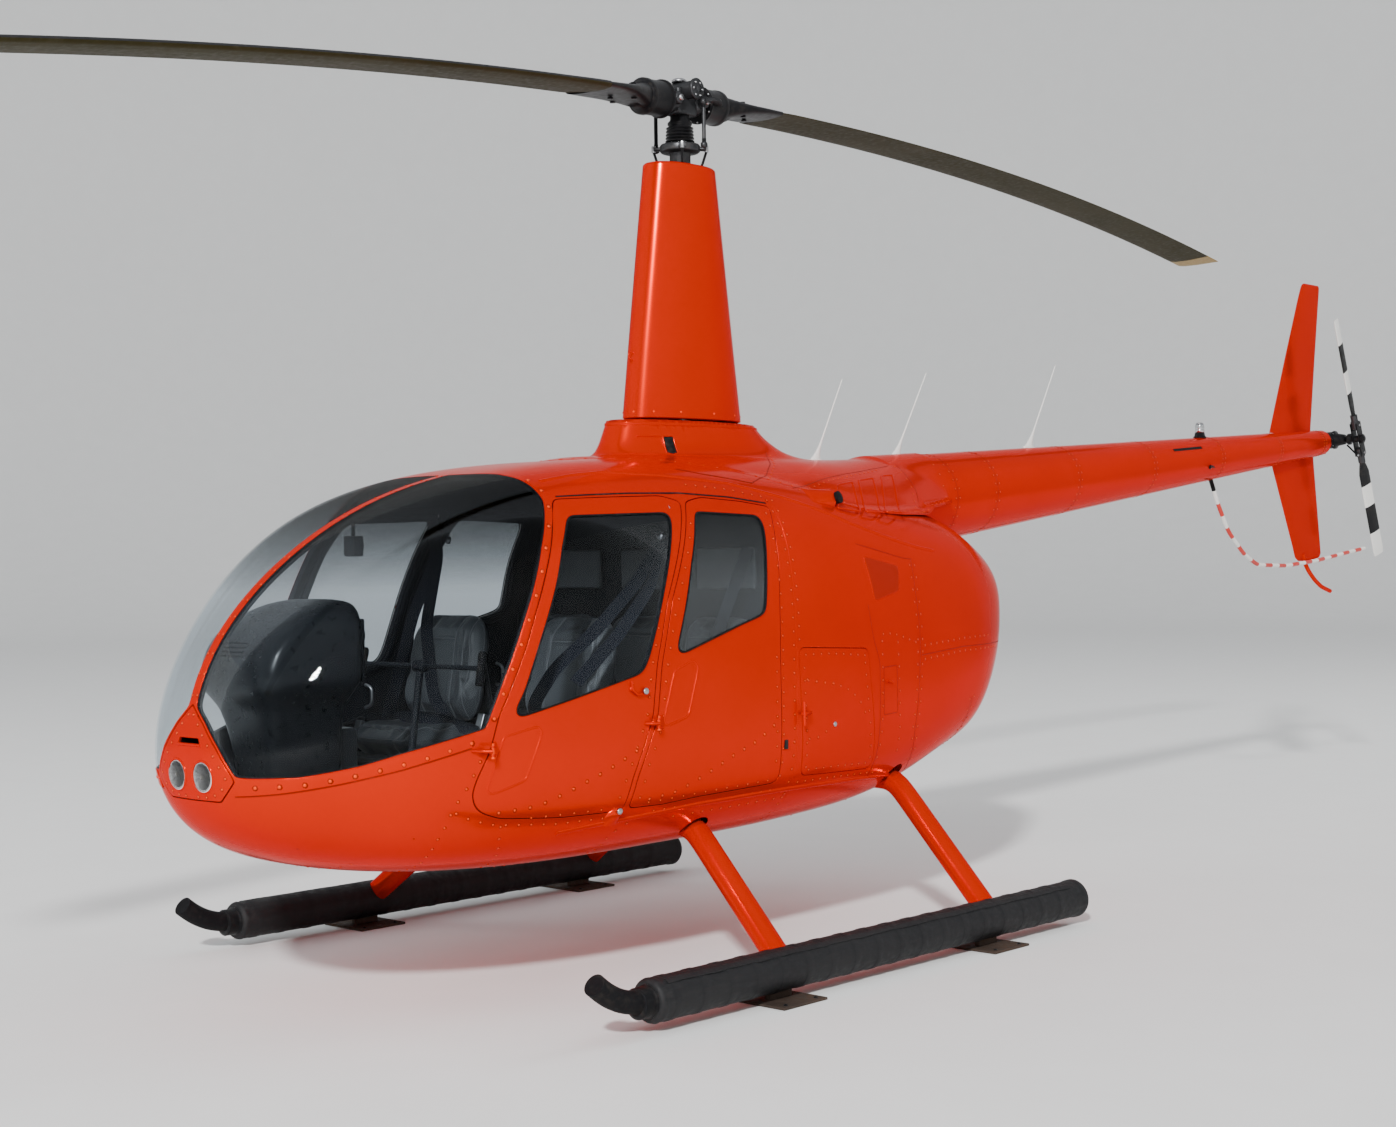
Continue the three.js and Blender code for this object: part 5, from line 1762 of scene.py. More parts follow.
    def _inside(self) -> list[Part]:
        """Trim panel, armrest and inner handle.

        Returns:
            The parts.
        """
        skin, window = self.hull.skin, self.hull.windows[self.row]
        back = -0.040
        ring = skin.inset(window, -0.020)
        rail = sweep(ring - skin.normal(ring) * 0.026, circle(0.009, 10) * [1.6, 0.8], skin.normal(ring),
                     closed=True, material=Coat.TRIM)
        low, high = (-1.46, -1.12) if self.row == "front" else (-0.80, -0.42)
        line = skin.line([(low, 0.83 if self.row == "front" else 0.90),
                          (high, 0.90 if self.row == "front" else 0.95)])
        rest = sweep(line + [back, 0, 0], circle(0.028, 16) * [0.9, 0.7], material=Coat.BLACK)
        pull = even([line[-1] + [back + 0.010, 0.02, 0.05], line[-1] + [back - 0.02, 0.03, 0.06],
                     line[-1] + [back - 0.02, 0.03, 0.13], line[-1] + [back + 0.010, 0.02, 0.14]],
                    0.008)
        return [rail, rest, tube(smooth_line(pull, 0.012), 0.007, 10, Coat.STEEL)]


@dataclass
class NosePanel:
    """Plate on the nose with two landing lights and an air slot."""

    hull: Hull
    finishes: Finishes

    lamp_x: float = 0.0715
    lamp_z: float = 0.842
    lamp_radius: float = 0.051
    lamp_depth: float = 0.046
    slot: Array = held(np.array([(-0.060, 0.946), (0.060, 0.946), (0.053, 0.965), (-0.053, 0.965)]))
    # Rivets seen from the front, as (x, z)
    row: Array = held(np.array([
        (0.014, 1.040), (0.045, 1.010), (0.075, 0.972), (0.115, 0.930), (0.160, 0.872), (0.184, 0.835),
        (0.150, 0.796), (0.100, 0.775), (0.035, 0.774),
    ]))

    def build(self) -> None:
        """Makes the plate, and the lights behind it."""
        f, skin, lines = self.finishes, self.hull.skin, self.hull.lines
        half = self.hull.nose_line(-0.0015)
        whole = np.vstack([half, half[-2:0:-1] * [-1, 1, 1]])[:, [0, 2]]
        holes = [circle(self.lamp_radius, 56) + [sign * self.lamp_x, self.lamp_z] for sign in (1, -1)]
        slot = smooth_loop(self.slot, 0.003, 0.003)
        plane, faces = triangulate([whole, *holes, slot], 0.014)
        points, normals = skin.pressed(plane)
        piece = Builder("nose_plate", "airframe", f.skin, ("nose_panel",), "orange_paint")
        piece.add(slab(points, normals, faces, 0.010, 0.001))
        for hole in holes:
            rim = skin.from_front(hole)
            piece.add(lines.ring(rim, 0.009, 0.0035))
            well = np.stack([rim, rim + [0, 0.050, 0]])
            piece.add([grid(well, wrap=True, material=Coat.RUBBER_AND_SHADE),
                       grid(well[::-1], wrap=True, material=Coat.RUBBER_AND_SHADE)])
        # black lining and floor behind the air slot: painted shade of the opening
        mouth = skin.from_front(slot)
        duct = np.stack([mouth + [0, 0.004, 0], mouth + [0, 0.06, -0.004]])
        floor = fan(duct[1], 2)
        piece.add([grid(duct, wrap=True, material=Coat.RUBBER_AND_SHADE),
                   grid(duct[::-1], wrap=True, material=Coat.RUBBER_AND_SHADE), floor, floor.flipped()])
        lip = skin.from_front(even([(-0.066, 0.943), (0.066, 0.943)], 0.006))
        piece.add(lines.bead(lip, 0.010, 0.006))
        row = skin.from_front(even(smooth_line(self.row, 0.01), 0.01))
        piece.add(lines.rivets(row, 0.042, 0.0042), both_sides=True)
        piece.build()
        self._lamps()

    def _lamps(self) -> None:
        """Makes both lights: a faceted mirror, a bulb, a ring and a lens, square to the skin."""
        f, r = self.finishes, self.lamp_radius - 0.0035
        piece = Builder("landing_light_units", "airframe",
                        [f.chrome, f.black_metal, f.lamp_glass, f.lens_glass],
                        ("landing_lights",), "lamp_chrome")
        for sign in (1, -1):
            face = self.hull.skin.from_front(np.array([[self.lamp_x, self.lamp_z]]))[0]
            out = self.hull.skin.normal(face[None])[0]
            ahead = unit(out + [0, -0.35, 0]) * [sign, 1, 1]
            middle = face * [sign, 1, 1] - ahead * 0.001
            right = unit(np.cross(ahead, [0.0, 0.0, 1.0]))
            up = np.cross(right, ahead)
            rho, a = np.meshgrid(np.linspace(0.05, 1, 20), np.linspace(0, 2 * math.pi, 96, endpoint=False),
                                 indexing="ij")
            x, z = rho * np.cos(a) * r, rho * np.sin(a) * r
            ribs = 0.0010 * np.abs(np.sin(x / r * 7.5))
            deep = -(self.lamp_depth * (1 - rho ** 2) * 0.42 + 0.002 + ribs)
            bowl = middle + x[..., None] * right + z[..., None] * up + deep[..., None] * ahead
            inside = grid(bowl, wrap=True)
            if (inside.shaded() @ ahead).mean() < 0:
                inside = inside.flipped()
            back = Patch(inside.points - ahead * 0.002, inside.faces[:, ::-1], None, 1)
            piece.add([inside], [back])
            lens = [(0.0, 0.0045), (r * 0.6, 0.0035), (r * 0.9, 0.0018), (r, 0.0), (r, -0.003), (0.0, 0.0)]
            piece.add(revolve(lens, middle, ahead, 48, 2))
            bulb = [(0.0, 0.026), (0.007, 0.024), (0.011, 0.018), (0.011, 0.010), (0.008, 0.0), (0.0, 0.0)]
            piece.add(revolve(bulb, middle - ahead * self.lamp_depth * 0.42, ahead, 20, 3))
            ring = [(r - 0.001, 0.0015), (r + 0.002, 0.0025), (r + 0.004, 0.0005), (r + 0.004, -0.012),
                    (r - 0.001, -0.012),
                    (r - 0.001, 0.0015)]
            piece.add(revolve(ring, middle, ahead, 48, 0))
        piece.build()


@dataclass
class Windshield:
    """The two panes ahead of the cabin."""

    hull: Hull
    finishes: Finishes

    edge: float = 0.003
    glass: float = 0.006

    def build(self) -> None:
        """Makes both panes."""
        skin = self.hull.skin
        loop = skin.inset(self.hull.windshield, self.edge)
        pane = slab(*skin.mesh([loop], 0.03), self.glass, 0.0006, 0)
        for side in ("port", "starboard"):
            part = pane if side == "port" else [patch.mirrored() for patch in pane]
            piece = Builder(f"windshield_{side}_pane", "airframe", [self.finishes.glass],
                            (f"windshield_{side}",),
                            "clear_glazing")
            piece.add(part).build()


@dataclass
class AftBody:
    """Fixed skin behind the bulkhead, with the exhaust pipe's hole and the baggage door's."""

    hull: Hull
    finishes: Finishes

    pipe: Array = held(np.array([(0.0, 1.56, 1.000), (0.0, 1.85, 0.905)]))
    pipe_radius: float = 0.085
    pipe_clearance: float = 0.012
    # Seen from the side, as (station, height)
    seams: tuple = (
        ((0.283, 1.571), (0.454, 1.540), (0.627, 1.508), (0.690, 1.505)),
        ((0.300, 1.330), (0.325, 1.200), (0.372, 1.100), (0.372, 0.900), (0.372, 0.720), (0.360, 0.640)),
        ((0.677, 1.500), (0.667, 1.378), (0.682, 1.213), (0.683, 1.131), (0.667, 0.951), (0.650, 0.804),
         (0.688, 0.665), (0.726, 0.620)),
        ((0.694, 1.110), (1.039, 1.129), (1.400, 1.130), (1.560, 1.128)),
    )
    rows: tuple = (
        ((-0.162, 1.740), (-0.162, 1.500), (-0.162, 1.300), (-0.162, 1.21)),
        ((0.390, 1.180), (0.392, 1.044), (0.390, 0.901), (0.386, 0.749), (0.376, 0.667)),
        ((0.508, 1.171), (0.519, 0.993), (0.520, 0.895), (0.532, 0.730)),
        ((0.660, 1.480), (0.650, 1.378), (0.664, 1.213), (0.664, 1.131), (0.650, 0.951), (0.632, 0.804),
         (0.668, 0.680)),
        ((0.700, 1.480), (0.686, 1.378), (0.700, 1.213), (0.702, 1.131), (0.686, 0.951), (0.670, 0.804),
         (0.704, 0.680)),
        ((0.400, 1.209), (0.473, 1.209), (0.593, 1.180), (0.647, 1.165)),
        ((0.720, 1.092), (1.039, 1.112), (1.400, 1.114)),
        ((0.720, 1.150), (1.039, 1.165), (1.300, 1.168)),
        ((-0.140, 0.664), (0.009, 0.664), (0.315, 0.656), (0.531, 0.642)),
    )
    fold: tuple = ((-0.18, 0.642), (0.009, 0.640), (0.315, 0.634), (0.531, 0.624), (0.660, 0.612))
    lip: tuple = (
        (-0.180, 1.773), (-0.065, 1.752), (0.072, 1.720), (0.190, 1.690), (0.275, 1.664), (0.389, 1.634),
        (0.529, 1.602), (0.638, 1.578), (0.760, 1.556), (0.900, 1.538),
    )
    trapezoid: tuple = ((0.316, 1.521), (0.565, 1.480), (0.540, 1.378), (0.353, 1.341))
    hatch: tuple = ((0.400, 1.075), (0.498, 1.078), (0.502, 0.888), (0.400, 0.884))
    handle: tuple = (0.429, 1.016)

    def _half(self, holes: list[Array]) -> tuple[Array, Array, Array]:
        """Port half of the outer face, with holes.

        Args:
            holes: closed lines on the skin.

        Returns:
            Points, normals and triangles.
        """
        skin = self.hull.skin
        along = unit(self.pipe[1] - self.pipe[0])
        across = np.cross(along, [1.0, 0.0, 0.0])
        turn = np.linspace(-math.pi / 2, math.pi / 2, 33)[:, None]
        wide = self.pipe_radius + self.pipe_clearance
        start = self.pipe[0] + wide * (np.cos(turn) * [1.0, 0.0, 0.0] + np.sin(turn) * across)
        hole = skin.hit(start, along, 0.6)
        if hole[0, 1] > hole[-1, 1]:
            hole = hole[::-1]
        front, back, tail = hole[0, 1], hole[-1, 1], skin.run_at[-1]
        below = skin.keel(0.0, BULKHEAD_Y, front, False)[:-1]
        past = skin.keel(0.0, back, tail, False, 0.01)[1:]
        end = np.stack([np.full(60, skin.run[-1]), np.linspace(-1, 1, 60) * math.pi / 2 * skin.around], -1)
        roof = skin.keel(0.0, BULKHEAD_Y, tail, True)[::-1]
        edge = skin.ring(BULKHEAD_Y, -90, 90)[::-1][1:-1]
        plane = np.vstack([skin.unrolled(below), skin.unrolled(hole), skin.unrolled(past)[:-1], end,
                           skin.unrolled(roof)[1:], skin.unrolled(edge)])
        strut = self.hull.strut_port(*LandingGear.struts[1][1:4], CabinShell.strut_port)
        flat, faces = triangulate([plane, *[skin.unrolled(h) for h in (*holes, strut)]], 0.028)
        points, normals = skin.rolled(flat)
        points[np.abs(points[:, 0]) < 2e-5, 0] = 0.0
        return points, normals, faces

    def build(self) -> None:
        """Makes the shell and the exhaust pipe."""
        f, skin, lines = self.finishes, self.hull.skin, self.hull.lines
        port = self._half([skin.inset(self.hull.baggage, -DOOR_GAP / 2)])
        piece = Builder("aft_shell", "airframe", f.skin, ("aft_body_shell",), "orange_paint")
        piece.add(slab(*joined(port, reflected(self._half([]))), WALL, wall=Coat.ORANGE))
        for seam in self.seams:
            piece.add(lines.seam(skin.line(seam, 0.02)), both_sides=True)
        for row in self.rows:
            piece.add(lines.rivets(skin.line(row), 0.05, 0.0044), both_sides=True)
        trapezoid = skin.loop(self.trapezoid, 0.012)
        piece.add(
            lines.bead(skin.line(self.fold), 0.020, 0.0045),
            lines.bead(skin.line(self.lip), 0.016, 0.0045),
            plate(skin.mesh([trapezoid], 0.02), 0.001, material=Coat.PANEL),
            lines.ring(trapezoid, 0.005, 0.0016),
            lines.ring(skin.loop(self.hatch, 0.005), 0.003, 0.0008, Coat.SEAM_AND_SHADOW), both_sides=True)
        collar = self.hull.strut_collar(LandingGear.struts[1], CabinShell.strut_port)
        piece.add(collar, *self._handle(), both_sides=True)
        for y in (0.10, 0.45, 0.85):
            piece.add(lines.rivets(skin.ring(y, -90, -48), 0.055, 0.0044), both_sides=True)
        piece.add(lines.seam(skin.ring(1.15, -88, -20)),
                  lines.rivets(skin.ring(1.17, -88, -20), 0.05, 0.0042),
                  lines.rivets(skin.ring(1.13, -88, -20), 0.05, 0.0042), both_sides=True)
        piece.build()
        along = unit(self.pipe[1] - self.pipe[0])
        length = np.linalg.norm(self.pipe[1] - self.pipe[0])
        r = self.pipe_radius
        profile = [(r - 0.006, 0.0), (r, 0.0), (r, 0.0), (r, length - 0.004), (r - 0.001, length - 0.001),
                   (r - 0.003, length), (r - 0.005, length - 0.001), (r - 0.006, length - 0.004),
                   (r - 0.006, 0.0)]
        pipe = Builder("exhaust", "airframe", [f.burnt], ("exhaust_pipe",), "bare_steel")
        pipe.add(revolve(profile, self.pipe[0], along, 48)).build()

    def _handle(self) -> list[Part]:
        """T handle of the side hatch.

        Returns:
            The parts.
        """
        at = self.hull.skin.from_side([self.handle])[0]
        stem = revolve([(0.0, -0.002), (0.006, -0.002), (0.006, 0.012), (0.0, 0.013)], at, [1, 0, 0], 14)
        bar = np.array([at + [0.012, -0.014, 0.004], at + [0.014, 0.0, 0.001], at + [0.012, 0.015, -0.006]])
        return [stem, tube(smooth_line(bar, 0.004, 0.003), 0.0052, 12)]


@dataclass
class BaggageDoor:
    """The hinged panel of the baggage bay."""

    hull: Hull
    finishes: Finishes

    # Rivet rows seen from the side, as (station, height)
    rows: tuple = (
        ((-0.125, 1.150), (0.000, 1.150), (0.150, 1.140), (0.262, 1.130)),
        ((-0.135, 1.100), (-0.128, 0.950), (-0.118, 0.800), (-0.110, 0.720)),
        ((0.265, 1.100), (0.285, 0.950), (0.310, 0.800), (0.325, 0.720)),
        ((-0.090, 0.708), (0.100, 0.706), (0.300, 0.698)),
        ((-0.118, 1.056), (-0.040, 1.040), (0.050, 1.030)),
        ((-0.110, 1.052), (0.060, 1.030), (0.157, 0.999), (0.225, 0.955), (0.262, 0.905)),
        ((-0.105, 0.828), (-0.034, 0.831), (0.049, 0.874)),
    )
    lock: tuple = (0.056, 0.873)

    def build(self) -> None:
        """Makes the panel."""
        f, skin, lines = self.finishes, self.hull.skin, self.hull.lines
        edge = skin.inset(self.hull.baggage, DOOR_GAP / 5)
        piece = Builder("baggage_leaf", "baggage_door", f.skin, ("baggage_door",), "orange_paint")
        piece.add(slab(*skin.mesh([edge], 0.02), 0.02, wall=Coat.ORANGE))
        for row in self.rows:
            piece.add(lines.rivets(skin.line(row), 0.05, 0.0042))
        at = skin.from_side([self.lock])[0]
        piece.add(revolve([(0.0, -0.002), (0.010, -0.002), (0.010, 0.002), (0.008, 0.0035),
                           (0.0, 0.0035)], at,
                          [1, 0, 0], 20, Coat.STEEL))
        hinge = HINGES["baggage"]
        pin = np.array([hinge.x, hinge.y, hinge.z])
        start = skin.from_side([[hinge.y + 0.055, hinge.z]])[0]
        arm = np.array([[-0.006, -0.014], [0.006, -0.014], [0.006, 0.014], [-0.006, 0.014]])
        piece.add(sweep(even([start + [-0.003, 0, 0], pin + [0, 0.008, 0], pin + [0, -0.003, 0]],
                             0.006), arm[:, ::-1]))
        piece.add(tube(even([pin + [0, 0, -0.045], pin + [0, 0, 0.045]], 0.01), 0.006, 12))
        piece.build()


def softer_max(a: Array, b: Array, reach: float) -> Array:
    """The larger of two heights, with a fillet where they differ by less than the reach."""
    near = np.clip(reach - np.abs(a - b), 0, None)
    return np.maximum(a, b) + near * near / (4 * reach)


@dataclass
class MastCowling:
    """Deck round the mast, plinth under the mast fairing, and the fillet onto the tail cone.

    Its height over a place in the plan is the larger, with fillets, of the roof, the deck (a
    super-ellipse at each station), the plinth (a super-ellipse in the plan at each level) and the cone.
    """

    hull: Hull
    finishes: Finishes

    # Deck: station, half width, base, top, power
    deck: Array = held(np.array([
        (-0.64, 0.25, 1.80, 1.905, 2.2), (-0.42, 0.36, 1.76, 1.930, 2.3), (0.0, 0.50, 1.66, 1.945, 2.4),
        (0.40, 0.56, 1.56, 1.945, 2.3), (0.84, 0.50, 1.50, 1.938, 2.2), (1.20, 0.38, 1.50, 1.955, 2.1),
        (1.56, 0.25, 1.54, 1.978, 2.0),
    ]))
    # Plinth: level, front, back, half width
    plinth: Array = held(np.array([
        (1.70, -0.680, 1.00, 0.340), (1.840, -0.520, 0.820, 0.260), (1.905, -0.478, 0.700, 0.215),
        (1.960, -0.448, 0.560, 0.180), (2.020, -0.425, 0.440, 0.158), (2.072, -0.405, 0.385, 0.145),
    ]))
    plinth_power: float = 2.4
    top: float = 2.072
    edge: Array = held(np.array([
        (0.0, -0.700), (0.12, -0.690), (0.22, -0.655), (0.33, -0.50), (0.43, -0.25), (0.50, 0.0),
        (0.545, 0.30), (0.545, 0.55), (0.50, 0.84), (0.42, 1.10), (0.35, 1.32), (0.27, 1.50),
        (0.20, 1.545), (0.0, 1.555),
    ]))
    lap: float = 0.0009
    mast_hole: float = 0.060
    flange_z: float = 2.055
    # Pressed panels: two upper corners in the plan (x, y), two lower ones on the hull (y, z), back to front
    panels: tuple = (
        (((0.446, 0.438), (0.396, 0.605)), ((0.421, 1.679), (0.267, 1.706))),
        (((0.371, 0.677), (0.321, 0.842)), ((0.572, 1.654), (0.453, 1.666))),
        (((0.282, 0.949), (0.254, 1.064)), ((0.722, 1.630), (0.606, 1.650))),
    )
    # In the plan, as (x, y)
    seams: tuple = (
        ((0.525, 0.066), (0.376, 0.521), (0.227, 0.956), (0.170, 1.146)),
        ((0.491, -0.569), (0.522, -0.459), (0.542, -0.198)),
        ((0.156, 1.222), (0.294, 1.184), (0.349, 1.131), (0.600, 0.867)),
        ((0.174, 0.313), (0.319, 0.172), (0.448, -0.006), (0.542, -0.198)),
    )
    rows: tuple = (
        ((0.530, 0.100), (0.385, 0.540), (0.236, 0.975)),
        ((0.170, 1.195), (0.290, 1.158), (0.340, 1.105), (0.570, 0.870)),
        ((0.190, 0.320), (0.335, 0.180), (0.460, 0.006)),
    )

    def __post_init__(self) -> None:
        """Works out what the sizes give."""
        self.fine = [self._fine(self.deck, 0.03, 0.11), self._fine(self.plinth, 0.004, 0.02)]

    @staticmethod
    def _fine(table: Array, step: float, blur: float) -> Array:
        """A table's columns on even steps of the first one, with the corners blurred.

        Args:
            table: rows whose first number rises.
            step: of the first column.
            blur: reach of the rounding along the line.

        Returns:
            The finer table.
        """
        at = np.arange(table[0, 0], table[-1, 0] + step / 2, step)
        reach = int(3 * blur / step)
        kernel = np.exp(-0.5 * (np.arange(-reach, reach + 1) * step / blur) ** 2)
        kernel /= kernel.sum()
        rows = [at]
        for k in range(1, table.shape[1]):
            column = np.pad(np.interp(at, table[:, 0], table[:, k]), reach, mode="reflect",
                            reflect_type="odd")
            rows.append(np.convolve(column, kernel, "valid"))
        return np.stack(rows)

    def height(self, xy: Array) -> Array:
        """Height of the cowling's outer face over plan points (x, y).

        Args:
            xy: rows of x and station.

        Returns:
            Levels of the outer face.
        """
        x, y = np.abs(xy[..., 0]), xy[..., 1]
        deck, plinth = self.fine
        half, base, top, power = [np.interp(y, deck[0], deck[k]) for k in range(1, 5)]
        t = np.clip(x / half, 0, 1)
        z = base + (top - base) * (1 - t ** power) ** (1 / power) - np.clip(x / half - 1, 0, None) * 0.8
        z = z - np.clip(deck[0][0] - y, 0, None) * 0.5
        low, high = np.full(x.shape, plinth[0][0]), np.full(x.shape, self.top)
        for _ in range(22):
            mid = (low + high) / 2
            front, back, wide = [np.interp(mid, plinth[0], plinth[k]) for k in (1, 2, 3)]
            reach = (x / wide) ** self.plinth_power
            reach = reach + (np.abs(y - (front + back) / 2) / ((back - front) / 2)) ** self.plinth_power
            low, high = np.where(reach < 1, mid, low), np.where(reach < 1, high, mid)
        hull = self.hull.skin.from_above(xy)[..., 2] + self.lap
        cone = TailBoom.radius(y) ** 2 - x * x
        cone = np.where(y > 0.9, TailBoom.middle(y) + np.sqrt(np.clip(cone, 1e-6, None)) + self.lap, 0)
        z = softer_max(z, hull, 0.05)
        z = softer_max(z, cone - np.clip(1.18 - y, 0, None) * 0.6, 0.04)
        return np.minimum(softer_max(z, low, 0.045), self.top)

    def pressed(self, xy: Array) -> tuple[Array, Array]:
        """Surface points and normals over plan points.

        Args:
            xy: rows of x and station.

        Returns:
            Points and unit normals.
        """
        e = 0.002
        z = self.height(xy)
        dx = (self.height(xy + [e, 0]) - self.height(xy - [e, 0])) / (2 * e)
        dy = (self.height(xy + [0, e]) - self.height(xy - [0, e])) / (2 * e)
        return np.stack([xy[:, 0], xy[:, 1], z], -1), unit(np.stack([-dx, -dy, np.ones(len(xy))], -1))

    def build(self) -> None:
        """Makes the cowling."""
        f = self.finishes
        whole = np.vstack([self.edge, self.edge[-2:0:-1] * [-1, 1]])
        loop = smooth_loop(whole, 0.03, 0.012)
        hole = circle(self.mast_hole, 40)
        plane, faces = triangulate([loop, hole], 0.0155)
        points, normals = self.pressed(plane)
        piece = Builder("mast_cowl", "airframe", f.skin, ("mast_cowling",), "orange_paint")
        piece.add(slab(points, normals, faces, 0.012, 0.0006))
        self._details(piece)
        piece.build()

    def _on_top(self, xy: Array) -> Array:
        """Plan points lifted to the outer face."""
        return np.column_stack([xy, self.height(xy)])

    def _normal(self, p: Array) -> Array:
        """Outward direction of the outer face at points on it."""
        return self.pressed(p[:, :2])[1]

    def _details(self, piece: Builder) -> None:
        """Adds seams, pressed panels, rivets, the air scoop and the plinth's inlet.

        Args:
            piece: takes the parts.
        """
        lines, skin = Lines(self._normal), self.hull.skin
        for top, low in self.panels:
            foot = skin.from_side(low)[:, :2]
            loop = self._on_top(smooth_loop(np.vstack([np.array(top), foot]), 0.012))
            piece.add(lines.ring(loop, 0.009, 0.0040), both_sides=True)
        for seam in self.seams:
            piece.add(lines.seam(self._on_top(smooth_line(seam, 0.02, 0.012)), 0.0035), both_sides=True)
        for row in self.rows:
            piece.add(lines.rivets(self._on_top(smooth_line(row, 0.02, 0.012)), 0.055, 0.0046),
                      both_sides=True)
        edge = smooth_loop(np.vstack([self.edge, self.edge[-2:0:-1] * [-1, 1]]) * 0.985, 0.03, 0.012)
        piece.add(lines.rivets(self._on_top(edge), 0.060, 0.0046))
        level = self.flange_z
        front, back, wide = [np.interp(level, self.plinth[:, 0], self.plinth[:, k]) for k in (1, 2, 3)]
        a = np.linspace(0, 2 * math.pi, 160, endpoint=False)
        turn = 2 / self.plinth_power
        x = wide * np.sign(np.cos(a)) * np.abs(np.cos(a)) ** turn
        y = (front + back) / 2 + (back - front) / 2 * np.sign(np.sin(a)) * np.abs(np.sin(a)) ** turn
        rim = np.stack([x, y, np.full(160, level)], -1)
        out = unit((rim - [0, (front + back) / 2, level]) * [1 / wide ** 2, 4 / (back - front) ** 2, 1])
        flange = np.array([(-0.006, -0.002), (0.006, -0.002), (0.006, 0.0015), (0.004, 0.0025),
                           (-0.004, 0.0025), (-0.006, 0.0015)])
        piece.add(sweep(rim, flange, out, closed=True))
        slot = self._on_plinth(even([(-0.272, 1.895), (-0.222, 1.893), (-0.220, 2.006),
                                     (-0.268, 2.004), (-0.272, 1.895)], 0.01))
        out = unit(slot * [1.0, 1.0, 0.0] + [0.0, 0.10, 0.0])
        middle = slot.mean(0)
        # black plate in the inlet slot: painted shade of the opening
        piece.add([Patch(np.vstack([slot + out * 0.006, middle + out.mean(0) * 0.0065]),
                         np.array([(k, (k + 1) % len(slot), len(slot)) for k in range(len(slot))]), None,
                         Coat.RUBBER_AND_SHADE)],
                  both_sides=True)
        rim = Lines(lambda p: unit(p * [1.0, 1.0, 0.0] + [0.0, 0.10, 0.0]))
        piece.add(rim.ring(slot[:-1] + out[:-1] * 0.005, 0.005, 0.003), both_sides=True)
        for low, high in (((-0.372, 2.004), (-0.276, 2.004)), ((-0.340, 1.950), (-0.278, 1.900))):
            line = self._on_plinth(even([low, high], 0.008))
            piece.add(rim.bead(line + unit(line * [1.0, 1.0, 0.0]) * 0.002, 0.006, 0.003), both_sides=True)
        self._scoop(piece)

    def _on_plinth(self, yz: Array) -> Array:
        """Points of the plinth's port side from stations and heights.

        Args:
            yz: rows of station and height.

        Returns:
            Points on the plinth.
        """
        front, back, wide = [np.interp(yz[:, 1], self.fine[1][0], self.fine[1][k]) for k in (1, 2, 3)]
        reach = np.abs(yz[:, 0] - (front + back) / 2) / ((back - front) / 2)
        x = wide * np.clip(1 - reach ** self.plinth_power, 0, 1) ** (1 / self.plinth_power)
        return np.column_stack([x, yz])

    def _scoop(self, piece: Builder) -> None:
        """Air scoop: a half round hood that opens aft on the shoulder of the deck; a black plug in its
        mouth and a black cup beside it are painted shade of the opening.

        Args:
            piece: takes the parts.
        """
        path = self._on_top(even([(0.548, 0.120), (0.545, 0.262)], 0.012))
        out = self._normal(path)
        a = np.linspace(0, math.pi, 17)
        arch = np.stack([np.cos(a) * 0.044, np.sin(a) * 0.040], -1)
        size = np.linspace(0.0, 1.0, len(path)) ** 0.8
        across = unit(np.cross(np.gradient(path, axis=0), out))
        rings = path[:, None] - out[:, None] * 0.003
        rings = rings + arch[None, :, :1] * across[:, None]
        rings = rings + arch[None, :, 1:] * out[:, None] * size[:, None, None]
        hood = grid(rings)
        if (hood.shaded() @ out.mean(0)).mean() < 0:
            hood = hood.flipped()
        mouth = rings[-1]
        # black plug in the mouth: painted shade
        plug = Patch(np.vstack([mouth, mouth.mean(0)]), np.array([(k, k + 1, 17) for k in range(16)]), None,
                     Coat.RUBBER_AND_SHADE)
        piece.add([hood], [plug], [plug.flipped()], both_sides=True)
        # black cup at the mouth: painted shade of the hole
        hole = [(0.0, 0.002), (0.024, 0.002), (0.026, -0.001), (0.024, -0.020), (0.0, -0.020)]
        piece.add(revolve(hole, path[-1] + out[-1] * 0.020 + [0.030, 0.016, -0.006],
                          [0.92, 0.22, 0.32], 24,
                          Coat.RUBBER_AND_SHADE), both_sides=True)


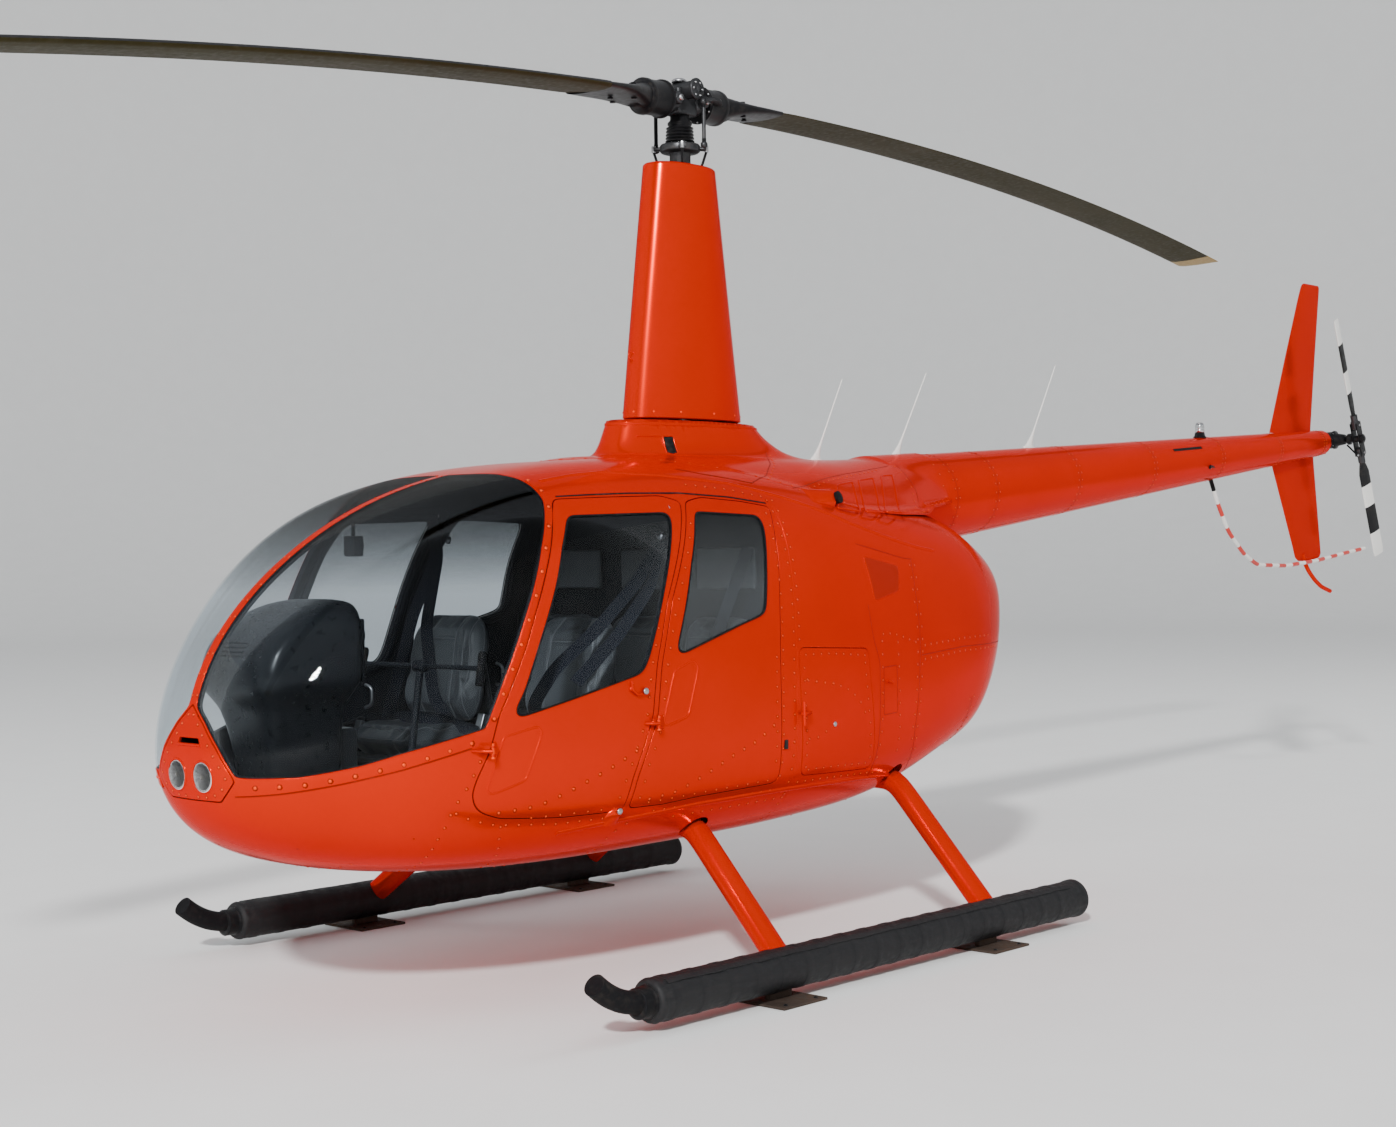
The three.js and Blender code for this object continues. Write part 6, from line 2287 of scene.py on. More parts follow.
@dataclass
class MastFairing:
    """The tall streamlined cover of the mast."""

    finishes: Finishes

    # Level, front, back, half width
    rings: Array = held(np.array([
        (2.084, -0.318, 0.312, 0.128), (2.400, -0.278, 0.268, 0.120), (2.800, -0.226, 0.214, 0.110),
        (3.118, -0.184, 0.172, 0.100),
    ]))
    power: float = 2.3
    wall: float = 0.010
    round: float = 0.012  # radius of the upper edge
    rivet_row: float = 0.022  # height over the foot
    plug_z: float = 2.33
    plug_radius: float = 0.016

    def ring(self, z: Array, shrink: Array, sides: int = 96) -> Array:
        """Rings of the cover at levels, made smaller by a distance.

        Args:
            z: levels.
            shrink: distance inwards.
            sides: number of sides.

        Returns:
            Levels by sides by three.
        """
        front, back, half = [np.interp(z, self.rings[:, 0], self.rings[:, k]) for k in (1, 2, 3)]
        a = np.linspace(0, 2 * math.pi, sides, endpoint=False)
        c, s = np.cos(a), np.sin(a)
        cx, cy = [np.sign(v) * np.abs(v) ** (2 / self.power) for v in (c, s)]
        length, middle = (back - front) / 2 - shrink, (front + back) / 2
        x = (half - shrink)[:, None] * cx
        y = middle[:, None] + length[:, None] * cy
        return np.stack([x, y, np.broadcast_to(z[:, None], x.shape)], -1)

    def build(self) -> None:
        """Makes the cover."""
        f, low, high = self.finishes, self.rings[0, 0], self.rings[-1, 0]
        edge = np.array([0.0, 0.3, 0.7, 1.0])
        z = np.concatenate([np.linspace(low, high - self.round, 24),
                            high - self.round * (1 - np.sin(edge[1:] * math.pi / 2))])
        shrink = np.concatenate([np.zeros(24), self.round * (1 - np.cos(edge[1:] * math.pi / 2))])
        outer, inner = self.ring(z, shrink), self.ring(z[::-1] - 0.004, shrink[::-1] + self.wall)
        rim = np.stack([outer[-1], inner[0]])
        foot = np.stack([inner[-1], outer[0]])
        cover = outward([grid(outer, True), grid(inner, True, material=1), grid(rim, True),
                         grid(foot, True)])
        piece = Builder("mast_cover", "airframe", f.skin, ("mast_fairing",), "orange_paint")
        piece.add(cover)
        ring = self.ring(np.array([low + self.rivet_row]), np.zeros(1))[0]
        out = unit((np.roll(ring, -1, 0) - np.roll(ring, 1, 0))
                   @ np.array([[0, -1, 0], [1, 0, 0], [0, 0, 0.0]]))
        piece.add(studs(ring[2::8], out[2::8], 0.0052, 0.0024, Coat.RIVET_HIGHLIGHT))
        levels = np.linspace(low + 0.02, high - 0.02, 60)
        for turn in (29, 67):
            seam = self.ring(levels, np.zeros(60))[:, turn]
            piece.add(Lines(lambda p: unit(p * [1, 1, 0] - [0, -0.004, 0])).seam(seam, 0.003))
        front = np.interp(self.plug_z, self.rings[:, 0], self.rings[:, 1])
        a = np.linspace(0, 2 * math.pi, 24, endpoint=False)
        loop = np.stack([0 * a, front - 0.010 + self.plug_radius * np.cos(a),
                         self.plug_z + self.plug_radius * np.sin(a)], -1)
        piece.add(tube(loop, 0.0028, 8, Coat.ORANGE, closed=True))
        piece.build()


@dataclass
class TailBoom:
    """Cone, fins, guard and skid."""

    finishes: Finishes

    front: float = 1.18
    back: float = 5.70
    radii: tuple = (0.224, 0.076)  # at the front and at the back
    axis: tuple = (1.736, 2.160)  # heights of its middle there
    rings: tuple = (1.62, 1.96, 2.72, 3.50, 4.28, 5.02, 5.62)
    seam_angles: tuple = (-62.0, 205.0)  # degrees from port, upwards
    boss_y: float = 4.12
    strip_run: tuple = (3.74, 4.06)
    upper: Array = held(np.array([  # level, leading edge, trailing edge
        (2.200, 5.050, 5.572), (2.640, 5.250, 5.638), (3.040, 5.440, 5.702), (3.090, 5.468, 5.711),
        (3.110, 5.484, 5.711), (3.1195, 5.510, 5.700),
    ]))
    lower: Array = held(np.array([
        (2.090, 5.036, 5.610), (2.060, 5.050, 5.612), (1.520, 5.332, 5.694), (1.485, 5.347, 5.698),
        (1.460, 5.360, 5.680), (1.4405, 5.400, 5.560),
    ]))
    guard: Array = held(np.array([
        (4.29, 1.935), (4.38, 1.78), (4.50, 1.62), (4.68, 1.49), (4.84, 1.425), (5.20, 1.415), (5.59, 1.44),
        (6.00, 1.485), (6.25, 1.51),
    ]))
    guard_x: float = 0.0243
    guard_radius: float = 0.012
    guard_bands: float = 0.085
    guard_step: float = 0.0121  # distance between the rings of the tube
    skid: Array = held(np.array([(5.46, 1.480), (5.49, 1.425), (5.535, 1.378), (5.61, 1.325), (5.70, 1.280),
                                 (5.82, 1.250)]))

    @classmethod
    def radius(cls, y: Array) -> Array:
        """Radius of the cone at stations."""
        near, far = cls.radii
        return near + (far - near) * (y - cls.front) / (cls.back - cls.front)

    @classmethod
    def middle(cls, y: Array) -> Array:
        """Height of the cone's axis at stations."""
        near, far = cls.axis
        return near + (far - near) * (y - cls.front) / (cls.back - cls.front)

    @staticmethod
    def fin(table: Array, half: float, sides: int = 40) -> Part:
        """A fin with a streamlined section, by levels with leading and trailing edges.

        Args:
            table: rows of level, leading edge and trailing edge.
            half: greatest half thickness.
            sides: number of sides.

        Returns:
            The closed fin.
        """
        z = np.concatenate([np.linspace(table[0, 0], table[-3, 0], 14),
                            np.linspace(table[-3, 0], table[-1, 0], 6)[1:]])
        order = np.argsort(table[:, 0])
        lead, trail = [np.interp(z, table[order, 0], table[order, k]) for k in (1, 2)]
        a = np.linspace(0, 2 * math.pi, sides, endpoint=False)
        along = (1 - np.cos(a)) / 2
        shape = 2.6 * (0.2969 * np.sqrt(along) - 0.126 * along - 0.3516 * along ** 2 + 0.2843 * along ** 3)
        shape = (shape - 2.6 * 0.1015 * along ** 4 * 0.9) * np.sign(np.sin(a) + 1e-12)
        rise = np.clip(np.abs(z - table[0, 0]) / abs(table[-1, 0] - table[0, 0]), 0, 1)
        end = np.sqrt(np.clip(1 - rise ** 24, 0.02, 1))
        x = shape[None] * half * end[:, None] * 1.25
        y = lead[:, None] + (trail - lead)[:, None] * along[None]
        return loft(np.stack([x, y, np.broadcast_to(z[:, None], x.shape)], -1))

    def build(self) -> None:
        """Makes the boom's pieces."""
        f = self.finishes
        y = np.linspace(self.front, self.back, 60)
        a = np.linspace(0, 2 * math.pi, 72, endpoint=False)
        r, z = self.radius(y)[:, None], self.middle(y)[:, None]
        rings = np.stack([r * np.cos(a), np.broadcast_to(y[:, None], (60, 72)), z + r * np.sin(a)], -1)
        cone = Builder("boom_cone", "airframe", f.skin, ("tail_cone",), "orange_paint")
        cone.add(loft(rings))
        around = np.linspace(0, 2 * math.pi, 60, endpoint=False)
        for at in self.rings:
            wide, middle = self.radius(at), self.middle(at)
            out = np.stack([np.cos(around), 0 * around, np.sin(around)], -1)
            loop = out * wide + [0, at, middle]
            band = np.array([(-0.0016, -0.001), (0.0016, -0.001), (0.0012, 0.0006), (-0.0012, 0.0006)])
            cone.add(sweep(loop, band, out, closed=True, material=Coat.SEAM_AND_SHADOW))
            for step in (-0.016, 0.016):
                heads = out * self.radius(at + step) + [0, at + step, self.middle(at + step)]
                cone.add(studs(heads[::2], out[::2], 0.0044, 0.0020, Coat.RIVET_HIGHLIGHT))
                # dark disc round each head: painted shadow and a dirt line
                cone.add(studs(heads[::2], out[::2], 0.0070, 0.0004, Coat.SEAM_AND_SHADOW))
        for lean in self.seam_angles:
            a = math.radians(lean)
            out = np.array([math.cos(a), 0.0, math.sin(a)])
            line = out * self.radius(y)[:, None] + np.stack([0 * y, y, self.middle(y)], -1)
            cone.add(Lines(lambda p, out=out: np.tile(out, (len(p), 1))).seam(line, 0.0028))
            heads = even(line, 0.06)
            cone.add(studs(heads, np.tile(out, (len(heads), 1)), 0.0042, 0.0019, Coat.RIVET_HIGHLIGHT))
        wide, middle = self.radius(self.boss_y), self.middle(self.boss_y)
        side = np.array([wide * math.cos(0.28), self.boss_y, middle - wide * math.sin(0.28)])
        y = np.linspace(*self.strip_run, 24)
        out = np.array([math.cos(0.62), 0.0, math.sin(0.62)])
        line = out * self.radius(y)[:, None] + np.stack([0 * y, y, self.middle(y)], -1)
        cone.add(Lines(lambda p: np.tile(out, (len(p), 1))).seam(line, 0.017, 0.0006, Coat.RUBBER_AND_SHADE))
        boss = [(0.0, -0.003), (0.013, -0.003), (0.013, 0.003), (0.007, 0.005), (0.006, 0.018),
                (0.0, 0.019)]
        cone.add(revolve(boss, side, [1, 0, 0.1], 16, Coat.BLACK))
        cone.add(tube([side + [0.015, -0.020, 0.004], side + [0.015, 0.020, -0.004]], 0.0045, 10,
                      Coat.BLACK))
        cone.build()
        for name, table, half in (("upper_fin", self.upper, 0.014), ("lower_fin", self.lower, 0.012)):
            Builder(name + "_skin", "airframe", f.skin, (name,),
                    "orange_paint").add(self.fin(table, half)).build()
        self._guard()
        skid = smooth_line(np.insert(self.skid, 0, 0.0, axis=1), 0.02)
        Builder("tail_skid_tube", "airframe", [f.orange], ("tail_skid",),
                "orange_paint").add(tube(skid, 0.013)).build()

    def _guard(self) -> None:
        """Makes the striped guard."""
        f = self.finishes
        line = smooth_line(np.insert(self.guard, 0, self.guard_x, axis=1), 0.03, self.guard_step)
        whole = tube(line, self.guard_radius, 14)
        band = np.arange(len(line) - 1) * self.guard_step // self.guard_bands
        part = [whole[1], whole[2]]
        for patch, kind in ((whole[1], 1), (whole[2], 1)):
            patch.material = kind
        rows = whole[0].faces.reshape(len(line) - 1, 14, 4)
        shades = whole[0].shaded()
        for k in range(int(band[-1]) + 1):
            chosen = rows[band == k].reshape(-1, 4)
            part.append(Patch(whole[0].points, chosen, shades, 2 if k < 1 else int(k) % 2))
        Builder("guard_tube", "airframe", [f.red, f.white, f.black_metal], ("tail_guard",),
                "guard_paint").add(part).build()


@dataclass
class LandingGear:
    """Struts, skid tubes, floats, clamps and foot plates."""

    hull: Hull
    finishes: Finishes

    track: float = 1.14
    skid_z: float = 0.105
    skid_radius: float = 0.038
    float_radius: float = 0.074
    float_run: tuple = (-1.425, 1.110)
    band: float = 0.132  # pitch of the seams round a float
    strut_radius: float = 0.046
    strut_foot_z: float = 0.115
    bend_x: float = 0.600
    # Row name, station of the foot, station and height at the hull, station of the foot plate
    struts: tuple = (("front", -0.742, -0.620, 0.545, -0.775), ("rear", 0.508, 0.600, 0.605, 0.465))
    plate: Array = held(np.array([0.125, 0.115, 0.0045]))  # half sizes
    # Station and height above the skid's axis
    skid_line: Array = held(np.array([
        (1.085, 0.0), (0.60, 0.0), (0.0, 0.0), (-0.70, 0.0), (-1.30, 0.0), (-1.455, 0.0), (-1.540, 0.018),
        (-1.610, 0.052), (-1.660, 0.092),
    ]))

    def build(self) -> None:
        """Makes the gear."""
        for row, foot, at, z, _ in self.struts:
            self._strut(row, foot, at, z)
        for side, sign in (("port", 1.0), ("starboard", -1.0)):
            self._skid(side, sign)
            self._float(side, sign)

    def _strut(self, row: str, foot: float, at: float, z: float) -> None:
        """A bent tube from one float to the other through the belly.

        Args:
            row: front or rear.
            foot: station at the float.
            at: station at the belly.
            z: level at the belly.
        """
        f = self.finishes
        x = np.array([self.track - 0.006, self.bend_x, 0.25, 0.0])
        path = np.stack([x, [foot, at, at, at], [self.strut_foot_z, z, z, z]], -1)
        path = np.vstack([path[:-1], path[::-1] * [-1, 1, 1]])
        line = smooth_line(path, 0.045, 0.03)
        strut = Builder(f"strut_{row}", "airframe", [f.orange], (f"cross_tube_{row}",), "orange_paint")
        strut.add(tube(line, self.strut_radius, 32))
        strut.build()

    def _skid(self, side: str, sign: float) -> None:
        """Skid tube with its turned-up toe, its clamp at the float and its foot plates.

        Args:
            side: port or starboard.
            sign: 1 for the one side, -1 for the other.
        """
        f = self.finishes
        flat = self.skid_line + [0.0, self.skid_z]
        line = smooth_line(np.insert(flat, 0, self.track, axis=1), 0.03, 0.02)
        skid = Builder(f"skid_tube_{side}", "airframe", [f.rubber_and_shade, f.rust, f.black_metal],
                       (f"skid_{side}",), "gear_black")
        parts = [tube(line, self.skid_radius, 28)]
        clamp = [(0.040, -0.052), (0.047, -0.050)]
        for k in range(4):
            clamp += [(0.052, -0.046 + k * 0.011), (0.0475, -0.041 + k * 0.011)]
        clamp += [(0.056, -0.002), (0.056, 0.0), (0.040, 0.0)]
        front = np.array([self.track, self.float_run[0] - 0.0006, self.skid_z])
        parts.append(revolve(clamp, front, [0, 1, 0], 40, 2))
        for *_, at in self.struts:
            middle = np.array([self.track, at, self.plate[2]])
            parts.append(rounded_box(middle - self.plate, middle + self.plate, 0.0022, material=1))
            web = np.array([0.011, 0.060, 0.012])
            parts.append(rounded_box(middle + [0, 0, 0.016] - web, middle + [0, 0, 0.016] + web, 0.003,
                                     material=1))
            bolts = middle + np.array([(x, y, self.plate[2]) for x in (-0.10, 0.10) for y in (-0.08, 0.08)])
            parts.append(studs(bolts, np.tile([0.0, 0.0, 1.0], (4, 1)), 0.009, 0.006, 2))
        if sign < 0:
            parts = [[patch.mirrored() for patch in part] for part in parts]
        skid.add(*parts).build()

    def _float(self, side: str, sign: float) -> None:
        """Packed float in its fabric cover, with bands of seam, a laced edge and a domed end.

        Args:
            side: port or starboard.
            sign: 1 for the one side, -1 for the other.
        """
        f, r = self.finishes, self.float_radius
        long = self.float_run[1] - self.float_run[0]
        profile = [(0.039, 0.0), (r - 0.016, 0.0), (r - 0.006, 0.004), (r - 0.001, 0.012),
                   (r + 0.001, 0.020), (r - 0.001, 0.030)]
        for v in np.arange(0.075, long - 0.14, self.band):
            profile += [(r - 0.0006, v - 0.040), (r - 0.0002, v - 0.014), (r + 0.0012, v - 0.013),
                        (r + 0.0012, v + 0.013),
                        (r - 0.0004, v + 0.014), (r - 0.0008, v + 0.036)]
        cap = long - 0.045
        profile += [(r, cap - 0.02), (r + 0.003, cap - 0.004), (r + 0.0035, cap + 0.020),
                    (r - 0.002, cap + 0.026),
                    (r - 0.008, cap + 0.036), (r - 0.020, cap + 0.043), (0.030, long), (0.0, long)]
        at = np.array([self.track * sign, self.float_run[0], self.skid_z])
        wrap = Builder(f"float_{side}_cover", "airframe", [f.fabric, f.rubber_and_shade, f.steel], (f"float_{side}",),
                       "float_fabric")
        wrap.add(revolve(profile, at, [0, 1, 0], 56))
        y = np.arange(self.float_run[0] + 0.05, self.float_run[1] - 0.11, 0.011)
        lean = math.radians(58)
        ripple = lean + 0.018 * np.sin(y * 23.0) + 0.010 * np.sin(y * 57.0)
        out = np.stack([np.cos(ripple) * sign, 0 * y, np.sin(ripple)], -1)
        seam = at * [1, 0, 1] + out * (r + 0.001) + y[:, None] * [0, 1, 0]
        flap = np.array([[-0.011, -0.002], [0.011, -0.002], [0.012, 0.0005], [0.009, 0.0025],
                         [-0.009, 0.0025], [-0.012, 0.0005]])
        wrap.add(sweep(seam, flap, out, material=0))
        wrap.build()


@dataclass
class MainRotor:
    """Layout of the teetering rotor, and its two blades."""

    finishes: Finishes

    azimuth: float = math.radians(94.9)
    hub_z: float = 3.385
    tilt: float = 0.0573
    droop: float = 0.01724
    chord: float = 0.252
    root: float = 0.560
    tip: float = 5.030
    # Half of the section from leading to trailing edge, as parts of the chord
    section: Array = held(np.array([(-0.5, 0.0), (-0.46, 0.04), (-0.3, 0.062), (0.0, 0.055), (0.3, 0.025),
                                    (0.5, 0.006)]))

    def place(self, r: Array, sign: float, across: Array, up: Array) -> Array:
        """Points by distance from the mast, distance across the blade, and height above its middle.

        Args:
            r: distances from the mast.
            sign: 1 for the one side, -1 for the other.
            across: distances towards the leading edge.
            up: heights over the blade's middle.

        Returns:
            Points in metres.
        """
        c, s = math.cos(self.azimuth), math.sin(self.azimuth)
        z = self.hub_z + sign * self.tilt * r - self.droop * r * r + up
        return np.stack(np.broadcast_arrays(sign * (c * r - s * across), sign * (s * r + c * across), z),
                        -1)

    def blade(self, sign: float) -> Part:
        """A blade with its root and tip, in bands of finish.

        Args:
            sign: 1 for the one side, -1 for the other.

        Returns:
            The closed blade.
        """
        a = np.linspace(0, math.pi, 22)
        u = -0.5 * np.cos(a)
        knots = self.section
        v = np.interp(u, knots[:, 0], knots[:, 1])
        u, v = np.concatenate([u, u[-2:0:-1]]), np.concatenate([v, -v[-2:0:-1]])
        r = np.concatenate([np.linspace(self.root, 0.86, 8), np.linspace(0.95, self.tip - 0.16, 52),
                            np.linspace(self.tip - 0.15, self.tip, 6)])
        size = np.interp(r, [self.root, 0.62], [0.95, 1.0])
        thick = np.interp(r, [self.root, 0.80, 5.0, self.tip], [1.15, 1.0, 1.0, 0.55])
        across = -u[None] * self.chord * size[:, None] + 0.0 * r[:, None]
        up = v[None] * self.chord * thick[:, None]
        rings = self.place(r[:, None], sign, across, up)
        return loft(rings)

    def build(self) -> None:
        """Makes the blades."""
        f = self.finishes
        for name, sign in (("front", -1.0), ("rear", 1.0)):
            blade = Builder(f"blade_{name}", "main_rotor", [f.blade_top, f.blade_olive, f.blade_tip],
                            (f"main_blade_{name}",), "blade_black")
            part = self.blade(sign)
            flat = part[0].shaded()
            tilt = flat[part[0].faces].mean(1)[:, 2]
            far = np.linalg.norm(part[0].points[part[0].faces].mean(1)[:, :2], axis=1)
            below = np.where(far > self.tip - 0.14, 2, 1)
            kind = np.where(tilt > 0, 0, below)
            body = [Patch(part[0].points, part[0].faces[kind == k], flat, k) for k in (0, 1, 2)]
            blade.add([*body, *part[1:]]).build()


@dataclass(frozen=True)
class Pad:
    """A stuffed cushion: where it lies, its size and its sewn lines.

    Attributes:
        middle: centre of its seam plane.
        up: along its height.
        out: the way its stuffed face looks.
        size: width and height.
        crown: depth of the stuffed face and of the back.
        narrow: part of the width lost at the top.
        bolster: extra depth of the sides.
        channels: distances of the upright sewn lines from the middle.
        seams: heights of the level sewn lines over the middle.
        voxel: grid of the stuffed mesh.
    """

    middle: tuple[float, float, float]
    up: tuple[float, float, float]
    out: tuple[float, float, float]
    size: tuple[float, float]
    crown: tuple[float, float]
    narrow: float = 0.0
    bolster: float = 0.0
    channels: tuple[float, ...] = ()
    seams: tuple[float, ...] = ()
    voxel: float = 0.0111

    power: float = 5.0
    groove: tuple = (0.0055, 0.007)  # depth and half width of a sewn line
    pressure: float = 4.0
    cap: float = 0.022
    frames: int = 20
    slack: float = 0.95  # size before the cushion swells

    def _axes(self) -> Array:
        """Rows: right, up and out.

        Returns:
            Three rows of unit vectors.
        """
        up, out = unit(np.array(self.up)), np.array(self.out)
        out = unit(out - up * (out @ up))
        return np.stack([np.cross(up, out), up, out])

    def _plain(self) -> Part:
        """The cushion before it swells: a super-ellipse whose depth falls to nothing at its rim.

        Returns:
            The closed cushion.
        """
        turn = np.sin(np.linspace(-1, 1, 61) * math.pi / 2)
        s, t = np.meshgrid(turn, turn, indexing="ij")
        far = np.maximum(np.abs(s), np.abs(t))
        norm = (np.abs(s) ** self.power + np.abs(t) ** self.power) ** (1 / self.power)
        fit = np.where(norm > 1e-9, far / np.maximum(norm, 1e-9), 1.0)
        s, t = s * fit, t * fit
        narrow = 1 - self.narrow * np.clip(t * 0.5 + 0.5, 0, 1) ** 3
        x = s * self.size[0] / 2 * narrow * self.slack
        y = t * self.size[1] / 2 * self.slack
        dome = np.sqrt(np.clip(1 - far ** 6, 0, 1))
        side = self.bolster * np.exp(-((np.abs(s) - 0.80) / 0.20) ** 2)
        faces = [grid(np.stack([x, y, dome * (self.crown[0] * 0.8 + side)], -1)),
                 grid(np.stack([x, y, -dome * self.crown[1]], -1)).flipped()]
        return outward(faces)

    def stuffed(self) -> tuple[Array, Array]:
        """Local points and quads after the cloth simulation, with its sewn lines drawn in.

        Returns:
            Points and quads.
        """
        points, groups = Builder.welded(self._plain())
        mesh = bpy.data.meshes.new("pad")
        faces = [face for index, _, _ in groups for face in index.tolist()]
        mesh.from_pydata(points.tolist(), [], faces)
        pad = bpy.data.objects.new("pad", mesh)
        scene = bpy.context.scene
        scene.collection.objects.link(pad)
        voxels = pad.modifiers.new("voxels", "REMESH")
        voxels.mode, voxels.voxel_size = "VOXEL", self.voxel
        start, quads = self._evaluated(pad)
        pad.modifiers.clear()
        fresh = bpy.data.meshes.new("pad_quads")
        fresh.from_pydata(start.tolist(), [], quads)
        pad.data = fresh
        cloth = pad.modifiers.new("stuffing", "CLOTH")
        cloth.settings.use_pressure = True
        cloth.settings.uniform_pressure_force = self.pressure
        cloth.settings.quality = 4
        cloth.settings.effector_weights.gravity = 0.0
        for frame in range(1, self.frames + 1):
            scene.frame_set(frame)
        swollen, _ = self._evaluated(pad)
        move = swollen - start
        length = np.linalg.norm(move, axis=1, keepdims=True)
        start = start + move * np.minimum(1.0, self.cap / np.maximum(length, 1e-9))
        pad.modifiers.clear()
        scene.frame_set(1)
        fresh.vertices.foreach_set("co", start.astype(np.float32).ravel())
        pad.modifiers.new("round", "SUBSURF").levels = 1
        points, quads = self._evaluated(pad)
        bpy.data.objects.remove(pad)
        return self._sewn(points), np.array([q for q in quads if len(q) == 4])

    @staticmethod
    def _evaluated(thing: bpy.types.Object) -> tuple[Array, list]:
        """Points and faces of an object with its modifiers.

        Args:
            thing: the object.

        Returns:
            Points and lists of corners.
        """
        mesh = thing.evaluated_get(bpy.context.evaluated_depsgraph_get()).data
        co = np.empty(len(mesh.vertices) * 3, np.float32)
        mesh.vertices.foreach_get("co", co)
        return co.reshape(-1, 3).astype(float), [list(face.vertices) for face in mesh.polygons]

    def _sewn(self, points: Array) -> Array:
        """Presses the sewn lines into the stuffed face.

        Args:
            points: of the stuffed cushion.

        Returns:
            The moved points.
        """
        deep, half = self.groove
        x, y, z = points.T
        width = 1 - self.narrow * np.clip(y / self.size[1] + 0.5, 0, 1) ** 3
        press = sum(np.exp(-(((x - c * width) / half) ** 2))
                    for c in self.channels) if self.channels else 0.0
        inner = min((abs(c) for c in self.channels), default=0.0)
        for level in self.seams:
            within = np.abs(x) < (inner or self.size[0]) * 1.02
            press = press + np.exp(-(((y - level) / half) ** 2)) * within
        z = z - deep * np.clip(press, 0, 1) * np.clip(z / 0.02, 0, 1)
        return np.stack([x, y, z], -1)

    def _cord(self, points: Array, ends: Array) -> Array:
        """A line over the stuffed face from one local place (x, y) to another.

        Args:
            points: of the stuffed cushion.
            ends: rows of x and y.

        Returns:
            Points just over the face.
        """
        path = even(ends, 0.012)
        front = points[points[:, 2] > 0.004]
        near = ((front[None, :, :2] - path[:, None]) ** 2).sum(-1).argsort(1)[:, :4]
        line = front[near].mean(1)
        line[1:-1] = (line[:-2] + line[1:-1] + line[2:]) / 3
        return line + [0.0, 0.0, 0.0008]

    def parts(self, shift: float = 0.0, leather: int = 0, stitch: int = 1) -> list[Part]:
        """The cushion and its piping, moved along x.

        Args:
            shift: distance along x.
            leather: material of the cushion.
            stitch: material of the piping.

        Returns:
            Its parts.
        """
        axes, middle = self._axes(), np.array(self.middle) + [shift, 0, 0]
        points, quads = self.stuffed()
        parts = [[Patch(points @ axes + middle, quads, None, leather)]]
        wide, tall = self.size
        for c in self.channels:
            reach = tall * 0.475
            top = c * (1 - self.narrow)
            path = self._cord(points,
                              np.array([(c, -reach), (c, 0.0), (c * (1 - self.narrow * 0.42), reach * 0.5),
                                        (top, reach)]))
            parts.append(tube(path @ axes + middle, 0.0021, 8, stitch))
        inner = min((abs(c) for c in self.channels), default=wide * 0.45)
        for level in self.seams:
            path = self._cord(points, np.array([(-inner, level), (inner, level)]))
            parts.append(tube(path @ axes + middle, 0.0018, 8, stitch))
        rim = np.linspace(0, 2 * math.pi, 140, endpoint=False)
        c, s = np.cos(rim), np.sin(rim)
        far = (np.abs(c) ** self.power + np.abs(s) ** self.power) ** (-1 / self.power)
        edge = np.stack([c * far * wide / 2 * 0.86, s * far * tall / 2 * 0.90], -1)
        edge[:, 0] *= 1 - self.narrow * np.clip(edge[:, 1] / tall + 0.5, 0, 1) ** 3
        loop = self._cord_closed(points, edge)
        parts.append(tube(loop @ axes + middle, 0.0024, 8, leather, closed=True))
        return parts

    def _cord_closed(self, points: Array, loop: Array) -> Array:
        """A closed line over the stuffed face.

        Args:
            points: of the stuffed cushion.
            loop: rows of x and y.

        Returns:
            Points just over the face.
        """
        front = points[points[:, 2] > 0.004]
        near = ((front[None, :, :2] - loop[:, None]) ** 2).sum(-1).argsort(1)[:, :4]
        line = front[near].mean(1)
        return (line + np.roll(line, 1, 0) + np.roll(line, -1, 0)) / 3


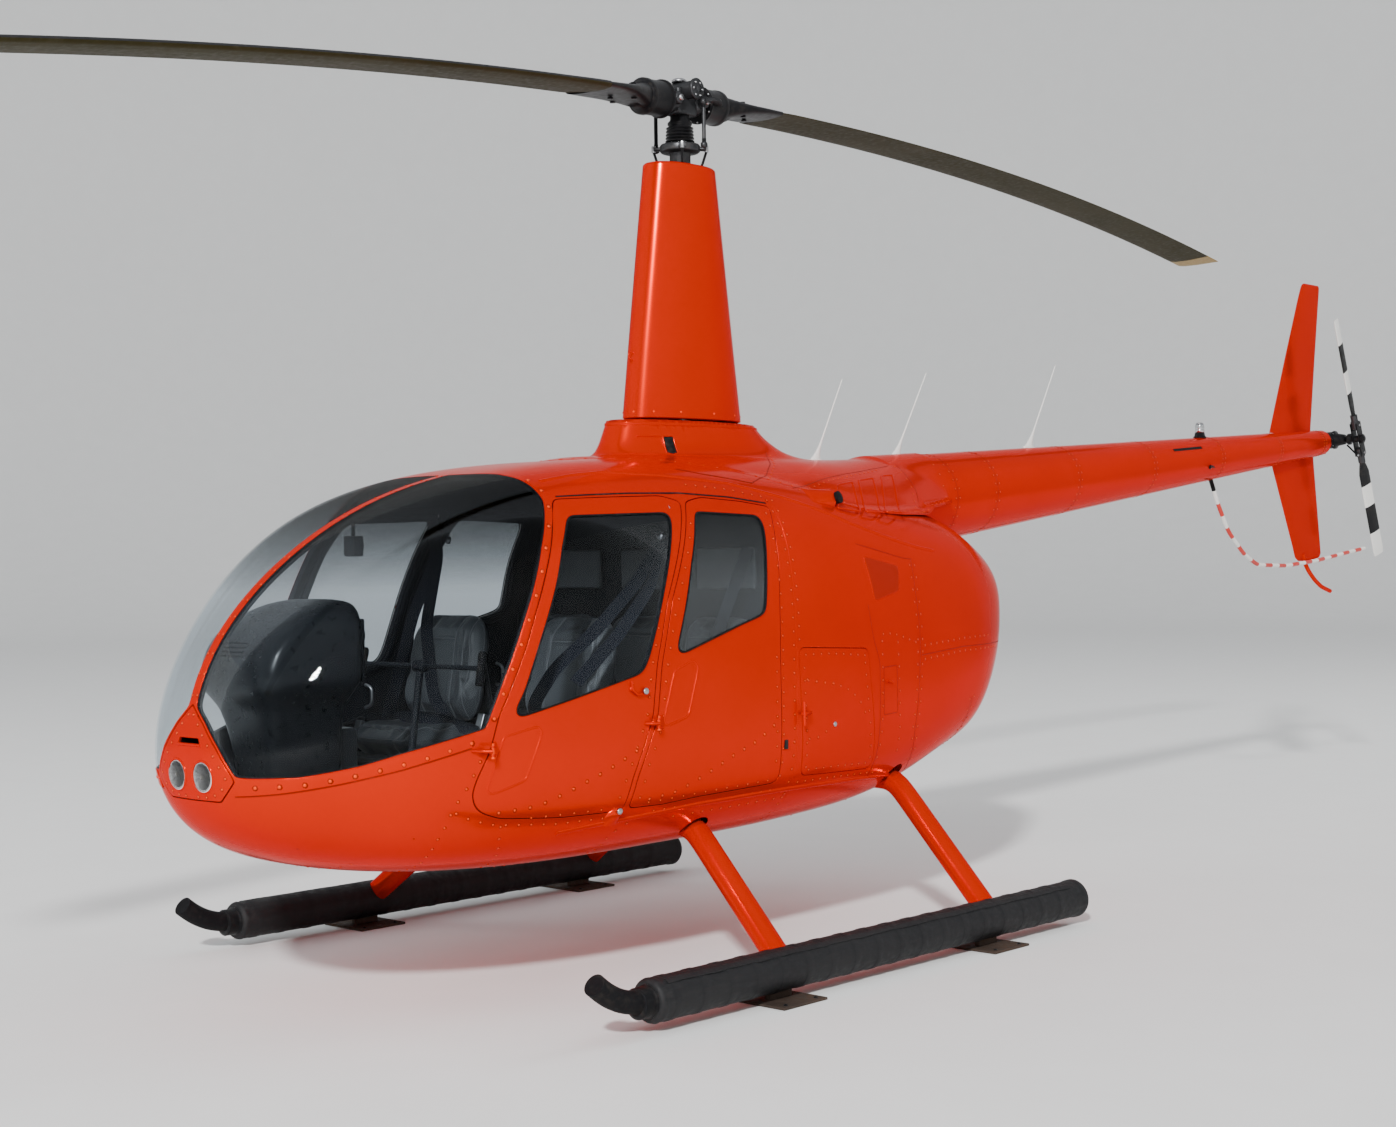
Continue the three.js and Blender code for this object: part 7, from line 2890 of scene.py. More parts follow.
@dataclass
class Seats:
    """Two front seats and a rear bench, with belts."""

    finishes: Finishes

    front_back: Pad = Pad(
        (0.347, -0.965, 1.112), (0.0, 0.190, 0.982), (0.0, -0.982, 0.190), (0.482, 0.472), (0.052, 0.026),
        0.16, 0.024, (-0.168, -0.085, 0.085, 0.168), (0.105,))
    front_seat: Pad = Pad(
        (0.347, -1.150, 0.850), (0.0, -0.999, 0.030), (0.0, 0.030, 0.999), (0.470, 0.430), (0.044, 0.038),
        0.04, 0.016, (-0.162, 0.162), (0.135,))
    bench_x: float = 0.420
    bench_back: Pad = Pad(
        (0.0, -0.262, 1.100), (0.0, 0.125, 0.992), (0.0, -0.992, 0.125), (0.425, 0.452), (0.038, 0.014),
        0.06, 0.012, (-0.140, 0.140), (0.110,), 0.0125)
    bench_seat: Pad = Pad(
        (0.0, -0.468, 0.846), (0.0, -0.999, 0.030), (0.0, 0.030, 0.999), (0.425, 0.345), (0.042, 0.038),
        0.03, 0.010, (-0.140, 0.140), (), 0.0125)

    def build(self) -> None:
        """Makes the seats."""
        f = self.finishes
        finishes = [f.leather, f.stitch, f.plastic, f.belt, f.steel]
        back, seat = self.front_back.parts(), self.front_seat.parts()
        hinge = [tube([(0.16, -0.990, 0.872), (0.52, -0.990, 0.872)], 0.016, 14, 2)]
        shell = [rounded_box([0.165, -0.940, 0.88], [0.525, -0.920, 1.24], 0.010, turning("X", 11.0), 2)]
        for side, sign in (("port", 1), ("starboard", -1)):
            piece = Builder(f"front_seat_{side}_pads", "airframe", finishes, (f"seat_front_{side}",),
                            "seat_leather")
            parts = back + seat + hinge + shell
            if sign < 0:
                parts = [[patch.mirrored() for patch in part] for part in parts]
            piece.add(*parts)
            piece.build()
        bench = Builder("rear_bench_pads", "airframe", finishes, ("seat_rear_bench",), "seat_leather")
        back, seat = self.bench_back.parts(), self.bench_seat.parts()
        for x in (-self.bench_x, 0.0, self.bench_x):
            for part in back + seat:
                bench.add([Patch(q.points + [x, 0, 0], q.faces, q.normals, q.material) for q in part])
        bench.build()
        self._belts(finishes)

    def _belts(self, finishes: list) -> None:
        """Shoulder and lap belts of the four outer seats.

        Args:
            finishes: all materials.
        """
        web = np.array([(-0.023, -0.0011), (0.023, -0.0011), (0.0236, 0.0), (0.023, 0.0011),
                        (-0.023, 0.0011), (-0.0236, 0.0)])
        piece = Builder("seat_belts", "airframe", finishes)
        lap = ((0.585, -1.080, 0.880), (0.520, -1.090, 0.922), (0.400, -1.120, 0.930),
               (0.250, -1.110, 0.928), (0.100, -1.050, 0.880))
        rear = ((0.560, -0.245, 1.560), (0.520, -0.330, 1.330), (0.420, -0.345, 1.100),
                (0.300, -0.380, 0.930))
        lines = (
            ((0.590, -0.760, 1.600), (0.595, -0.880, 1.450), (0.590, -1.080, 1.285), (0.575, -1.280, 1.150),
             (0.560, -1.380, 1.020), (0.585, -1.235, 0.860)),
            ((0.600, -0.770, 1.590), (0.618, -0.850, 1.420), (0.630, -1.030, 1.250),
             (0.625, -1.230, 1.100)),
            ((-0.640, -0.800, 1.700), (-0.500, -0.890, 1.543), (-0.400, -1.040, 1.270),
             (-0.300, -1.090, 1.000), (-0.200, -1.060, 0.880)),
            ((-0.640, -0.800, 1.690), (-0.505, -0.895, 1.543), (-0.520, -1.010, 1.300),
             (-0.530, -1.080, 1.058), (-0.575, -1.110, 0.870)),
            lap, tuple((-x, y, z) for x, y, z in lap), rear, tuple((-x, y, z) for x, y, z in rear),
        )
        for path in lines:
            line = smooth_line(path, 0.03, 0.02)
            out = np.tile(unit(np.array([0.55, -0.8, 0.25])), (len(line), 1))
            piece.add(sweep(line, web, out, material=3))
        buckle = np.array([0.018, 0.011, 0.030])
        for at in ((0.585, -1.225, 0.885), (0.130, -1.000, 0.915)):
            piece.add(rounded_box(np.array(at) - buckle, np.array(at) + buckle, 0.004, turning("X", -20.0),
                                  4), both_sides=True)
        anchor = [(0.0, -0.006), (0.016, -0.006), (0.016, 0.004), (0.010, 0.008), (0.0, 0.009)]
        for at in ((0.590, -0.760, 1.605), (0.640, -0.780, 1.702)):
            piece.add(revolve(anchor, np.array(at), [0.3, -0.9, 0.2], 20, 4), both_sides=True)
        piece.build()


@dataclass
class Cockpit:
    """Floor, bulkhead, seat bases, console, stick, pedals and compass."""

    hull: Hull
    finishes: Finishes

    # Console: level, front, back, half width
    console: Array = held(np.array([
        (0.622, -2.100, -1.830, 0.120), (0.900, -2.130, -1.835, 0.130), (1.040, -2.165, -1.842, 0.158),
        (1.100, -2.205, -1.815, 0.205), (1.130, -2.213, -1.802, 0.220), (1.180, -2.208, -1.798, 0.223),
        (1.240, -2.185, -1.796, 0.224), (1.290, -2.145, -1.794, 0.223), (1.330, -2.095, -1.793, 0.218),
        (1.362, -2.035, -1.795, 0.205), (1.384, -1.975, -1.802, 0.182), (1.396, -1.930, -1.815, 0.145),
        (1.402, -1.895, -1.840, 0.085),
    ]))
    bench_places: tuple = (-0.42, 0.0, 0.42)
    dials_x: tuple = (-0.140, -0.047, 0.047, 0.140)
    dials_z: tuple = (1.182, 1.278)
    dials_y: float = -1.791
    bar: tuple = (-1.400, 1.150)  # station and height of the stick's cross bar
    bar_half: float = 0.330
    pedals_x: tuple = (0.265, 0.375)

    def build(self) -> None:
        """Makes every piece of the cockpit."""
        self._floor()
        self._bulkhead()
        self._bases()
        self._console()
        self._controls()

    def outline(self, z: float, front: float, back: float, gap: float) -> Array:
        """Plan of the cabin at a level, kept a gap inside the skin.

        Args:
            z: level.
            front: first station.
            back: last station.
            gap: distance kept from the skin.

        Returns:
            A closed line.
        """
        y = np.linspace(front, back, 40)
        x = self.hull.skin.from_side(np.stack([y, np.full(40, z)], -1))[:, 0] - gap
        half = np.stack([x, y], -1)
        return np.vstack([half, half[::-1] * [-1, 1]])

    def panel(self, loop: Array, top: float, thickness: float, material: int = 0) -> Part:
        """A flat level panel from its plan.

        Args:
            loop: its plan.
            top: its level.
            thickness: of the panel.
            material: index of the material.

        Returns:
            The closed panel.
        """
        plane, faces = triangulate([loop], 0.06)
        points = np.insert(plane, 2, top, axis=1)
        return slab(points, np.tile([0.0, 0.0, 1.0], (len(points), 1)), faces, thickness, 0.001, material,
                    material)

    def _floor(self) -> None:
        """Carpeted floor with mats."""
        f = self.finishes
        piece = Builder("cabin_floor_panel", "airframe", [f.carpet, f.rubber_and_shade, f.steel], ("cabin_floor",),
                        "cabin_black")
        piece.add(self.panel(self.outline(0.62, -2.145, -0.215, 0.036), 0.620, 0.020))
        for x in (0.34, -0.34):
            piece.add(rounded_box([x - 0.17, -1.86, 0.6205], [x + 0.17, -1.42, 0.6265], 0.003, material=1))
        piece.build()

    def _bulkhead(self) -> None:
        """Upholstered wall behind the rear seats."""
        f, skin = self.finishes, self.hull.skin
        ring = skin.inset(skin.ring(-0.195, -90, 90, 0.03), 0.0)
        half = ring - skin.normal(ring) * 0.030
        half = half[half[:, 0] > 0.004][:, [0, 2]]
        loop = np.vstack([half, half[::-1] * [-1, 1]])
        plane, faces = triangulate([loop], 0.05)
        points = np.stack([plane[:, 0], np.full(len(plane), -0.2095), plane[:, 1]], -1)
        piece = Builder("bulkhead_panel", "airframe", [f.trim, f.plastic, f.leather], ("cabin_bulkhead",),
                        "cabin_black")
        piece.add(slab(points, np.tile([0.0, -1.0, 0.0], (len(points), 1)), faces, 0.028, 0.001, 0, 0))
        for x in self.bench_places:
            piece.add(rounded_box([x - 0.15, -0.2225, 1.40], [x + 0.15, -0.2065, 1.56], 0.008, material=2))
        piece.build()

    def _bases(self) -> None:
        """Seat boxes with lids, front and rear."""
        f = self.finishes
        front = Builder("front_seat_boxes", "airframe", [f.plastic, f.trim, f.steel], ("seat_base_front",),
                        "cabin_black")
        front.add(rounded_box([0.096, -1.338, 0.622], [0.584, -0.822, 0.797], 0.012), both_sides=True)
        front.add(rounded_box([0.115, -1.3395, 0.650], [0.565, -1.334, 0.775], 0.0025,
                              material=1), both_sides=True)
        front.add(rounded_box([-0.094, -1.25, 0.622], [0.094, -0.86, 0.735], 0.010))
        front.build()
        rear = Builder("rear_seat_box", "airframe", [f.plastic, f.trim], ("seat_base_rear",), "cabin_black")
        rear.add(rounded_box([-0.638, -0.618, 0.622], [0.638, -0.213, 0.797], 0.012))
        for x in self.bench_places:
            rear.add(rounded_box([x - 0.18, -0.6198, 0.650], [x + 0.18, -0.614, 0.775], 0.0025, material=1))
        rear.build()

    def _hood(self, z: Array, a: Array) -> Array:
        """Points of the console by level and angle, 0 to port and a quarter turn aft.

        Args:
            z: levels.
            a: angles.

        Returns:
            Points in metres.
        """
        front, back, half = [np.interp(z, self.console[:, 0], self.console[:, k]) for k in (1, 2, 3)]
        c, s = np.cos(a), np.sin(a)
        power = 2 / np.interp(z, [1.05, 1.28, 1.40], [7.0, 6.0, 3.2])
        x = half * np.sign(c) * np.abs(c) ** power
        y = (front + back) / 2 + (back - front) / 2 * np.sign(s) * np.abs(s) ** power
        return np.stack(np.broadcast_arrays(x, y, z), -1)

    def _console(self) -> None:
        """Console with its hood, vents, instruments and pedestal."""
        f = self.finishes
        piece = Builder("console_pod", "airframe",
                        [f.hood, f.plastic, f.rubber_and_shade, f.lamp_glass, f.stitch, f.steel, f.trim],
                        ("instrument_console",), "cabin_black")
        levels = np.concatenate([np.linspace(self.console[k, 0], self.console[k + 1, 0], 5)[:-1]
                                 for k in range(12)])
        levels = np.append(levels, self.console[-1, 0])
        rings = self._hood(levels[:, None], np.linspace(0, 2 * math.pi, 96, endpoint=False)[None])
        blur = np.array([0.25, 0.5, 0.25])
        for _ in range(2):
            rings[1:-1] = rings[:-2] * blur[0] + rings[1:-1] * blur[1] + rings[2:] * blur[2]
        piece.add(loft(rings))
        for k in range(4):
            level = 1.222 + 0.014 * k
            for low, high in ((-0.115, -0.045), (-0.030, 0.040)):
                x = np.linspace(low, high, 8)
                a = -math.pi / 2 + np.arcsin(np.clip((np.abs(x) / 0.22) ** 3.0, 0, 1)) * np.sign(x)
                line = self._hood(np.full(8, level), a) + [0.0, -0.0012, 0.0]
                piece.add(tube(line, 0.0036, 8, 2))
        panel_low, panel_high = np.array([-0.185, -1.806, 1.120]), np.array([0.185, -1.791, 1.335])
        piece.add(rounded_box(panel_low, panel_high, 0.006, material=6))
        bezel = [(0.0, 0.002), (0.033, 0.002), (0.033, 0.002), (0.034, 0.006), (0.038, 0.006),
                 (0.040, 0.003), (0.040, -0.004), (0.0, -0.004)]
        for x in self.dials_x:
            for z in self.dials_z:
                at = np.array([x, self.dials_y, z])
                piece.add(revolve(bezel, at, [0, 1, 0], 32, 1))
                face = [(0.0, 0.0034), (0.031, 0.0034), (0.031, 0.0024), (0.0, 0.0024)]
                piece.add(revolve(face, at, [0, 1, 0], 28, 2))
                hand = tube([at + [0, 0.0042, 0], at + [0.012, 0.0042, 0.020]], 0.0012, 6, 4)
                piece.add(hand)
        for k in range(6):
            at = np.array([-0.15 + 0.06 * k, -1.793, 1.128])
            piece.add(tube([at, at + [0, 0.016, 0.006]], 0.0035, 8, 5))
        piece.add(rounded_box([-0.105, -1.850, 0.622], [0.105, -1.762, 0.960], 0.014, material=1))
        for k, x in enumerate((-0.06, 0.0, 0.06)):
            knob = [(0.0, -0.004), (0.006, -0.004), (0.006, 0.010), (0.013, 0.012), (0.013, 0.022),
                    (0.0, 0.024)]
            piece.add(revolve(knob, np.array([x, -1.762, 0.90 - 0.02 * k]), [0, 1, 0], 16,
                              5 if k == 1 else 1))
        piece.build()

    def _controls(self) -> None:
        """T-bar stick, pedals and the compass on the centre post."""
        f = self.finishes
        stick = Builder("control_stick", "airframe", [f.trim, f.rubber_and_shade, f.plastic, f.steel],
                        ("cyclic_stick",), "cabin_black")
        stem = smooth_line([(0.0, -1.480, 0.621), (0.0, -1.468, 0.70), (0.0, -1.430, 0.95),
                            (0.0, *self.bar)], 0.03, 0.02)
        stick.add(tube(stem, 0.0135, 16))
        boot = [(0.052, 0.0), (0.052, 0.004), (0.038, 0.012), (0.042, 0.020), (0.030, 0.028),
                (0.033, 0.036), (0.022, 0.046), (0.024, 0.054), (0.014, 0.066)]
        stick.add(revolve(boot, np.array([0.0, -1.480, 0.6205]), [0, 0.06, 1], 24, 1))
        middle = np.array([0.0, *self.bar])
        end = middle + [self.bar_half, 0, 0]
        stick.add(tube([end * [-1, 1, 1], end], 0.0085, 14))
        hub = [(0.0, -0.030), (0.020, -0.028), (0.023, -0.020), (0.023, 0.020), (0.020, 0.028),
               (0.0, 0.030)]
        stick.add(revolve(hub, middle, [1, 0, 0], 20, 0))
        grip = [(0.0, -0.062), (0.012, -0.062), (0.0155, -0.055), (0.0150, -0.030), (0.0165, -0.010),
                (0.0145, 0.015), (0.0165, 0.035), (0.0160, 0.052), (0.010, 0.060), (0.0, 0.061)]
        stick.add(revolve(grip, end, [0.0, 0.18, 1.0], 20, 1), both_sides=True)
        stick.build()
        for side, sign in (("port", 1), ("starboard", -1)):
            piece = Builder(f"{side}_foot_pedals", "airframe", [f.dark_metal, f.rubber_and_shade],
                            (f"pedals_{side}",), "dark_metal")
            for x in self.pedals_x:
                arm = np.array([(x, -1.960, 0.6215), (x, -1.965, 0.70), (x, -1.975, 0.78)]) * [sign, 1, 1]
                piece.add(tube(smooth_line(arm, 0.01, 0.01), 0.0095, 12))
                middle = np.array([x * sign, -1.972, 0.785])
                half = np.array([0.037, 0.006, 0.042])
                piece.add(rounded_box(middle - half, middle + half, 0.004, turning("X", 14.0)))
                for k in (-0.024, -0.008, 0.008, 0.024):
                    rib = middle + [0, 0.0085 - k * 0.25, k]
                    piece.add(rounded_box(rib - [0.033, 0.002, 0.003], rib + [0.033, 0.002, 0.003], 0.001,
                                          material=1))
            piece.build()
        box = Builder("compass_box", "airframe", [f.plastic, f.black_metal, f.lamp_glass, f.stitch],
                      ("compass",), "cabin_black")
        box.add(rounded_box([-0.029, -1.716, 1.546], [0.029, -1.668, 1.618], 0.008))
        box.add(rounded_box([-0.006, -1.698, 1.614], [0.006, -1.688, 1.678], 0.002, material=1))
        bezel = [(0.0, 0.002), (0.018, 0.002), (0.019, 0.005), (0.023, 0.005), (0.023, -0.004),
                 (0.0, -0.004)]
        box.add(revolve(bezel, np.array([0.0, -1.669, 1.582]), [0, 1, 0], 28, 1))
        box.build()


@dataclass
class Bay:
    """Baggage bay's liner and the engine behind its firewall."""

    hull: Hull
    finishes: Finishes

    run: tuple = (-0.176, 0.408)
    gap: float = 0.034
    # Level of the plan, level of the face, thickness and material of the floor and of the ceiling
    decks: tuple = ((0.665, 0.667, 0.012, 1), (1.205, 1.2165, 0.012, 0))
    firewall_y: float = 0.400
    engine: Array = held(np.array([(-0.259, 0.414, 0.881), (0.259, 1.249, 1.399)]))

    def build(self) -> None:
        """Makes the liner, and the engine as one plain block with rounded edges."""
        f, skin = self.finishes, self.hull.skin
        piece = Builder("bay_liner_panels", "airframe", [f.steel, f.carpet], ("baggage_bay_liner",),
                        "bare_steel")
        cockpit = Cockpit(self.hull, f)
        for plan, top, thickness, material in self.decks:
            loop = cockpit.outline(plan, *self.run, self.gap)
            piece.add(cockpit.panel(loop, top, thickness, material))
        z = np.linspace(0.668, 1.203, 24)
        x = skin.from_side(np.stack([np.full(24, 0.406), z], -1))[:, 0] - self.gap
        half = np.stack([x, z], -1)
        plane, faces = triangulate([np.vstack([half, half[::-1] * [-1, 1]])], 0.06)
        wall = np.stack([plane[:, 0], np.full(len(plane), self.firewall_y), plane[:, 1]], -1)
        piece.add(slab(wall, np.tile([0.0, -1.0, 0.0], (len(wall), 1)), faces, 0.011, 0.001, 0, 0)).build()
        engine = Builder("engine_case", "airframe", [f.dark_metal], ("engine_block",), "dark_metal")
        engine.add(rounded_box(*self.engine, 0.03)).build()


@dataclass
class RotorHead:
    """Teetering hub, its mast, boot, swashplate and pitch links."""

    rotor: MainRotor
    finishes: Finishes

    # Offset of the pitch links from the mast in the plan, their top from the hub's middle, and their foot
    link: tuple = (0.112, 0.024)
    link_top: float = -0.012
    link_low: float = 3.198

    def _frame(self, sign: float) -> tuple[Array, Array]:
        """Directions along and across a blade.

        Args:
            sign: 1 for the one side, -1 for the other.

        Returns:
            Unit vectors along the blade and across it.
        """
        along = self.rotor.place(np.array([0.2, 0.3]), sign, np.zeros(2), np.zeros(2))
        along = unit(along[1] - along[0])
        return along, unit(np.cross([0.0, 0.0, 1.0], along))

    def build(self) -> None:
        """Makes the hub, the swashplate and the mast."""
        f = self.finishes
        hub = Builder("rotor_head", "main_rotor", [f.dark_metal, f.black_metal, f.steel],
                      ("main_rotor_hub",), "dark_metal")
        top = np.array([0.0, 0.0, self.rotor.hub_z])
        along, across = self._frame(1.0)
        flat = unit(along * [1, 1, 0])
        turn = np.stack([flat, np.cross([0, 0, 1.0], flat), [0, 0, 1.0]], -1)
        block = rounded_box([-0.062, -0.046, -0.058], [0.062, 0.046, 0.050], 0.012)
        hub.add([Patch(q.points @ turn.T + top, q.faces, q.shaded() @ turn.T, q.material) for q in block])
        barrel = [(0.0, -0.105), (0.014, -0.105), (0.014, -0.098), (0.040, -0.098), (0.044, -0.094),
                  (0.044, -0.086), (0.037, -0.082),
                  (0.037, 0.082), (0.044, 0.086), (0.044, 0.094), (0.040, 0.098), (0.014, 0.098),
                  (0.014, 0.105), (0.0, 0.105)]
        hub.add(revolve(barrel, top + [0, 0, 0.040], across, 32))
        for end in (-1, 1):
            bolts = circle(0.029, 6)
            at = top + [0, 0, 0.040] + across * 0.098 * end + bolts[:, :1] * flat
            at = at + bolts[:, 1:] * [0, 0, 1.0]
            hub.add(studs(at, np.tile(across * end, (6, 1)), 0.0045, 0.004, 2))
        for sign in (1.0, -1.0):
            self._grip(hub, sign)
        hub.add(revolve([(0.0, 0.0), (0.031, 0.0), (0.031, 0.010), (0.022, 0.016), (0.012, 0.018),
                         (0.0, 0.018)],
                        top + [0, 0, 0.077], [0, 0, 1], 24, 2))
        self._links(hub)
        hub.build()
        self._swashplate()
        mast = Builder("mast_shaft", "airframe", [f.bright, f.dark_metal], ("mast_tube",), "bare_steel")
        mast.add(tube([(0.0, 0.0, 2.074), (0.0, 0.0, 3.10)], 0.0295, 32)).build()

    def _grip(self, hub: Builder, sign: float) -> None:
        """Coning hinge, drum and blade root of one side.

        Args:
            hub: takes the parts.
            sign: 1 for the one side, -1 for the other.
        """
        along, across = self._frame(sign)
        middle = self.rotor.place(np.array([0.0]), sign, np.zeros(1), np.zeros(1))[0]
        up = np.cross(along, across)
        yoke = [(0.0, 0.045), (0.046, 0.045), (0.052, 0.060), (0.052, 0.100), (0.044, 0.110),
                (0.044, 0.118), (0.0, 0.118)]
        hub.add(revolve(yoke, middle, along, 32))
        pin = [(0.0, -0.074), (0.022, -0.074), (0.026, -0.066), (0.026, 0.066), (0.022, 0.074),
               (0.0, 0.074)]
        hub.add(revolve(pin, middle + along * 0.085, across, 24))
        nut = [(0.0, -0.082), (0.013, -0.082), (0.013, -0.070), (0.013, 0.070), (0.013, 0.082),
               (0.0, 0.082)]
        hub.add(revolve(nut, middle + along * 0.085, across, 6, 2))
        drum = [(0.0, 0.116), (0.066, 0.116), (0.078, 0.119), (0.078, 0.128), (0.071, 0.132),
                (0.071, 0.222), (0.074, 0.226),
                (0.074, 0.244), (0.068, 0.252), (0.050, 0.258), (0.050, 0.300), (0.0, 0.300)]
        hub.add(revolve(drum, middle, along, 48, 1))
        bolts = circle(0.0715, 12)
        at = middle + along * 0.1155 + bolts[:, :1] * across + bolts[:, 1:] * up
        hub.add(studs(at, np.tile(-along, (12, 1)), 0.0042, 0.004, 2))
        r = np.array([0.235, 0.27, 0.32, 0.39, 0.47, 0.565])
        wide, tall = [0.124, 0.140, 0.175, 0.212, 0.236, 0.240], [0.104, 0.094, 0.074, 0.052, 0.040, 0.033]
        ring = circle(1.0, 32)
        ring = np.sign(ring) * np.abs(ring) ** 0.8
        rings = [self.rotor.place(np.full(32, v), sign, ring[:, 0] * w / 2, ring[:, 1] * t / 2) for v, w,
                 t in zip(r, wide, tall)]
        hub.add(loft(np.array(rings), 1))
        for v, side in ((0.36, -0.055), (0.36, 0.055), (0.44, 0.0)):
            at = self.rotor.place(np.array([v]), sign, np.array([side]), np.array([0.0]))[0]
            bolt = [(0.0, -0.032), (0.012, -0.032), (0.012, -0.026), (0.007, -0.026), (0.007, 0.026),
                    (0.012, 0.026), (0.012, 0.032), (0.0, 0.032)]
            hub.add(revolve(bolt, at, up, 12, 1))
        link = self._link(sign)
        turn = np.sign(link @ across)
        top = link + [0.0, 0.0, self.rotor.hub_z + self.link_top]
        horn = smooth_line([middle + along * 0.19 + across * 0.055 * turn,
                            middle + along * 0.13 + across * 0.100 * turn,
                            middle + along * 0.06 + across * 0.118 * turn, top], 0.012, 0.008)
        arm = np.array([(-0.015, -0.009), (0.015, -0.009), (0.017, 0.0), (0.015, 0.009), (-0.015, 0.009),
                        (-0.017, 0.0)])
        hub.add(sweep(horn, arm, np.tile([0.0, 0.0, 1.0], (len(horn), 1))))

    def _link(self, sign: float) -> Array:
        """Offset of a pitch link from the mast, as three numbers with no height."""
        return sign * np.array([self.link[0], self.link[1], 0.0])

    def _links(self, hub: Builder) -> None:
        """Pitch links from the swashplate to the horns, and the ribbed boot on the mast between.

        Args:
            hub: takes the parts.
        """
        for sign in (1.0, -1.0):
            _, across = self._frame(sign)
            high = self._link(sign) + [0.0, 0.0, self.rotor.hub_z + self.link_top]
            low = self._link(sign) + [0.0, 0.0, self.link_low]
            hub.add(tube(even([low, high], 0.02), 0.0082, 12, 0 if sign > 0 else 1))
            for at, turn in ((low, 1), (high, -1)):
                end = at + (high - low) * 0.06 * turn
                hub.add(tube([at - [0, 0, 0.004], end + (high - low) * 0.08 * turn], 0.0092, 12, 1))
                eye = [(0.0, -0.009), (0.012, -0.009), (0.014, 0.0), (0.012, 0.009), (0.0, 0.009)]
                hub.add(revolve(eye, at, unit(across * [1, 1, 0]), 16))
        boot = [(0.0, 3.214), (0.045, 3.214)]
        for k in range(5):
            boot += [(0.060 - 0.001 * k, 3.219 + 0.0135 * k), (0.060 - 0.001 * k, 3.223 + 0.0135 * k),
                     (0.044, 3.229 + 0.0135 * k)]
        boot += [(0.050, 3.290), (0.050, 3.298), (0.040, 3.308), (0.038, 3.335), (0.0, 3.335)]
        hub.add(revolve(boot, np.zeros(3), [0, 0, 1], 36, 1))

    def _swashplate(self) -> None:
        """Ring with arms, the thick tube under it and its control rods."""
        f = self.finishes
        piece = Builder("swashplate_ring", "airframe", [f.dark_metal, f.black_metal, f.steel],
                        ("swashplate",), "dark_metal")
        sleeve = [(0.0, 3.100), (0.043, 3.100), (0.043, 3.172), (0.052, 3.174), (0.076, 3.176),
                  (0.082, 3.181), (0.083, 3.187),
                  (0.083, 3.202), (0.079, 3.208), (0.060, 3.211), (0.0, 3.211)]
        piece.add(revolve(sleeve, np.zeros(3), [0, 0, 1], 40))
        for turn in (42.7, 132.7, 222.7, 318.0):
            a = math.radians(turn)
            out = np.array([math.cos(a), math.sin(a), 0.0])
            arm = np.array([out * 0.070 + [0, 0, 3.193], out * 0.096 + [0, 0, 3.191],
                            out * 0.108 + [0, 0, 3.191]])
            flat = np.array([(-0.016, -0.008), (0.016, -0.008), (0.018, 0.0), (0.016, 0.008),
                             (-0.016, 0.008), (-0.018, 0.0)])
            piece.add(sweep(arm, flat * [0.8, 0.9], np.tile([0.0, 0.0, 1.0], (3, 1))))
            piece.add(revolve([(0.0, -0.013), (0.009, -0.013), (0.009, 0.013), (0.0, 0.015)],
                              arm[2], [0, 0, 1], 6, 2))
            rod = np.array([arm[2] - [0, 0, 0.010], out * 0.088 + [0, 0, 3.120],
                            out * 0.070 + [0, 0, 3.085]])
            piece.add(tube(smooth_line(rod, 0.01, 0.01), 0.0055, 10, 1))
        ring = circle(0.0665, 14)
        at = np.insert(ring, 2, 3.210, axis=1)
        piece.add(studs(at, np.tile([0.0, 0.0, 1.0], (14, 1)), 0.004, 0.003, 2))
        piece.build()


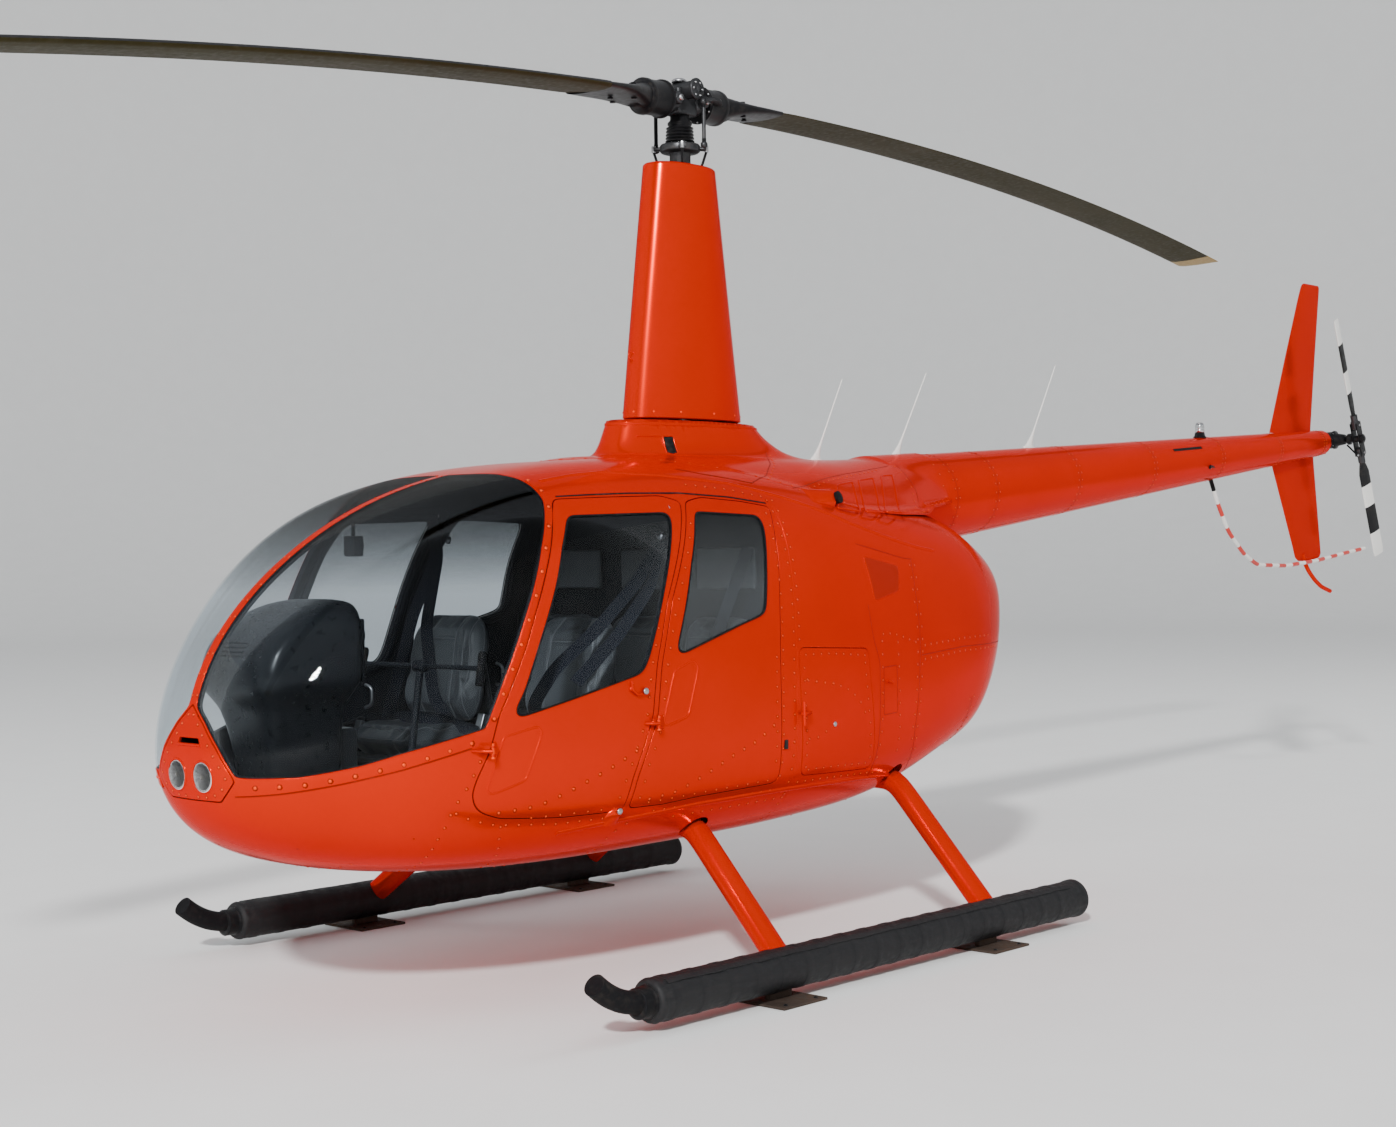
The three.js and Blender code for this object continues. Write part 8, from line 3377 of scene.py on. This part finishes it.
@dataclass
class TailRotor:
    """Gearbox, hub and two banded blades."""

    finishes: Finishes

    x: float = 0.190
    y: float = 5.820
    z: float = 2.180
    turn: float = math.radians(-21.7)
    radius: float = 0.760
    chord: float = 0.130
    root: float = 0.150
    # Distances from the hub where a band of the blade ends
    bands: tuple = (0.300, 0.435, 0.607, 0.760)
    pitch: float = 11.0
    seen_chord: float = 0.100

    def __post_init__(self) -> None:
        """Works out what the sizes give."""
        self.hub = np.array([self.x, self.y, self.z])
        self.along = np.array([0.0, math.sin(self.turn), math.cos(self.turn)])
        self.across = np.array([0.0, math.cos(self.turn), -math.sin(self.turn)])

    def build(self) -> None:
        """Makes the tail rotor."""
        self._gearbox()
        self._hub()
        for name, sign in (("upper", 1.0), ("lower", -1.0)):
            self._blade(name, sign)

    def _gearbox(self) -> None:
        """Ribbed gear case with its output housing."""
        f = self.finishes
        piece = Builder("tail_gear_case", "airframe", [f.black_metal, f.dark_metal, f.steel],
                        ("tail_gearbox",), "gear_black")
        case = [(0.0, 0.0), (0.062, 0.0), (0.062, 0.010), (0.050, 0.014), (0.047, 0.060)]
        for k in range(4):
            case += [(0.051, 0.066 + 0.013 * k), (0.046, 0.072 + 0.013 * k)]
        case += [(0.046, 0.140), (0.052, 0.150), (0.050, 0.172), (0.0, 0.176)]
        axle = np.array([0.0, self.y, self.z])
        lean = unit(np.array([0.0, 0.12, self.z - 2.166]))
        piece.add(revolve(case, np.array([0.0, 5.702, 2.163]), lean, 36))
        out = [(0.0, -0.058), (0.030, -0.058), (0.046, -0.048), (0.050, -0.020), (0.050, 0.030),
               (0.056, 0.036), (0.056, 0.046), (0.040, 0.054), (0.034, 0.090), (0.030, 0.108), (0.0, 0.109)]
        piece.add(revolve(out, axle, [1, 0, 0], 36))
        bolts = circle(0.051, 8)
        at = axle + np.stack([np.full(8, 0.046), bolts[:, 0], bolts[:, 1]], -1)
        piece.add(studs(at, np.tile([1.0, 0.0, 0.0], (8, 1)), 0.0042, 0.004, 2))
        glass = [(0.0, 0.0), (0.012, 0.0), (0.012, 0.008), (0.006, 0.012), (0.0, 0.012)]
        piece.add(revolve(glass, np.array([0.0, 5.78, 2.217]), [0, 0, 1], 16, 2))
        piece.build()

    def _hub(self) -> None:
        """Hub plates, bearings, pitch slider and links."""
        f = self.finishes
        piece = Builder("tail_hub", "tail_rotor", [f.black_metal, f.dark_metal, f.steel],
                        ("tail_rotor_hub",), "dark_metal")
        shaft = [(0.0, -0.078), (0.019, -0.078), (0.019, -0.062), (0.034, -0.060), (0.034, -0.046),
                 (0.020, -0.044), (0.020, 0.024),
                 (0.028, 0.026), (0.028, 0.036), (0.014, 0.040), (0.014, 0.045), (0.0, 0.045)]
        piece.add(revolve(shaft, self.hub, [1, 0, 0], 24))
        for x in (-0.019, 0.019):
            plate = np.array([self.hub - self.along * 0.105 + [x, 0, 0],
                              self.hub + self.along * 0.105 + [x, 0, 0]])
            flat = np.array([(-0.030, -0.003), (0.030, -0.003), (0.030, 0.003), (-0.030, 0.003)])
            piece.add(sweep(even(plate, 0.03), flat, np.tile([1.0, 0.0, 0.0], (len(even(plate, 0.03)), 1))))
        for sign in (1.0, -1.0):
            root = self.hub + self.along * sign * 0.060
            grip = [(0.0, 0.0), (0.022, 0.0), (0.026, 0.008), (0.026, 0.050), (0.021, 0.056),
                    (0.021, 0.092), (0.0, 0.092)]
            piece.add(revolve(grip, root, self.along * sign, 24, 1))
            bolt = [(0.0, -0.030), (0.008, -0.030), (0.008, 0.030), (0.0, 0.030)]
            piece.add(revolve(bolt, self.hub + self.along * sign * 0.088, [1, 0, 0], 6, 2))
            horn = np.array([root + self.along * sign * 0.035,
                             root + self.along * sign * 0.030 + self.across * 0.045 * sign,
                             self.hub + self.across * 0.048 * sign + [-0.052, 0, 0]
                             + self.along * sign * 0.020])
            piece.add(tube(smooth_line(horn, 0.008, 0.006), 0.0055, 10, 0))
            piece.add(studs(horn[1:2] + [0.006, 0, 0], np.array([[1.0, 0.0, 0.0]]), 0.008, 0.005, 2))
        piece.build()

    def _blade(self, name: str, sign: float) -> None:
        """One blade in black and white bands.

        Args:
            name: upper or lower.
            sign: 1 for the one side, -1 for the other.
        """
        f = self.finishes
        marks = [self.root, 0.185, 0.22, *self.bands]
        r = np.unique(np.concatenate([np.linspace(a, b, 6) for a, b in zip(marks[:-1], marks[1:])]))
        a = np.linspace(0, 2 * math.pi, 36, endpoint=False)
        along = np.cos(a) / 2
        thick = 0.060 * np.sin(a) * (1 - 0.55 * along) * (1 + 0.3 * along)
        size = np.interp(r, [self.root, 0.185, 0.22, 0.735, self.radius],
                         [0.42, 0.75, 1.0, 1.0, 0.88])[:, None]
        full = np.interp(r, [self.root, 0.22, 0.745, self.radius], [1.5, 1.0, 1.0, 0.35])[:, None]
        rings = self.hub + (r[:, None, None] * sign) * self.along
        lean = math.radians(self.pitch) * -np.sign(self.along[2] * self.across[1]) * sign
        chord = self.across * math.cos(lean) + np.array([math.sin(lean), 0.0, 0.0])
        rings = rings + (along * size * self.seen_chord)[..., None] * chord
        rings = rings + (thick * full * self.chord)[..., None] * unit(np.cross(chord, self.along))
        part = loft(rings)
        far = np.abs((part[0].points[part[0].faces].mean(1) - self.hub) @ self.along)
        kind = np.where((far > self.bands[0]) & (far < self.bands[1]) | (far > self.bands[2]), 1, 0)
        shade = part[0].shaded()
        body = [Patch(part[0].points, part[0].faces[kind == k], shade, k) for k in (0, 1)]
        for patch in part[1:]:
            patch.material = 1 if abs((patch.points.mean(0) - self.hub) @ self.along) > 0.5 else 0
        blade = Builder(f"tail_rotor_blade_{name}", "tail_rotor", [f.blade_top, f.white],
                        (f"tail_blade_{name}",), "blade_black")
        blade.add([*body, *part[1:]]).build()


@dataclass
class Roofline:
    """Antennas and beacon along the top of the boom."""

    finishes: Finishes

    # Name, foot and tip as (station, height)
    rods: tuple = (("front", (0.842, 1.940), (1.041, 2.309)), ("middle", (1.424, 1.974), (1.670, 2.370)),
                   ("rear", (2.514, 2.044), (2.771, 2.470)))
    beacon: Array = held(np.array([0.0, 4.230, 2.143]))

    def build(self) -> None:
        """Makes the antennas and the beacon."""
        f = self.finishes
        for name, foot, tip in self.rods:
            piece = Builder(f"antenna_{name}_rod", "airframe", [f.white, f.steel], (f"antenna_{name}",),
                            "antenna_white")
            foot, tip = np.array([0.0, *foot]), np.array([0.0, *tip])
            t = np.array([0.0, 0.02, 0.05, 0.09, 0.14, 0.20, 0.28, 0.6, 0.97, 1.0])
            radius = np.array([0.0185, 0.0165, 0.0135, 0.0105, 0.0078, 0.0058, 0.0046, 0.0038, 0.0030,
                               0.0012])
            ring = circle(1.0, 20)
            rings = [foot + (tip - foot) * k
                     + np.stack([ring[:, 0] * r * 0.85, ring[:, 1] * r * (1.9 - 0.9 * min(k / 0.2, 1)),
                                 0 * ring[:, 0]], -1)
                     for k, r in zip(t, radius)]
            piece.add(loft(np.array(rings)))
            base = circle(1.0, 28)
            pad = [foot
                   + np.stack([base[:, 0] * 0.0195 * g, base[:, 1] * 0.044 * g + 0.004, base[:, 0] * 0 + h],
                              -1)
                   for g, h in ((1.0, -0.004), (1.0, 0.003), (0.9, 0.005))]
            piece.add(loft(np.array(pad)))
            piece.build()
        piece = Builder("beacon_lamp", "airframe", [f.black_metal, f.bright, f.steel], ("beacon",),
                        "red_lens")
        foot = [(0.0, -0.003), (0.036, -0.003), (0.036, 0.008), (0.030, 0.012), (0.027, 0.030),
                (0.0, 0.030)]
        dome = [(0.0, 0.030), (0.0255, 0.030), (0.0255, 0.046), (0.0235, 0.048), (0.0235, 0.051),
                (0.0255, 0.053), (0.0255, 0.070), (0.022, 0.078), (0.0, 0.079)]
        cap = [(0.0, 0.078), (0.021, 0.078), (0.020, 0.083), (0.012, 0.087), (0.0, 0.088)]
        for profile, kind in ((foot, 0), (dome, 1), (cap, 2)):
            piece.add(revolve(profile, self.beacon, [0, 0, 1], 28, kind))
        piece.build()


@dataclass
class Stage:
    """Floor, studio light and camera."""

    position: tuple = (5.757, -6.770, 1.557)
    azimuth: float = 42.73
    pitch: float = -0.4
    roll: float = -0.713
    lens: float = 53.107
    lamps: tuple = (  # name, place, what it looks at, width, height, watts
        ("key_light", (15.6, -24.6, 17.0), (0.0, 0.0, 1.3), 2.2, 2.2, 14500.0),
        ("fill_light", (-11.0, -10.0, 9.0), (0.0, 0.0, 1.2), 9.0, 6.0, 420.0),
        ("back_light", (4.0, 14.0, 11.0), (0.0, 1.0, 1.5), 8.0, 6.0, 700.0),
    )
    floor_radius: float = 30.0
    bend: float = 12.0  # radius between the floor and the wall
    wall: tuple = (42.4, 30.0)  # radius and level of the wall's top
    sky: tuple = (0.92, 0.95, 1.0, 1.0)
    sky_strength: float = 0.62

    def build(self) -> None:
        """Makes the floor with a curved wall behind, the lights and the camera."""
        floor = Finish("studio_floor", (0.80, 0.80, 0.79), 0.8, specular=0.2, variation=0.01).build()
        profile = [(0.0, 0.0), (self.floor_radius, 0.0)]
        profile += [(self.floor_radius + self.bend * math.sin(a), self.bend - self.bend * math.cos(a))
                    for a in np.linspace(0.1, 1.5, 14)]
        profile.append(self.wall)
        sides = revolve(profile, np.array([0.0, 0.0, -0.0005]), [0, 0, 1], 96)[:1]
        mesh = bpy.data.meshes.new("studio_floor")
        mesh.from_pydata(sides[0].points.tolist(), [], sides[0].faces[:, ::-1].tolist())
        mesh.shade_smooth()
        mesh.materials.append(floor)
        ground = bpy.data.objects.new("studio_floor", mesh)
        bpy.context.scene.collection.objects.link(ground)
        lights = [self._area(*row) for row in self.lamps]
        for lamp in lights[1:]:
            lamp.visible_glossy = False
        self._camera()
        world = bpy.data.worlds.new("studio")
        world.use_nodes = True
        world.node_tree.nodes["Background"].inputs["Color"].default_value = self.sky
        world.node_tree.nodes["Background"].inputs["Strength"].default_value = self.sky_strength
        bpy.context.scene.world = world

    @staticmethod
    def _area(name: str, at: tuple, toward: tuple, width: float, height: float,
              power: float) -> bpy.types.Object:
        """An area light that looks at a point.

        Args:
            name: of the piece.
            at: its place.
            toward: what it looks at.
            width: of the light.
            height: of the light.
            power: in watts.

        Returns:
            The light.
        """
        light = bpy.data.lights.new(name, "AREA")
        light.shape, light.size, light.size_y, light.energy = "ELLIPSE", width, height, power
        lamp = bpy.data.objects.new(name, light)
        lamp.location = at
        lamp.rotation_euler = (Vector(toward) - Vector(at)).to_track_quat("-Z", "Y").to_euler()
        bpy.context.scene.collection.objects.link(lamp)
        return lamp

    def _camera(self) -> bpy.types.Object:
        """The camera where the photograph was taken from.

        Returns:
            The camera.
        """
        az, p, roll = [math.radians(v) for v in (self.azimuth, self.pitch, self.roll)]
        ahead = np.array([-math.sin(az) * math.cos(p), math.cos(az) * math.cos(p), math.sin(p)])
        flat = np.array([math.cos(az), math.sin(az), 0.0])
        tall = np.cross(flat, ahead)
        right = math.cos(roll) * flat + math.sin(roll) * tall
        up = -math.sin(roll) * flat + math.cos(roll) * tall
        lens = bpy.data.cameras.new("camera")
        lens.lens, lens.sensor_width, lens.clip_end = self.lens, 36.0, 300.0
        camera = bpy.data.objects.new("camera", lens)
        turn = Matrix(np.stack([right, up, -ahead], -1).tolist()).to_4x4()
        camera.matrix_world = Matrix.Translation(self.position) @ turn
        bpy.context.scene.collection.objects.link(camera)
        bpy.context.scene.camera = camera
        return camera


def main() -> None:
    """Builds every piece in order."""
    logging.basicConfig(level=logging.INFO, format="%(message)s")
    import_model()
    finishes = Finishes()
    hull = Hull()
    Stage().build()
    CabinShell(hull, finishes).build()
    NosePanel(hull, finishes).build()
    Windshield(hull, finishes).build()
    for row in ("front", "rear"):
        for port in (True, False):
            CabinDoor(hull, finishes, row, port).build()
    AftBody(hull, finishes).build()
    BaggageDoor(hull, finishes).build()
    MastCowling(hull, finishes).build()
    MastFairing(finishes).build()
    TailBoom(finishes).build()
    LandingGear(hull, finishes).build()
    rotor = MainRotor(finishes)
    rotor.build()
    RotorHead(rotor, finishes).build()
    TailRotor(finishes).build()
    Roofline(finishes).build()
    Cockpit(hull, finishes).build()
    Bay(hull, finishes).build()
    Seats(finishes).build()


if __name__ == "__main__":
    main()
